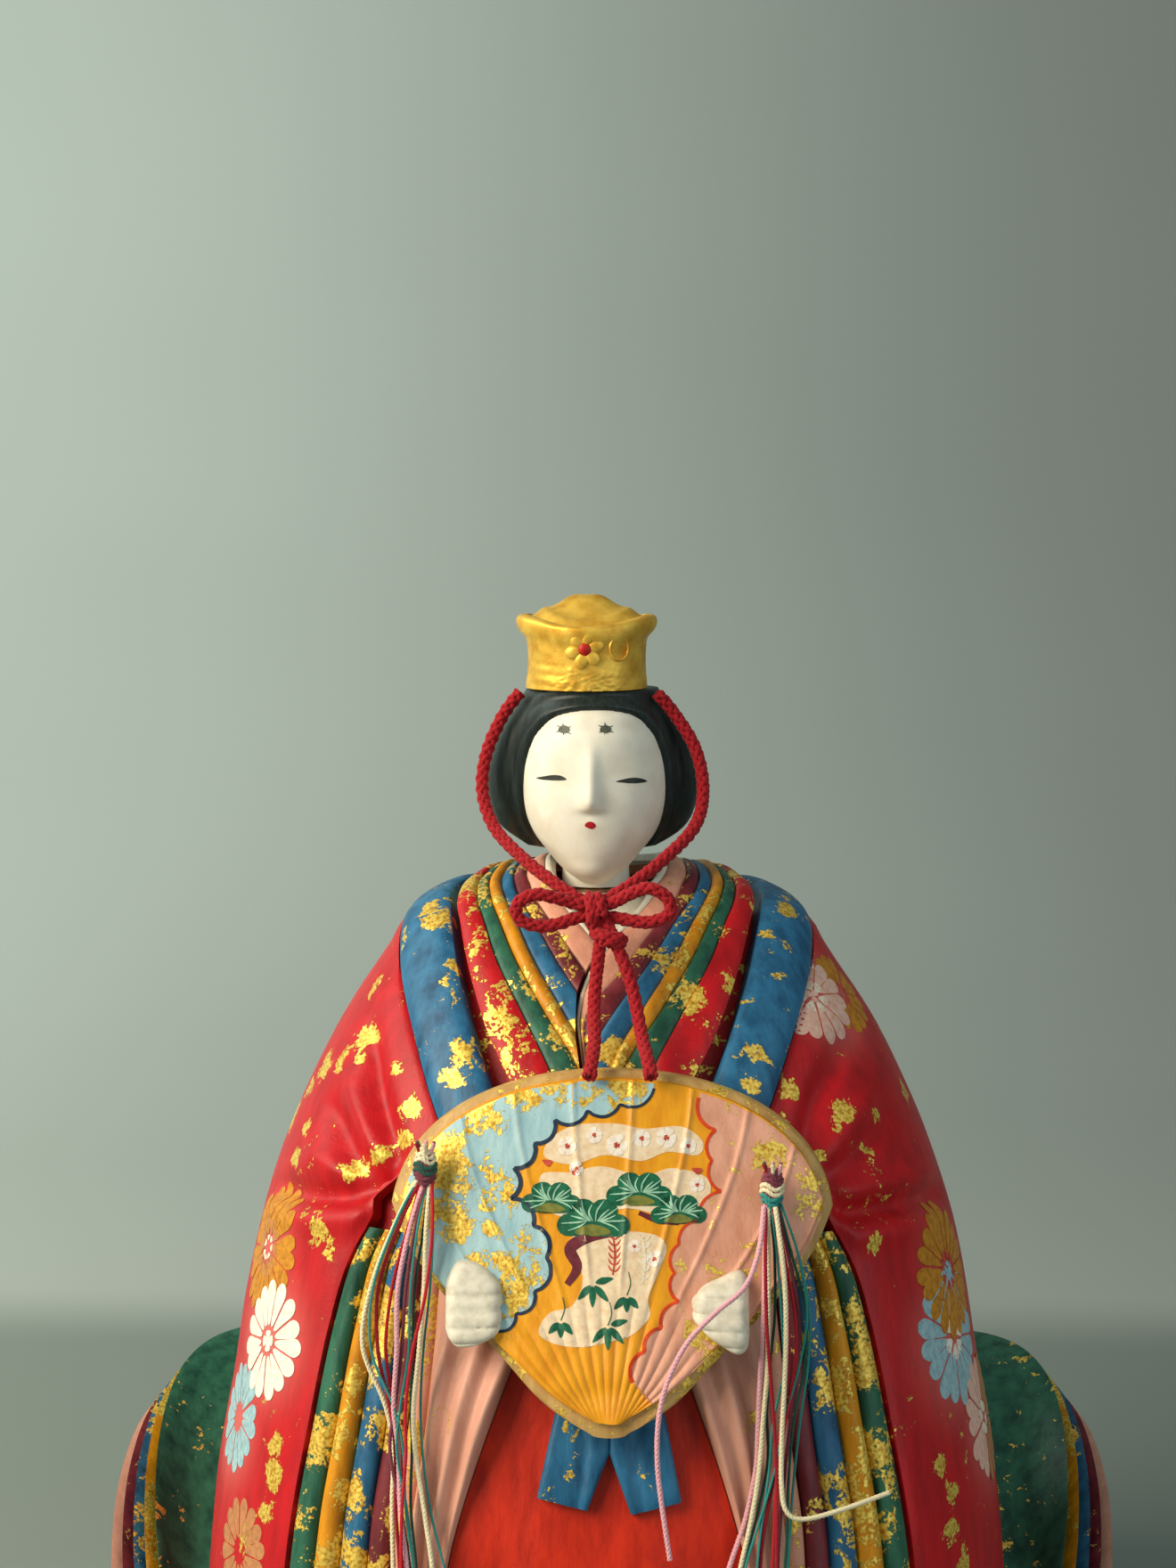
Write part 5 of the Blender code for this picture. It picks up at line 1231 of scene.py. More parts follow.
flowers = {
    "left": [((-53.5, -32, 34), 7.5, 14, 0.3, 1, "brown", ()), ((-55, -22.7, 51.4), 8, 15, 0, 1, "paleBlue", ()),
             ((-50.5, -20, 76.9), 9.8, 18, 0, 1, "ochre", (("brown", 3.3, 1.15, 10), ("bone", 1.5, 0.4, 7))),
             ((-49.6, -27.7, 64.7), 8.5, 15, 0.1, 1, "white", (("white", 0.8, 0.75, 4),))],
    "right": [((35.9, -11.1, 114.7), 6.6, 14, 0, 1, "ochre", (("coral", 1.4, 0.5, 6),)),
              ((31.1, -17.8, 115.4), 7.6, 14, 0.2, 1, "rose", (("bone", 2.0, 0.85, 7), ("rose", 0.6, 0.5, 3))),
              ((52.3, -22.4, 64.9), 10.2, 16, 0, 1, "paleBlue", (("white", 2.2, 1.0, 6),)),
              ((51.6, -19.1, 74.2), 9.8, 18, 0.2, 1, "ochre", (("coral", 2.3, 0.7, 8), ("paleBlue", 0.9, 0.4, 5))),
              ((56, -15, 50), 9.5, 16, 1.5, 0.5, "rose", (("bone", 1.8, 0.8, 6),)),
              ((56, -15, 50), 9.5, 16, 4.64, 0.5, "brown", ())]}


def makeFlowers(word):
    for order, (place, radius, count, turn, part, colour, dots) in enumerate(flowers[word]):
        centre = Vector(place) * mm
        out = formNormal(centre)
        lay = layerOn(sleeves[word], centre, Vector((0, 0, 1)).cross(out).normalized(), out)
        level = (1 + order) * 0.035 * mm
        rings = [(colour, petals((0, 0), 0.3 * radius, radius, count, turn, 0.84, part))]
        for dotColour, away, size, number in dots:
            rings.append((dotColour, petals((0, 0), away - size, away + size, number, turn + 0.2, 0.8)))
        for ring, (paint, outlines) in enumerate(rings):
            piece = paintShell(f"flower_{word}_{order}_{ring}", outlines, [], lay, 0.8 * mm, level)
            dress(piece, brush[paint], "robe", "clay_white" if paint in ("white", "bone") else "clay_salmon")


for word in sleeves:
    makeFlowers(word)
print("flowers painted")

# The layers at each sleeve opening, the inner sleeves and the trousers
bandLook = {"columns": 14, "rows": 120, "high": 0.62, "crown": 0.9 * mm, "groove": 0.7 * mm, "stepShare": 0.11}
edgeSplits = (0, 0.2, 0.39, 0.615, 0.805, 1)
hakamaLevels = (0, 0.147, 0.279, 0.331, 0.412, 0.485, 0.53)
hakamaEdges = (0.429, 0.397, 0.349, 0.324, 0.267, 0.206, 0.165)
innerLevels = (0, 0.147, 0.28, 0.368, 0.412, 0.456, 0.493, 0.522, 0.551, 0.625)
innerRises = (0, 0, 0.33, 1, 2, 2.5, 2, 1, 0.33, -0.33)


def roundTop(across, crown, groove):
    # Level in the middle and turned down at both edges
    return crown * sin(pi * across) - groove * abs(2 * across - 1) ** 5


def frontBand(name, innerX, outerX, high, columns, rows, rise, side):
    def surface(across, up):
        height = up * high * form["height"]
        first = formAngle(innerX(up * high), height)
        last = formAngle(outerX(up * high), height)
        return formPoint(side * (first + (last - first) * across), height)

    def top(across, up):
        return raised(surface(across, up), rise(up * high, across))

    def under(across, up):
        point = surface(across, up)
        return raised(point, gap - layerDepth(point.z))
    return slabPiece(name, columns, rows, top, under)


def makeSleeveEdges(word, side):
    look = bandLook
    crowns = {"green": 0.35, "yellow": 1.0, "blue": 0.35, "maroon": 0.3, "salmon": 0.6}
    leaf = {"green": 0.78, "yellow": 0.9, "blue": 0.86, "maroon": 0.72, "salmon": 0.72}
    for k, colour in enumerate(crowns):
        step = look["stepShare"] * (k + 1)
        piece = frontBand(
            f"sleeveEdge_{colour}_{word}",
            lambda share: edgeX(edgeSplits[k + 1], share) + gap / 8,
            lambda share: edgeX(edgeSplits[k], share) - gap / 8,
            look["high"], look["columns"], look["rows"],
            lambda share, across: (roundTop(across, crowns[colour] * look["crown"], look["groove"])
                                   - step * layerDepth(share * form["height"])), side)
        layLeaf(piece, base=leaf[colour], clump=6 * mm)
        dress(piece, clay[colour], "robe", f"clay_{colour}", f"sleeve_edge_{colour}_{word}")


def hakamaX(share):
    return form["halfWidth"] * smooth(hakamaLevels, hakamaEdges, share)


def innerRise(share, across):
    swell = smooth(innerLevels, innerRises, share) * (1 - across ** 2)
    folds = 0.75 * mm * cos(tau * 2.6 * across + 0.6 * sin(9 * share)) * ease(0.62, 0.5, share)
    return 1.5 * mm * (swell - 1) + folds - 0.8 * mm * abs(2 * across - 1) ** 7


def hakamaRise(share, across):
    return -2.5 * mm + 0.35 * mm * cos(6 * pi * across) * ease(0.5, 0.1, share)


def makeFront():
    for word, side in (("left", -1), ("right", 1)):
        makeSleeveEdges(word, side)
        piece = frontBand(f"innerSleeve_{word}", lambda share: hakamaX(share) + gap / 4,
                          lambda share: edgeX(1, share) - gap / 4, 0.62, 44, 120, innerRise, side)
        layLeaf(piece, [((side * 24, -46, 80), 4, 0.75), ((side * 22, -50, 60), 3, 0.6)], 0.25, 8 * mm)
        dress(piece, clay["pink"], "robe", "clay_pink", f"inner_sleeve_{word}")
    piece = frontBand("hakama", lambda share: gap / 4 - hakamaX(share), lambda share: hakamaX(share) - gap / 4,
                      0.53, 64, 90, hakamaRise, 1)
    layLeaf(piece, base=0.2)
    dress(piece, clay["vermilion"], "robe", "clay_vermilion", "hakama")


makeFront()
print("sleeve edges, inner sleeves and trousers made")

# The bands over the shoulders and the layered collars, as places seen from above
collarOuter = ((-0.165, -0.613), (-0.215, -0.566), (-0.268, -0.487), (-0.314, -0.370), (-0.341, -0.260),
               (-0.354, -0.168), (-0.333, -0.045), (-0.238, 0.110), (0, 0.200))
collarInner = ((0.035, -0.602), (0.050, -0.543), (0.060, -0.490), (0.045, -0.430), (0, -0.360),
               (-0.090, -0.245), (-0.140, -0.134), (-0.130, 0.050), (0, 0.100))
collarSplits = ((0, 0.02, 0.05, 0.09, 0.19, 0.31, 0.62, 1), (0, 0.02, 0.05, 0.12, 0.33, 0.46, 0.68, 1),
                (0, 0.03, 0.08, 0.27, 0.46, 0.59, 0.74, 1), (0, 0.04, 0.24, 0.41, 0.57, 0.69, 0.815, 1),
                (0, 0.06, 0.32, 0.47, 0.61, 0.73, 0.84, 1), (0, 0.09, 0.32, 0.46, 0.59, 0.71, 0.83, 1),
                (0, 0.10, 0.33, 0.47, 0.60, 0.72, 0.84, 1), (0, 0.11, 0.35, 0.50, 0.64, 0.75, 0.86, 1),
                (0, 0.11, 0.39, 0.56, 0.71, 0.79, 0.890, 1))
collarLook = {"low": -1.5 * mm, "step": 0.4 * mm, "rows": 170, "columns": 10}


def evenly(places, count):
    return curveThrough(places, lineLength(places) / (count - 1) * 1.0001)


def stripPiece(name, nearEdge, farEdge, rows, columns, rise):
    near = [nearEdge[round(k * (len(nearEdge) - 1) / rows)] for k in range(rows + 1)]
    far = [farEdge[round(k * (len(farEdge) - 1) / rows)] for k in range(rows + 1)]

    def flat(across, up):
        row = round(up * rows)
        return near[row].lerp(far[row], across)

    def top(across, up):
        place = flat(across, up)
        return planPoint(place.x, place.y, rise(across))

    def under(across, up):
        place = flat(across, up)
        return planPoint(place.x, place.y, gap - form["chestLayer"])
    return slabPiece(name, columns, rows, top, under)


bandSpots = {
    "left": [((-24.8, -13.4, 126), 3.6, 0.95), ((-22.2, -21, 120.4), 2.4, 0.8), ((-26.6, -24, 114), 1.6, 0.7),
             ((-20.2, -30.7, 108.9), 3.0, 1), ((-21, -32.7, 105), 2.6, 1), ((-27, -10, 127), 3, 0.9)],
    "right": [((22, -30.5, 108.5), 2.8, 1), ((21.4, -32.6, 105), 2.6, 1), ((25.5, -20, 119), 1.8, 0.75),
              ((27, -9, 126.5), 3.0, 0.95), ((24.2, -16.3, 124), 2.0, 0.8)]}


def makeShoulderBands():
    for word, side in (("left", 1), ("right", -1)):
        outer = planCurve(strapOuter, side, 900)
        inner = planCurve(strapInner, side, 900)
        piece = stripPiece(f"shoulderBand_{word}", inner, outer, 90, 18,
                           lambda across: 1 * mm + roundTop(across, 0.25 * mm, 0.8 * mm))
        layLeaf(piece, bandSpots[word], 0.42, 5 * mm)
        dress(piece, clay["blue"], "robe", "clay_blue", f"shoulder_band_{word}")


def collarGuide(line, side):
    shares = []
    for a, b, splits in zip(collarInner, collarOuter, collarSplits):
        shares.append((between(a[0], b[0], splits[line]), between(a[1], b[1], splits[line])))
    return planCurve(shares, side, 600)


overlapEdge = collarGuide(0, -1)


def frontEdgeX(y):
    # How far to the left the overlapping right side reaches
    for a, b in zip(overlapEdge, overlapEdge[1:]):
        if a.y <= y <= b.y:
            return a.lerp(b, (y - a.y) / (b.y - a.y)).x
    return overlapEdge[0].x


def collarLine(line):
    # The right side lies on top, and the left side stops at its edge
    right = collarGuide(line, -1)
    kept = []
    for place in list(reversed(collarGuide(line, 1)))[1:]:
        if place.y < 0 and place.x > frontEdgeX(place.y) - gap:
            break
        kept.append(place)
    half = collarLook["rows"] * 5
    return evenly(right, half)[:-1] + evenly([right[-1]] + kept, half)


collarSpots = [((1.5, -33, 110), 3.6, 0.9), ((-5, -31, 111.5), 4, 0.9), ((-14, -29, 112.5), 3, 0.95),
               ((13, -26, 116), 4, 0.9), ((-15, -22, 118), 2.6, 0.9), ((18, -15, 124), 3, 0.8),
               ((15, -18, 121), 2.6, 0.9)]


def makeCollars():
    lines = [collarLine(line) for line in range(8)]
    leaf = {"white": 0.05, "salmon": 0.45, "maroon": 0.66, "blue": 0.62, "yellow": 0.7, "green": 0.66,
            "red": 0.74}
    crowns = {"yellow": 0.5, "red": 0.25}
    for k, colour in enumerate(leaf):
        level = collarLook["low"] + collarLook["step"] * k
        piece = stripPiece(f"collar_{colour}", lines[k], lines[k + 1], collarLook["rows"], collarLook["columns"],
                           lambda across: level + roundTop(across, crowns.get(colour, 0.12) * mm, 0.28 * mm))
        layLeaf(piece, [] if colour == "white" else collarSpots, leaf[colour], 6 * mm)
        dress(piece, clay[colour], "robe", f"clay_{colour}", f"collar_{colour}")


def makeThroat():
    # The white paint that shows inside the collars and around the neck, in two halves that leave the neck free
    look = {"neckX": -1.7, "neckY": -4, "reach": 5.9, "above": 200 * mm,
            "edge": ((0, -21), (4.8, -15.4), (7.6, -10.2), (8.6, -4), (8.2, 2), (5, 6), (0, 7.6))}
    core = BVHTree.FromObject(bpy.data.objects["robeBody"], bpy.context.evaluated_depsgraph_get())

    def lay(place, level):
        found = core.ray_cast(Vector((place.x, place.y, look["above"])), Vector((0, 0, -1)))[0]
        return found + Vector((0, 0, gap / 2 + level))
    halves = []
    for side in (1, -1):
        arc = [(look["neckX"] + side * look["reach"] * sin(pi * k / 24),
                look["neckY"] + look["reach"] * cos(pi * k / 24)) for k in range(25)]
        rim = [(side * x, y) for x, y in look["edge"] if side * (side * x - look["neckX"]) > 0]
        outline = [(look["neckX"], -19), *rim, (look["neckX"], 7.2), *arc]
        halves.append(inMetres(outline if side > 0 else reversed(outline)))
    dress(paintShell("throatPaint", halves, [], lay, 0.5 * mm, 0), clay["white"], "robe", "clay_white")


makeShoulderBands()
makeCollars()
makeThroat()
print("shoulder bands and collars made")

# Hair: black satin paint with combed streaks
hairLook = {"colour": "#1A2120", "light": "#2C3735", "roughness": 0.36, "strand": 0.8 * mm, "comb": (1, 1, 0.1)}


def combedHair(name):
    look = hairLook
    material, tree, shader, coords = newMaterial(name, look["roughness"])
    strands = noiseOf(tree, stretched(tree, coords, look["comb"]), look["strand"], 6.0, Roughness=0.6)
    feed(tree, shader, {"Base Color": blend(tree, look["colour"], look["light"], spread(tree, strands, 0.35, 0.7)),
                        "Normal": bumpOf(tree, strands, 0.35, 0.12 * mm)})
    return material


hairPaint = combedHair("blackHairPaint")
hairFallLook = {"halfAngle": radians(16), "rise": 2.1 * mm, "low": 0.43, "high": 0.885, "locks": 9}


def makeHairFall():
    look = hairFallLook

    def surface(across, up):
        share = look["low"] + (look["high"] - look["low"]) * up
        wide = between(0.6, 1, ease(0, 0.4, up)) * between(1, 0.8, ease(0.7, 1, up))
        return formPoint(pi + look["halfAngle"] * (2 * across - 1) * wide, share * form["height"])

    def top(across, up):
        locks = 0.22 * mm * cos(tau * look["locks"] * across)
        swell = look["rise"] * (1 - 0.7 * (2 * across - 1) ** 2) - 0.5 * mm * abs(2 * across - 1) ** 6
        return raised(surface(across, up), gap + swell * between(0.6, 1, ease(0, 0.06, up)) + locks)

    def under(across, up):
        return raised(surface(across, up), gap / 8)
    piece = slabPiece("hairFall", 72, 90, top, under)
    dress(piece, hairPaint, "robe", "clay_hair", "hair_fall")


makeHairFall()

# The fan: a pleated leaf in front of a board whose bevelled rim shows round it
fanLook = {"pivot": (1.8 * mm, -58 * mm, 62.2 * mm), "radius": 48.2 * mm, "lean": radians(20.7),
           "cornerDrop": 0.13, "bend": 4 * mm, "bendWidth": 30 * mm, "leaf": 2.6 * mm, "board": 1.6 * mm,
           "grow": 1.045, "centre": 0.62, "low": 0.06, "footDrop": 2.9 * mm, "footEnd": 0.35, "ridges": 9,
           "ridge": 0.34 * mm, "ridgeWidth": 0.38 * mm, "lowRidges": 15, "lowRidge": 0.28 * mm,
           "leafEdge": 0.35 * mm, "boardFront": 1.1 * mm, "boardSlope": 0.9 * mm, "leafGrid": (260, 130),
           "boardGrid": (180, 110)}
fanShares = (0.06, 0.35, 0.6, 0.85, 1)
fanAngles = tuple(radians(angle) for angle in (72, 58, 54, 50, 46))


def fanFlat(share, across, grow=1):
    # Along and across the flat leaf
    angle = across * smooth(fanShares, fanAngles, share)
    radius = fanLook["radius"] * share * (1 - fanLook["cornerDrop"] * across ** 4)
    centre = fanLook["radius"] * fanLook["centre"]
    if grow > 1:
        grow += 0.035 * ease(0.55, 0.2, share)
    foot = max(fanLook["footEnd"] - share, 0) / (fanLook["footEnd"] - fanLook["low"])
    v = radius * cos(angle) - fanLook["footDrop"] * (1 - across ** 2) * foot
    return Vector((radius * sin(angle) * grow, centre + (v - centre) * grow))


def fanPoint(flat, depth):
    x, y, z = fanLook["pivot"]
    u, v = flat
    bend = fanLook["bend"] * (u / fanLook["bendWidth"]) ** 2
    return Vector((x + u, y + v * sin(fanLook["lean"]) + bend + depth, z + v * cos(fanLook["lean"])))


def fanPleat(share, across):
    # Raised ridges that run out from the pivot, and finer pleats near it
    look = fanLook
    reach = smooth(fanShares, fanAngles, share) * look["radius"] * share
    slot = 2 / look["ridges"]
    near = (across / slot - 0.35) - round(across / slot - 0.35)
    ridge = exp(-(near * slot * reach / look["ridgeWidth"]) ** 2) * look["ridge"] * ease(0.3, 0.5, share)
    low = look["lowRidge"] * abs(cos(pi * look["lowRidges"] * across / 2)) * ease(0.44, 0.3, share)
    low *= ease(0.05, 0.2, share)
    swell = 0.25 * mm * sin(5 * across + 3 * share)
    dimple = 0.5 * mm * exp(-((share - 0.13) / 0.035) ** 2 - (across * 0.9) ** 2)
    return ridge + low + swell - dimple


def makeFan():
    look = fanLook

    def skin(grow, depth):
        def place(across, up):
            share = between(look["low"], 1, up)
            side = 2 * across - 1
            return fanPoint(fanFlat(share, side, grow), depth(share, side, up))
        return place

    def leafFront(share, side, up):
        return look["leafEdge"] * (abs(side) ** 24 + up ** 40 + (1 - up) ** 30) - fanPleat(share, side)

    def boardFront(share, side, up):
        # The rim slopes back towards its outer edge
        return look["boardFront"] + look["boardSlope"] * max(abs(side) ** 16, up ** 26, (1 - up) ** 22)
    piece = slabPiece("fanLeaf", *look["leafGrid"], skin(1, leafFront), skin(1, lambda *place: look["leaf"]))
    layLeaf(piece, [((22, -48, 96), 5, 0.62), ((27, -46, 88), 5, 0.62)], 0.18, 10 * mm)
    dress(piece, fanGround, "robe", "clay_fan", "fan")
    rim = slabPiece("fanBoard", *look["boardGrid"], skin(look["grow"], boardFront),
                    skin(look["grow"], lambda *place: look["leaf"] + gap + look["board"]))
    layLeaf(rim, base=0.66, clump=7 * mm)
    dress(rim, fanRim, "robe", "clay_gold", "fan_back")
    return piece


fanGround = paintedClay("fanOrangePaint", ("#EBA21C", "#D78812"))
fanRim = paintedClay("fanRimOchrePaint", ("#CBA566", "#A97F45"))
fan = makeFan()
print("hair down the back and fan made")

# The fan's picture, in millimetres from the pivot: mist with scalloped edges at both sides, and pine, plum
# and bamboo between
mistEdges = {"blue": ((6.0, 47.0), (1.2, 44.6), (-3.4, 43.6), (-8.0, 42.2), (-10.8, 38.8), (-13.7, 35.2), (-14.1, 31.0),
                      (-10.8, 27.3), (-8.9, 22.9), (-10.5, 18.1), (-13.1, 14.9), (-15.8, 12.4)),
             "pink": ((12.4, 45.6), (14.7, 40.9), (14.2, 36.6), (15.5, 32.2), (12.4, 28.2), (9.6, 24.9), (9.0, 20.9),
                      (9.6, 16.9), (7.2, 13.3), (4.9, 10.1), (3.3, 5.8))}
mistSpots = {"blue": [((-23, -43, 96), 6.5, 1), ((-28, -43, 90), 6, 1), ((-17, -43, 103), 4.5, 1),
                      ((-20, -46, 88), 4, 1), ((-13, -50, 83), 2.8, 1), ((-15, -48, 87), 2, 1),
                      ((-25, -45, 84), 3, 0.8), ((-9, -42, 105), 2, 0.9), ((-14, -51, 80), 2, 1)],
             "pink": [((24, -43, 97), 4, 0.8), ((30, -43, 89), 4.5, 0.75), ((14, -53, 75), 2.4, 0.7)]}
clouds = (((-8.6, 39.6), (-5, 41.6), (0.6, 41.9), (4.6, 41.2), (9.8, 41.5), (12.9, 39.4), (12.2, 37.4), (8.0, 37.9),
           (4.2, 36.6), (-0.8, 37.4), (-5.4, 36.0), (-9.4, 37.0)),
          ((-9.9, 34.4), (-5.6, 34.9), (-1.2, 35.8), (4.5, 34.5), (8.6, 35.6), (13.5, 34.2), (13.6, 31.1), (9.5, 28.6),
           (2.4, 29.9), (-3.5, 28.4), (-9.1, 29.6)),
          ((-5.6, 25.4), (-1.4, 26.7), (5.5, 26.4), (7.9, 24.6), (6.8, 21.0), (5.4, 17.4), (5.6, 14.8), (3.0, 12.2),
           (0.2, 11.4), (-3.4, 10.6), (-7.4, 10.9), (-9.9, 12.4), (-8.4, 15.2), (-5.2, 16.3), (-3.8, 20.2)))
pines = ((-8.4, 30.0, 4.3), (9.6, 28.6, 4.0), (4.0, 31.2, 4.7), (-2.4, 27.0, 5.2))
blossoms = ((-6.2, 38.6, 1.3), (-2.4, 40.2, 1.15), (0.8, 38.8, 1.5), (4.3, 39.8, 1.25), (7.8, 39.9, 1.4),
            (10.9, 38.7, 1.1), (-4.9, 35.4, 1.0), (12.2, 33.2, 1.0), (6.2, 22.8, 1.1), (3.4, 24.6, 0.9))
sprays = ((-6.8, 14.2), (-0.2, 13.6), (2.4, 17.8), (-2.4, 19.4))


def scallops(places, bulge):
    # Arcs from each place to the next
    line = []
    for a, b in zip(places, places[1:]):
        side = Vector((b[1] - a[1], a[0] - b[0])) * bulge
        line += [Vector(a).lerp(Vector(b), k / 8) + side * sin(pi * k / 8) ** 0.8 for k in range(8)]
    return line + [Vector(places[-1])]


def pineCrown(u, v, size):
    # A round cushion of needles with four lobes, and the fine strokes in it
    outline = []
    for k in range(29):
        share = k / 28
        reach = size * (0.8 + 0.2 * abs(sin(4 * pi * share)) ** 0.7)
        angle = between(-0.3, pi + 0.3, share)
        outline.append(Vector((u + reach * cos(angle), v + reach * 0.86 * sin(angle))) * mm)
    needles = []
    for k in range(13):
        angle = between(-0.1, pi + 0.1, k / 12) + 0.1 * sin(5 * k + u)
        tip = size * (0.88 if k % 2 else 0.7)
        bow = Vector((0.1 * size * cos(angle * 2), 0))
        foot = Vector((u + 0.18 * size * cos(angle), v + 0.2 * size))
        end = Vector((u + tip * cos(angle), v + tip * 0.86 * sin(angle) + 0.05 * size))
        needles.append(brushStroke((foot, foot.lerp(end, 0.5) + bow, end), (0.12, 0.24, 0.1), 0.4 * mm))
    base = closedCurve([(u + across * size, v + up * size) for across, up in
                        ((-0.5, -0.12), (-0.2, 0.1), (0.2, 0.08), (0.48, -0.1), (0, -0.2))], 4)
    return outline, needles, base


def paintFan():
    front = Vector((0, -cos(fanLook["lean"]), sin(fanLook["lean"])))
    tree = surfaceTree(fan)

    def lay(place, level):
        start = fanPoint(place, 0) + front * 8 * mm
        spot = tree.ray_cast(start, -front, 14 * mm)[0]
        if spot is None:
            spot = tree.find_nearest(start - front * 8 * mm)[0]
        return spot + front * level

    low = fanLook["low"]
    columns, rows = fanLook["leafGrid"]
    own = [fanFlat(low + (1 - low) * row / (rows - 1), 2 * column / (columns - 1) - 1)
           for row in range(rows) for column in range(columns)]

    def layer(name, paint, outlines, strokes, order):
        piece = paintShell(f"fanPicture_{name}", outlines, strokes, lay, 0, (order * 0.03 + 0.02) * mm, own)
        slotName = {"blue": "clay_blue", "cream": "clay_white", "white": "clay_white"}.get(name, "clay_fan")
        return dress(piece, paint, "robe", slotName)

    edges = {"blue": scallops(mistEdges["blue"], -0.26), "pink": scallops(mistEdges["pink"], 0.22)}
    for name, side, start, low, base in (("blue", -1, -0.156, 0.47, 0.7), ("pink", 1, 0.33, 0.16, 0.5)):
        rim = [fanFlat(0.998, side * between(start, 0.998, k / 40)) for k in range(41)]
        rim += [fanFlat(between(0.998, low, k / 30), side * 0.998) for k in range(1, 31)]
        area = rim + [place * mm for place in reversed(edges[name])]
        layLeaf(layer(name, mist[name], [area], [], 1), mistSpots[name], base, 6 * mm)
    crowns = [pineCrown(*pine) for pine in pines]
    layer("cream", brush["cream"], [closedCurve(cloud) for cloud in clouds], [], 1)
    layer("edgeBlue", brush["navy"], [], [brushStroke(edges["blue"], (0.35, 0.62, 0.4))], 3)
    layer("edgePink", brush["vermilionLine"], [], [brushStroke(edges["pink"], (0.5, 0.4, 0.55))], 3)
    layer("trunk", brush["plum"], [], [
        brushStroke(((0.6, 26.4), (-3.0, 25.8), (-5.6, 24.2), (-4.6, 21.6), (-6.0, 19.2)), (0.9, 1.7, 0.9)),
        brushStroke(((9.6, 27.8), (6.6, 28.3), (4.0, 29.3)), (0.5, 0.9, 0.6))], 2)
    layer("pine", brush["pine"], [crown[0] for crown in crowns], [], 3)
    layer("olive", brush["olive"], [crown[2] for crown in crowns], [], 4)
    layer("needles", brush["needle"], [], [stroke for crown in crowns for stroke in crown[1]], 5)
    white = []
    middles = []
    for k, (u, v, size) in enumerate(blossoms):
        white += petals((u, v), 0.18 * size, size, 5, 0.6 * k, 0.9)
        middles += petals((u, v), 0.02, 0.28 * size, 3, k, 0.9)
    layer("white", brush["white"], white, [], 3)
    layer("middles", brush["coral"], middles, [], 4)
    blades = []
    for k, (u, v) in enumerate(sprays):
        for turn in (-2.3, -1.57, -0.85, 0.25)[:4 if k % 2 else 3]:
            tip = 2.5 + 0.5 * sin(3 * k + turn)
            along = Vector((cos(turn), sin(turn)))
            side = Vector((-along.y, along.x)) * 0.5
            foot = Vector((u, v)) + along * 0.4
            blades.append(closedCurve((foot, foot + along * tip * 0.4 + side, foot + along * tip,
                                       foot + along * tip * 0.4 - side), 4))
    stems = [brushStroke(((u, v), (u + 0.5, v + 1.6), (u + 0.2, v + 3.2)), (0.16, 0.12, 0.1))
             for u, v in sprays[:3]]
    layer("bamboo", brush["pine"], blades, stems, 3)
    stalk = []
    for u, v, rise in ((0.4, 20.6, 5.4), (4.6, 19.5, 6.4)):
        stalk.append(brushStroke(((u, v), (u + 0.3, v + rise / 2), (u, v + rise)), (0.2, 0.3, 0.15)))
        for k in range(6):
            for side in (-1, 1):
                at = v + rise * (k + 0.5) / 6
                line = [(u + 0.2 + side * out, at + up) for out, up in ((0, 0), (0.5, 0.3), (0.85, 0.9))]
                stalk.append(brushStroke(line, (0.16, 0.24, 0.08)))
    half = len(stalk) // 2
    layer("stalkRed", brush["coral"], [], stalk[:half], 3)
    layer("stalkBone", brush["bone"], [], stalk[half:], 3)
    buds = [closedCurve(((u - 0.8, v + 0.3), (u, v + 0.4), (u + 0.7, v + 0.2), (u + 0.1, v - 0.6)), 4)
            for u, v in ((-5.2, 35.0), (12.2, 35.2), (-9.0, 36.2))]
    layer("buds", brush["coral"], buds, [], 3)


mist = {"blue": paintedClay("fanPaleBluePaint", ("#A9CBD2", "#8DB3BE")),
        "pink": paintedClay("fanRosePaint", ("#E3A78D", "#CB8C72"))}
paintFan()
print("fan painted")

# Hands with four fingers each, in front of the fan's lower sides
handLook = {"outer": 21.4 * mm, "inner": 13.2 * mm, "depth": 3.9 * mm, "finger": 2.15 * mm, "groove": 0.45 * mm,
            "rows": 44, "sides": 96}
handPlaces = (0, 0.2, 0.45, 0.75, 1)
handTops = {"left": (80.6, 82.6, 82.7, 81.6, 79.9), "right": (81.6, 82.0, 81.2, 80.2, 78.6)}
handLows = {"left": (73.2, 71.8, 71.8, 72.6, 73.8), "right": (71.4, 71.2, 72.2, 73.9, 75.9)}


def fanFrontY(x, z):
    v = (z - fanLook["pivot"][2]) / cos(fanLook["lean"])
    return (fanLook["pivot"][1] + v * sin(fanLook["lean"])
            + fanLook["bend"] * ((x - fanLook["pivot"][0]) / fanLook["bendWidth"]) ** 2)


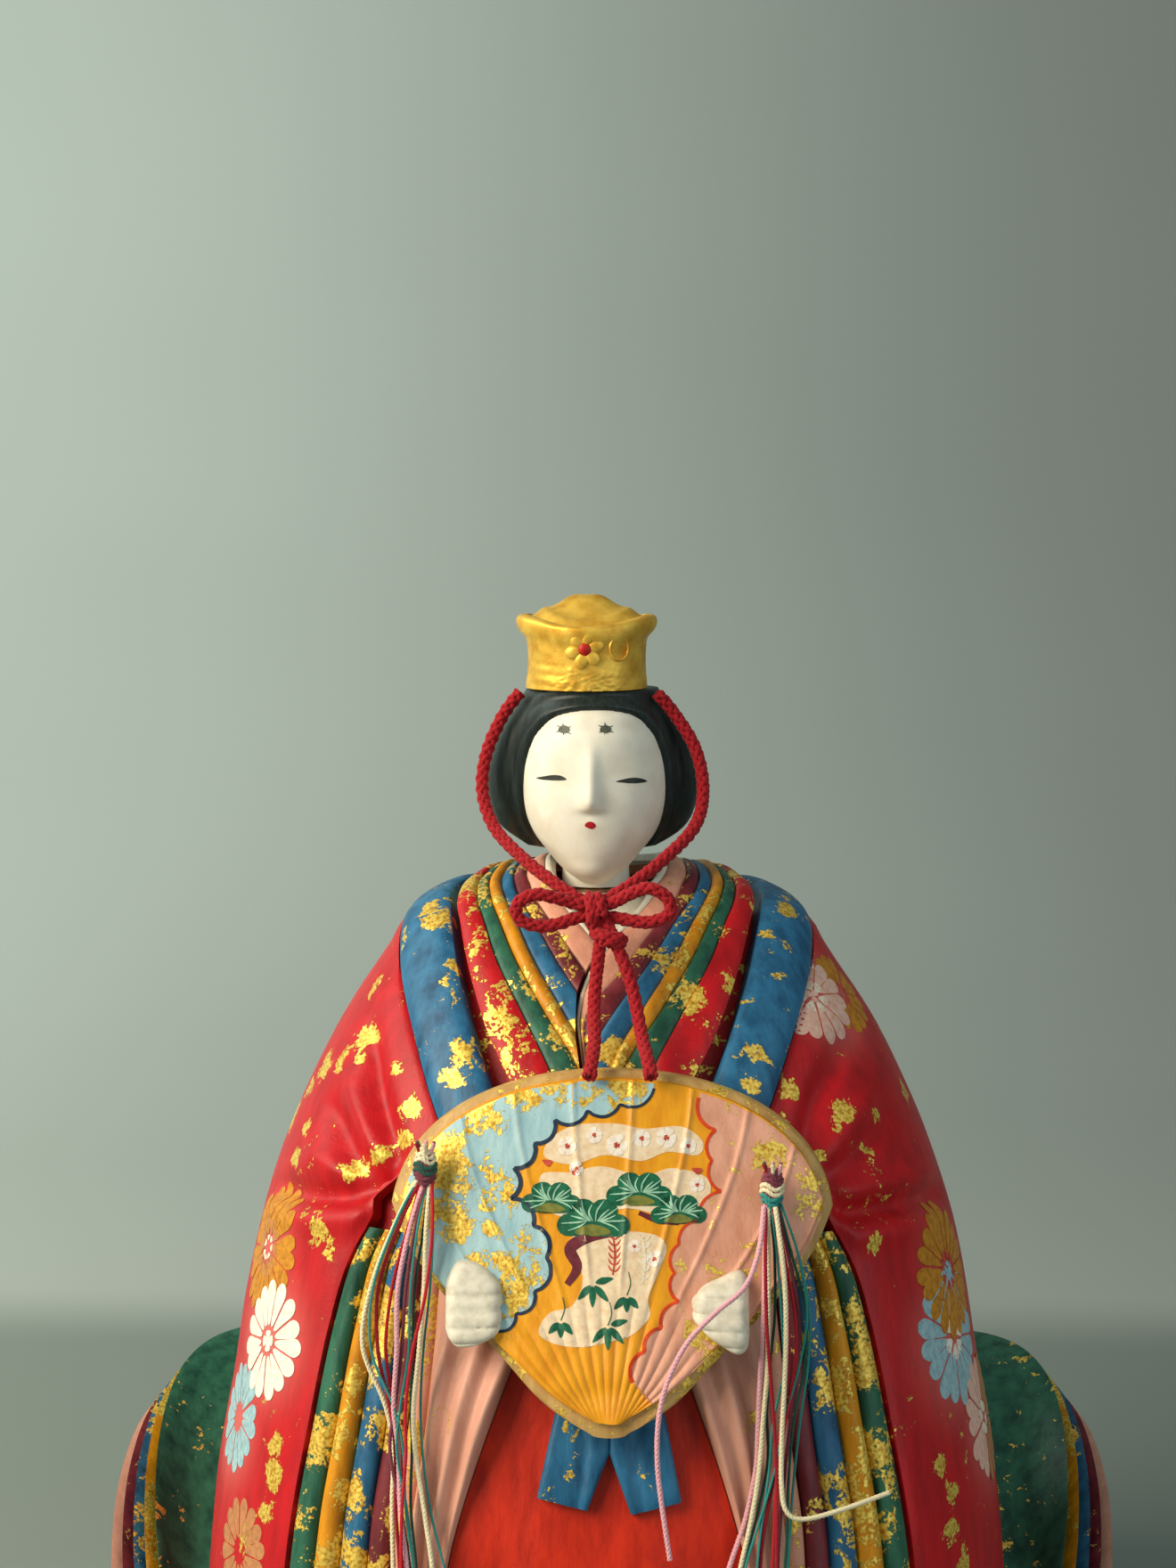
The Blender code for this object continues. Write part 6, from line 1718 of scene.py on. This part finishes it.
def makeHand(word, side):
    look = handLook
    rings = []
    for row in range(look["rows"] + 1):
        along = row / look["rows"]
        roundEnd = (1 - abs(2 * along - 1) ** 7) ** 0.5
        x = side * between(look["outer"], look["inner"], along)
        high = smooth(handPlaces, handTops[word], along) * mm
        low = smooth(handPlaces, handLows[word], along) * mm
        ring = []
        for k in range(look["sides"]):
            angle = tau * k / look["sides"]
            level = copysign(abs(sin(angle)) ** 0.8, sin(angle)) * between(0.6, 1, roundEnd)
            z = between(low, high, (level + 1) / 2)
            knuckle = abs(sin(pi * (z - 72.2 * mm - 0.35 * mm * along) / look["finger"])) ** 0.4
            knuckle = between(1, knuckle, ease(0.9, 0.55, (z / mm - 71) / 12.5))
            tip = 0.4 * mm * (knuckle - 1) * ease(0.6, 1, along)
            y = fanFrontY(x, z) + 0.6 * mm
            if cos(angle) > 0:
                full = look["depth"] * between(1, 0.72, along) * roundEnd * cos(angle) ** 0.4
                y -= full - look["groove"] * (1 - knuckle) * ease(0, 0.12, along) * ease(0, 0.5, cos(angle))
            ring.append(Vector((x - side * tip, y, z)))
        rings.append(ring)
    piece = ringPiece(f"hand_{word}_clay", rings, 60)
    dress(piece, handPaint, "robe", "clay_white", f"hand_{word}")


handPaint = plainPaint("handShellWhite", ("#E2DCCB", "#C9C1AD"), 0.58, 1.6 * mm)
makeHand("left", -1)
makeHand("right", 1)

# The two sash ends below the fan, with a notch between them
sashLook = {"x": 1.8 * mm, "top": 64.2 * mm, "height": 16 * mm, "halfWidth": 10.3 * mm, "thick": 1.7 * mm}


def makeSash():
    look = sashLook
    for word, side in (("left", -1), ("right", 1)):
        def surface(across, up):
            # Each end widens downwards; its foot slopes up towards the middle
            outer = between(1.0, 0.7, up)
            inner = max(between(0.3, 0, up / 0.5), 0)
            share = between(inner, outer, across)
            foot = between(1, 0.9, across) + 0.015 * side
            x = look["x"] + side * share * look["halfWidth"]
            z = look["top"] - look["height"] * foot * (1 - up)
            return formPoint(formAngle(x, z), z)

        def top(across, up):
            turned = 0.5 * mm * (abs(2 * across - 1) ** 16 + (1 - up) ** 16)
            crease = 0.35 * mm * exp(-((across - between(0.2, 0.6, up)) / 0.1) ** 2)
            return raised(surface(across, up), gap - 2.5 * mm + look["thick"] - turned - crease)

        def under(across, up):
            return raised(surface(across, up), -2.4 * mm)
        piece = slabPiece(f"sashEnd_{word}", 26, 36, top, under)
        layLeaf(piece, [((side * 5 + 1.8, -54, 54), 2.6, 0.85)], 0.4, 5 * mm)
        dress(piece, clay["blue"], "robe", "clay_blue", "sash_ends")


makeSash()
print("hands and sash made")

# The train: layers that spread and turn up round the sides and back
trainLook = {"endAngle": radians(78), "radius": 82 * mm, "height": 46 * mm, "dip": 2 * mm, "pitch": 2.3 * mm,
             "pitchShare": 0.18, "reveal": 1.9 * mm, "draw": 5 * mm, "lipDrop": 0.8 * mm, "columns": 26, "rows": 200}
trainPlaces = (0, 0.07, 0.12, 0.19, 0.27, 0.36, 0.46, 0.6, 0.8, 1)
trainRims = (0.811, 0.850, 0.871, 0.908, 0.945, 0.975, 0.972, 0.822, 0.648, 0.608)
trainHeights = (0.11, 0.25, 0.38, 0.60, 0.80, 0.95, 1, 0.985, 0.95, 0.93)
trainInners = (0.10, 0.2, 0.26, 0.38, 0.58, 0.80, 0.93, 0.98, 1, 1)


def makeTrain():
    look = trainLook
    colours = {"green": 0.4, "yellow": 0.8, "blue": 0.6, "maroon": 0.5, "pink": 0.2}
    for layer, (colour, leaf) in enumerate(colours.items()):
        lowest = layer == len(colours) - 1

        @lru_cache(maxsize=None)
        def section(turn):
            mirrored = 1 - abs(2 * turn - 1)
            rimHeight = look["height"] * smooth(trainPlaces, trainHeights, mirrored)
            innerHeight = look["height"] * smooth(trainPlaces, trainInners, mirrored)
            pitch = min(look["pitch"], rimHeight * look["pitchShare"])
            rim = look["radius"] * smooth(trainPlaces, trainRims, mirrored) + look["reveal"] * layer
            rimHeight -= pitch * layer
            innerHeight -= pitch * layer
            angle = look["endAngle"] + (tau - 2 * look["endAngle"]) * turn
            low = max(innerHeight * 0.5 if lowest else innerHeight - pitch + gap, 0)
            inner = formPoint(angle, low)
            foot = formPoint(angle, 0)
            return {"angle": angle, "rim": rim, "rimHeight": rimHeight, "innerHeight": innerHeight, "pitch": pitch,
                    "inner": hypot(inner.x, inner.y) + gap, "foot": hypot(foot.x, foot.y) + gap}

        def height(across, turn):
            cut = section(turn)
            level = cut["innerHeight"] + (cut["rimHeight"] - cut["innerHeight"]) * across ** 2
            level -= look["dip"] * sin(pi * across) * min(1, cut["innerHeight"] / look["height"])
            return max(level, cut["pitch"] * (len(colours) - layer) - gap)

        def top(across, turn):
            cut = section(turn)
            radius = between(cut["inner"], cut["rim"], across)
            return around(cut["angle"], radius, height(across, turn) - look["lipDrop"] * across ** 14)

        def under(across, turn):
            cut = section(turn)
            if lowest:
                drawn = look["draw"] * min(1, cut["rimHeight"] / look["height"])
                return around(cut["angle"], between(cut["foot"], cut["rim"] - drawn, across), 0)
            radius = between(cut["inner"], cut["rim"], across)
            return around(cut["angle"], radius, height(across, turn) - cut["pitch"] + 0.1 * mm)
        piece = slabPiece(f"trainLayer_{colour}", look["columns"], look["rows"], top, under)
        layLeaf(piece, base=leaf, clump=10 * mm)
        dress(piece, clay[colour], "robe", f"clay_{colour}", f"train_{colour}")


makeTrain()
print("train made")

# The head: an egg with a slender nose, closed eyes and a small mouth
headLook = {"x": -1.7 * mm, "y": -9 * mm, "halfWidth": 11.3 * mm, "front": 12.5 * mm, "back": 13.5 * mm,
            "low": 131.9 * mm, "high": 160.1 * mm, "nose": 2.1 * mm, "bridge": 1.1 * mm, "tip": 1.5 * mm,
            "neckX": -1.7 * mm, "neckY": -4 * mm, "rows": 110, "sides": 144}
neckRings = ((130.4, 5.2), (131.4, 5.2), (133, 5.1), (135, 5.2), (137, 5.6), (139, 6.2))
headTables = ((0, 0.06, 0.15, 0.25, 0.4, 0.54, 0.68, 0.82, 0.94, 1),
              (0.22, 0.42, 0.62, 0.81, 0.96, 1, 0.97, 0.87, 0.66, 0.35),
              (0.55, 0.78, 0.88, 0.94, 0.98, 1, 0.99, 0.93, 0.75, 0.4),
              (0.1, 0.2, 0.45, 0.7, 0.9, 1, 1, 0.88, 0.62, 0.3))
noseLevels = (0, 0.36, 0.385, 0.4, 0.42, 0.45, 0.49, 0.6, 0.72, 0.8, 1)
noseRises = (0, 0, 0, 0.12, 0.6, 0.94, 1, 0.6, 0.22, 0, 0)


def eggRing(share, look, tables, sides):
    levels, widths, fronts, backs = tables
    return ovalRow(look["x"], look["y"], between(look["low"], look["high"], share),
                   look["halfWidth"] * smooth(levels, widths, share), look["front"] * smooth(levels, fronts, share),
                   look["back"] * smooth(levels, backs, share), sides)


def faceRise(place, share):
    # Nose, eye hollows, cheeks and lips, as depth in front of the plain egg
    look = headLook
    x = place.x - look["x"] + 0.2 * mm
    width = between(look["tip"], look["bridge"], ease(0.46, 0.66, share))
    rise = look["nose"] * smooth(noseLevels, noseRises, share) * exp(-(x / width) ** 2)
    for side in (-1, 1):
        eye = hypot((x - side * 4.2 * mm) / (2.6 * mm), (share - 0.61) / 0.11)
        rise -= 0.35 * mm * exp(-eye ** 2)
        cheek = hypot((x - side * 5.6 * mm) / (3.6 * mm), (share - 0.38) / 0.14)
        rise += 0.3 * mm * exp(-cheek ** 2)
    lips = hypot(x / (1.6 * mm), (share - 0.335) / 0.045)
    return rise + 0.2 * mm * exp(-lips ** 2)


def roundedEnds(rings, drop, rise):
    # Extra rings that round off both ends of a body of rings
    ends = []
    for ring, lift in ((rings[0], -drop), (rings[-1], rise)):
        middle = middleOf(ring)
        extra = []
        for inward in (0.85, 0.65, 0.4, 0.15):
            level = lift * (1 - inward ** 2)
            extra.append([middle.lerp(point, inward) + Vector((0, 0, level)) for point in ring])
        ends.append(extra)
    return list(reversed(ends[0])) + rings + ends[1]


def makeHead():
    look = headLook
    rings = []
    for row in range(look["rows"] + 1):
        share = row / look["rows"]
        ring = eggRing(share, look, headTables, look["sides"])
        for point in ring:
            if point.y < look["y"]:
                point.y -= faceRise(point, share) * ease(0, 0.35, (look["y"] - point.y) / look["front"])
        rings.append(ring)
    piece = ringPiece("headClay", roundedEnds(rings, 0.7 * mm, 1.2 * mm), 80)
    neck = ringPiece("neckClay", [ovalRow(look["neckX"], look["neckY"], height * mm, *[radius * mm] * 3, 72)
                                  for height, radius in neckRings])
    for part in (piece, neck):
        dress(part, facePaint, "head", "clay_white", "head")
    return piece


facePaint = plainPaint("faceShellWhite", ("#EFE9DA", "#E4DCC9"), 0.55, 3.5 * mm, 0.12)
head = makeHead()

# Eyes, brows and mouth, painted on the face
faceMarks = {
    "ink": ([((-10.15, 148.0), (-9.0, 148.35), (-7.6, 148.65), (-6.3, 148.6), (-5.5, 148.1), (-6.6, 147.9),
              (-8.2, 147.85), (-9.3, 147.85)),
             ((1.8, 147.85), (3.0, 148.15), (4.3, 148.3), (5.5, 148.1), (6.35, 147.6), (5.3, 147.45), (3.9, 147.5),
              (2.8, 147.65))], []),
    "smudge": ([((-6.8, 155.3), (-6.2, 156.0), (-5.4, 155.9), (-5.0, 155.4), (-5.5, 154.9), (-6.3, 154.9)),
                ((-0.6, 155.5), (-0.1, 156.1), (0.7, 156.0), (1.1, 155.5), (0.6, 155.0), (-0.2, 155.1))],
               [((-7.0, 155.9), (-5.8, 155.6), (-4.9, 155.9)), ((-7.1, 155.0), (-5.9, 155.2), (-4.8, 154.8)),
                ((-6.1, 156.3), (-5.9, 155.4), (-6.0, 154.6)), ((-0.8, 156.1), (0.3, 155.8), (1.3, 156.0)),
                ((-0.7, 155.1), (0.4, 155.3), (1.4, 155.1)), ((0.1, 156.5), (0.3, 155.6), (0.1, 154.8))]),
    "lip": ([((-2.6, 141.7), (-2.0, 141.95), (-1.4, 141.75), (-1.15, 141.3), (-1.6, 140.85), (-2.3, 141.0),
              (-2.75, 141.3))], [])}


def paintFace():
    lay = layerOn(head, Vector((0, -20 * mm, 0)), Vector((1, 0, 0)), Vector((0, -1, 0)))
    for name, (outlines, strokes) in faceMarks.items():
        piece = paintShell(f"face_{name}", [closedCurve(outline) for outline in outlines],
                           [brushStroke(stroke, (0.08, 0.28, 0.08)) for stroke in strokes], lay, 0.4 * mm, 0.05 * mm)
        dress(piece, brush[name], "head", "clay_vermilion" if name == "lip" else "clay_hair")


paintFace()
print("face painted")

# The hair round the face: a cap whose edge is raised in a narrow rim, with a groove behind it
capLook = {"x": -2.1 * mm, "y": -6.5 * mm, "halfWidth": 16 * mm, "front": 11.2 * mm, "back": 13.5 * mm,
           "low": 136.6 * mm, "high": 160.8 * mm, "rim": 0.5 * mm, "groove": 0.4 * mm, "nape": 1.6 * mm,
           "rows": 90, "sides": 200}
capTables = ((0, 0.12, 0.27, 0.42, 0.56, 0.75, 0.9, 1),
             (0.62, 0.87, 0.985, 1.01, 0.975, 0.865, 0.715, 0.62),
             (0.10, 0.42, 0.68, 0.79, 0.86, 0.98, 1.08, 1.03),
             (0.60, 0.8, 0.95, 1, 1, 0.94, 0.76, 0.5))


def makeHairCap():
    look = capLook
    skin = surfaceTree(head)
    rings = []
    for row in range(look["rows"] + 1):
        ring = []
        share = row / look["rows"]
        plain = eggRing(share, look, capTables, look["sides"])
        middle = middleOf(plain)
        for point in plain:
            place, normal, _, away = skin.find_nearest(point)
            outside = (point - place).dot(normal) > 0
            outward = Vector((point.x - middle.x, point.y - middle.y, 0)).normalized()
            if outside and point.y < 2 * mm:
                rim = look["rim"] * exp(-((away - 0.5 * mm) / (0.45 * mm)) ** 2)
                groove = look["groove"] * exp(-((away - 1.7 * mm) / (0.5 * mm)) ** 2)
                point = point + outward * (rim - groove)
            behind = ease(0, 0.7, (point.y - look["y"]) / look["back"])
            ring.append(point - Vector((0, 0, look["nape"] * behind * ease(0.3, 0, share))))
        rings.append(ring)
    piece = ringPiece("hairCap", roundedEnds(rings, 0.8 * mm, 0.7 * mm), 60)
    dress(piece, hairPaint, "head", "clay_hair", "hair_cap")


makeHairCap()
print("head and hair made")

# The crown: a flaring band of gilded clay, a low dome, a moulded flower with a red dot, and a scroll
crownLook = {"x": -2.9 * mm, "y": -9.5 * mm, "low": 161 * mm, "height": 11 * mm, "halfWidth": 9 * mm,
             "halfDepth": 8.7 * mm, "flare": 1.5 * mm, "wall": 1.2 * mm, "dip": 1.5 * mm, "domeRise": 3.0 * mm,
             "flower": 167.2 * mm, "petals": 6, "reach": 1.75 * mm, "petal": 1.3 * mm, "jewel": 1.05 * mm}
giltLook = {"bright": "#F2C552", "deep": "#D39A30", "roughness": 0.42, "metal": 0.45, "grain": 0.35 * mm,
            "worn": 2.4 * mm}
crownLevels = (0, 0.12, 0.2, 0.6, 0.7, 0.78, 0.86, 0.93, 1)
crownFlares = (0.1, 0.1, 0, 0, 0.22, 0.75, 1.05, 1.08, 0.85)


def giltClay(name):
    # Gold powder paint on clay: soft metal with grain and darker hollows
    look = giltLook
    material, tree, shader, coords = newMaterial(name, look["roughness"], look["metal"])
    grain = noiseOf(tree, coords, look["grain"], 5.0)
    worn = noiseOf(tree, coords, look["worn"], 6.0)
    bump = bumpOf(tree, worn, 0.3, 0.3 * mm, bumpOf(tree, grain, 0.35, 0.08 * mm))
    feed(tree, shader, {"Base Color": blend(tree, look["deep"], look["bright"], spread(tree, worn, 0.32, 0.62)),
                        "Normal": bump})
    return material


gilt = giltClay("giltClayPaint")


def crownRelief(angle, share):
    # Crumbs at the foot of the front, faint bands lower left, and a slight swell
    front = exp(-(angle / 0.55) ** 2)
    place = Vector((sin(angle) * 9, share * 9, 0.7))
    crumbs = max(noise.noise(place * 3.6), 0) * 0.55 * mm * front * ease(0.45, 0.15, share)
    bands = 0.035 * mm * cos(share * 42) * exp(-((angle + 0.85) / 0.4) ** 2) * ease(0.5, 0.35, share)
    uneven = 0.12 * mm * noise.noise(place * 0.45)
    return crumbs + bands + uneven


def crownRing(share, inset, sides=160):
    look = crownLook
    flare = look["flare"] * smooth(crownLevels, crownFlares, share)
    ring = []
    for k in range(sides):
        angle = tau * k / sides
        turned = atan2(sin(angle), cos(angle))
        sideShare = sin(angle) ** 2
        relief = crownRelief(turned, share) if inset == 0 and cos(angle) > -0.2 else 0
        halfWidth = look["halfWidth"] + flare * between(0.3, 1, sideShare ** 3) - inset + relief
        halfDepth = look["halfDepth"] + flare * 0.3 - inset + relief
        height = look["low"] + look["height"] * share - look["dip"] * (1 - sideShare) * share
        ring.append(Vector((look["x"] + halfWidth * sin(angle), look["y"] - halfDepth * cos(angle), height)))
    return ring


def makeCrown():
    look = crownLook
    outer = [crownRing(k / 48, 0) for k in range(47)]
    lip = [crownRing(share, depth * mm) for share, depth in ((0.985, 0.1), (1, 0.35), (1.01, 0.8), (1.005, 1.3))]
    inner = [crownRing(share, 1.6 * mm) for share in (0.97, 0.9)]
    inner += [crownRing(share, look["wall"]) for share in (0.8, 0.5, 0.2, 0)]
    band = loopPiece("crownBand", outer + lip + inner, 60)
    dress(band, gilt, "head", "clay_gold", "crown")
    halfWidth = look["halfWidth"] - 0.2 * mm
    halfDepth = look["halfDepth"] - 0.3 * mm
    base = look["low"] + look["height"] * 0.86
    rings = [ovalRow(look["x"], look["y"], look["low"] + 1 * mm, 0.8 * halfWidth, *[0.8 * halfDepth] * 2, 120)]
    for row in range(30):
        level = row / 29
        reach = 0.97 - 0.9 * level
        rise = look["height"] * 0.14 * ease(0, 0.3, level) + look["domeRise"] * exp(-(reach / 0.48) ** 3)
        ring = []
        for k in range(120):
            angle = tau * k / 120
            side = sin(angle) ** 2 * (1 - level)
            ring.append(Vector((look["x"] + halfWidth * reach * sin(angle),
                                look["y"] - halfDepth * reach * cos(angle), base + rise + 1.4 * mm * side
                                - look["dip"] * 0.8 * (1 - sin(angle) ** 2) * (1 - level))))
        rings.append(ring)
    dome = ringPiece("crownDome", roundedEnds(rings, 0.1 * mm, 0.03 * mm), 60)
    dress(dome, gilt, "head", "clay_gold", "crown_dome")


def crownFace(u, v, out):
    # A place on the crown's front: u to the right, v above the flower's middle
    look = crownLook
    angle = u / look["halfWidth"]
    return Vector((look["x"] + (look["halfWidth"] + out) * sin(angle),
                   look["y"] - (look["halfDepth"] + out) * cos(angle), look["flower"] + v))


def reliefDrop(name, u, v, width, height, turn, thick):
    # A small rounded drop of clay on the crown's front
    rings = []
    for row in range(1, 9):
        up = sin(pi / 2 * row / 9)
        reach = cos(pi / 2 * row / 9)
        ring = []
        for k in range(24):
            angle = tau * k / 24
            a = cos(angle) * width * reach
            b = sin(angle) * height * reach
            ring.append(crownFace(u + a * cos(turn) - b * sin(turn), v + a * sin(turn)
                                  + b * cos(turn), thick * up + 0.1 * mm))
        rings.append(ring)
    rings.insert(0, [point + Vector((0, 0.5 * mm, 0)) for point in rings[0]])
    return ringPiece(name, rings, 60)


def makeCrownFlower():
    look = crownLook
    for k in range(look["petals"]):
        turn = tau * k / look["petals"] + 0.25
        piece = reliefDrop(f"crownPetal_{k}", look["reach"] * cos(turn), look["reach"] * sin(turn),
                           look["petal"], 0.98 * mm, turn, 0.42 * mm)
        dress(piece, gilt, "head", "clay_gold", "crown_flower")
    dot = reliefDrop("crownRedDot", 0, 0, look["jewel"], look["jewel"], 0, 0.62 * mm)
    dress(dot, redDot, "head", "clay_vermilion", "crown_jewel")
    places = []
    for k in range(60):
        angle = radians(135 + 285 * k / 59)
        reach = between(1.65, 1.5, k / 59) * mm
        places.append(crownFace(5.4 * mm + reach * cos(angle), 0.1 * mm + 1.1 * reach * sin(angle), 0.12 * mm))
    dress(strandCurve("crownScroll", [places], 0.24 * mm), gilt, "head", "clay_gold", "crown_flower")


redDot = plainPaint("vermilionDotPaint", ("#C22A1C", "#9A1A10"), 0.4)
makeCrown()
makeCrownFlower()
print("crown made")

# Wood inside: the plate under the robe, the neck's peg and its socket keep the part's own solids
woodLook = {"light": "#C9A477", "dark": "#9A7347", "ring": 2.2 * mm, "stretch": (1, 0.12, 1), "roughness": 0.68}


def turnedWood(name):
    # Plain turned wood, unvarnished
    look = woodLook
    material, tree, shader, coords = newMaterial(name, look["roughness"])
    rings = noiseOf(tree, stretched(tree, coords, look["stretch"]), look["ring"], 5.0, Distortion=0.8)
    feed(tree, shader, {"Base Color": blend(tree, look["dark"], look["light"], spread(tree, rings, 0.35, 0.65))})
    return material


wood = turnedWood("turnedWood")
for word in ("base_plate", "neck_socket", "neck_peg"):
    for nodeSlot in frame["nodes"][word].material_slots:
        nodeSlot.material = wood
print("crown and wood done")


# Floor, backdrop and light
# Fade, left and right set the paper's painted light fall-off, brighter at the left and darker at the right
stageLook = {"table": "#7B8681", "wall": "#A0A9A5", "roughness": 0.85, "cloud": 1 / 2.2, "fade": 0.3, "left": 1.3,
             "right": 0.68, "start": 0.185, "end": 0.235, "bend": 0.75, "width": 6, "length": 5, "front": 1.5,
             "margin": 0.2, "room": "#C4CFCB", "roomLight": 0.42}
# Each light: place, target, size, power and colour
lights = (((-0.72, -0.46, 0.6), (0, 0, 0.09), 0.6, 12.8, "#FFF3DC"),
          ((0.85, -0.75, 0.45), (0, 0, 0.09), 0.9, 3.4, "#E4EEF2"),
          ((-1.1, 0.35, 0.8), (-0.55, 1.0, 0.5), 0.8, 9, "#EAF5EC"))


def paperSweep(name):
    # Matt paper that runs from the table up the wall; its colour changes softly where the table ends, and a painted
    # light fall-off makes it brighter on the left and darker on the right
    look = stageLook
    material, tree, shader, coords = newMaterial(name, look["roughness"])
    apart = addNode(tree, "ShaderNodeSeparateXYZ", links={0: coords}).outputs
    far = spread(tree, apart["Y"], look["start"], look["end"], kind="SMOOTHSTEP")
    cloud = spread(tree, noiseOf(tree, coords, look["cloud"], 2.0), 0, 1, 0.86, 1.12)
    # Painted light fall-off: the colour is multiplied by 1.3 at the left and by 0.68 at the right
    fade = spread(tree, apart["X"], -look["fade"], look["fade"], look["left"], look["right"], "SMOOTHSTEP")
    mottleAndPaintedFalloff = reckon(tree, "MULTIPLY", {}, {0: cloud, 1: fade})
    plain = blend(tree, look["table"], look["wall"], far)
    feed(tree, shader, {"Base Color": blend(tree, plain, mottleAndPaintedFalloff, 1.0, "MULTIPLY")})
    return material


def areaLight(place, target, size, power, colour):
    bpy.ops.object.light_add(type="AREA", location=place)
    lamp = bpy.context.object
    lamp.data.size = size
    lamp.data.energy = power
    lamp.data.color = toLinear(colour)[:3]
    lamp.rotation_euler = (Vector(target) - Vector(place)).to_track_quat("-Z", "Y").to_euler()


def makeStage():
    look = stageLook
    deselectAll()
    bpy.ops.mesh.primitive_grid_add(x_subdivisions=8, y_subdivisions=96, size=1)
    sweep = named("paperSweep")
    for vertex in sweep.data.vertices:
        along = (vertex.co.y + 0.5) * look["length"]
        flat = look["front"] + look["start"] + look["margin"]
        turn = min(max(along - flat, 0) / look["bend"], pi / 2)
        up = max(along - flat - look["bend"] * pi / 2, 0)
        back = min(along, flat) - look["front"] + look["bend"] * sin(turn)
        vertex.co = Vector((vertex.co.x * look["width"], back, look["bend"] * (1 - cos(turn)) + up))
    smoothShade(sweep, 60)
    sweep.data.materials.append(paperSweep("paperSweep"))
    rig.stage(sweep)
    for light in lights:
        areaLight(*light)
    world = bpy.data.worlds.new("softRoom")
    bpy.context.scene.world = world
    world.use_nodes = True
    room = world.node_tree.nodes["Background"]
    room.inputs["Color"].default_value = toLinear(look["room"])
    room.inputs["Strength"].default_value = look["roomLight"]
    bpy.context.scene.view_settings.view_transform = "Standard"


makeStage()
print("stage made")

with open("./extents.json", "w") as sizeFile:
    json.dump({"cad": [list(corner) for corner in cadBox], "dressed": [list(corner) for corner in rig.bounds()]},
              sizeFile)
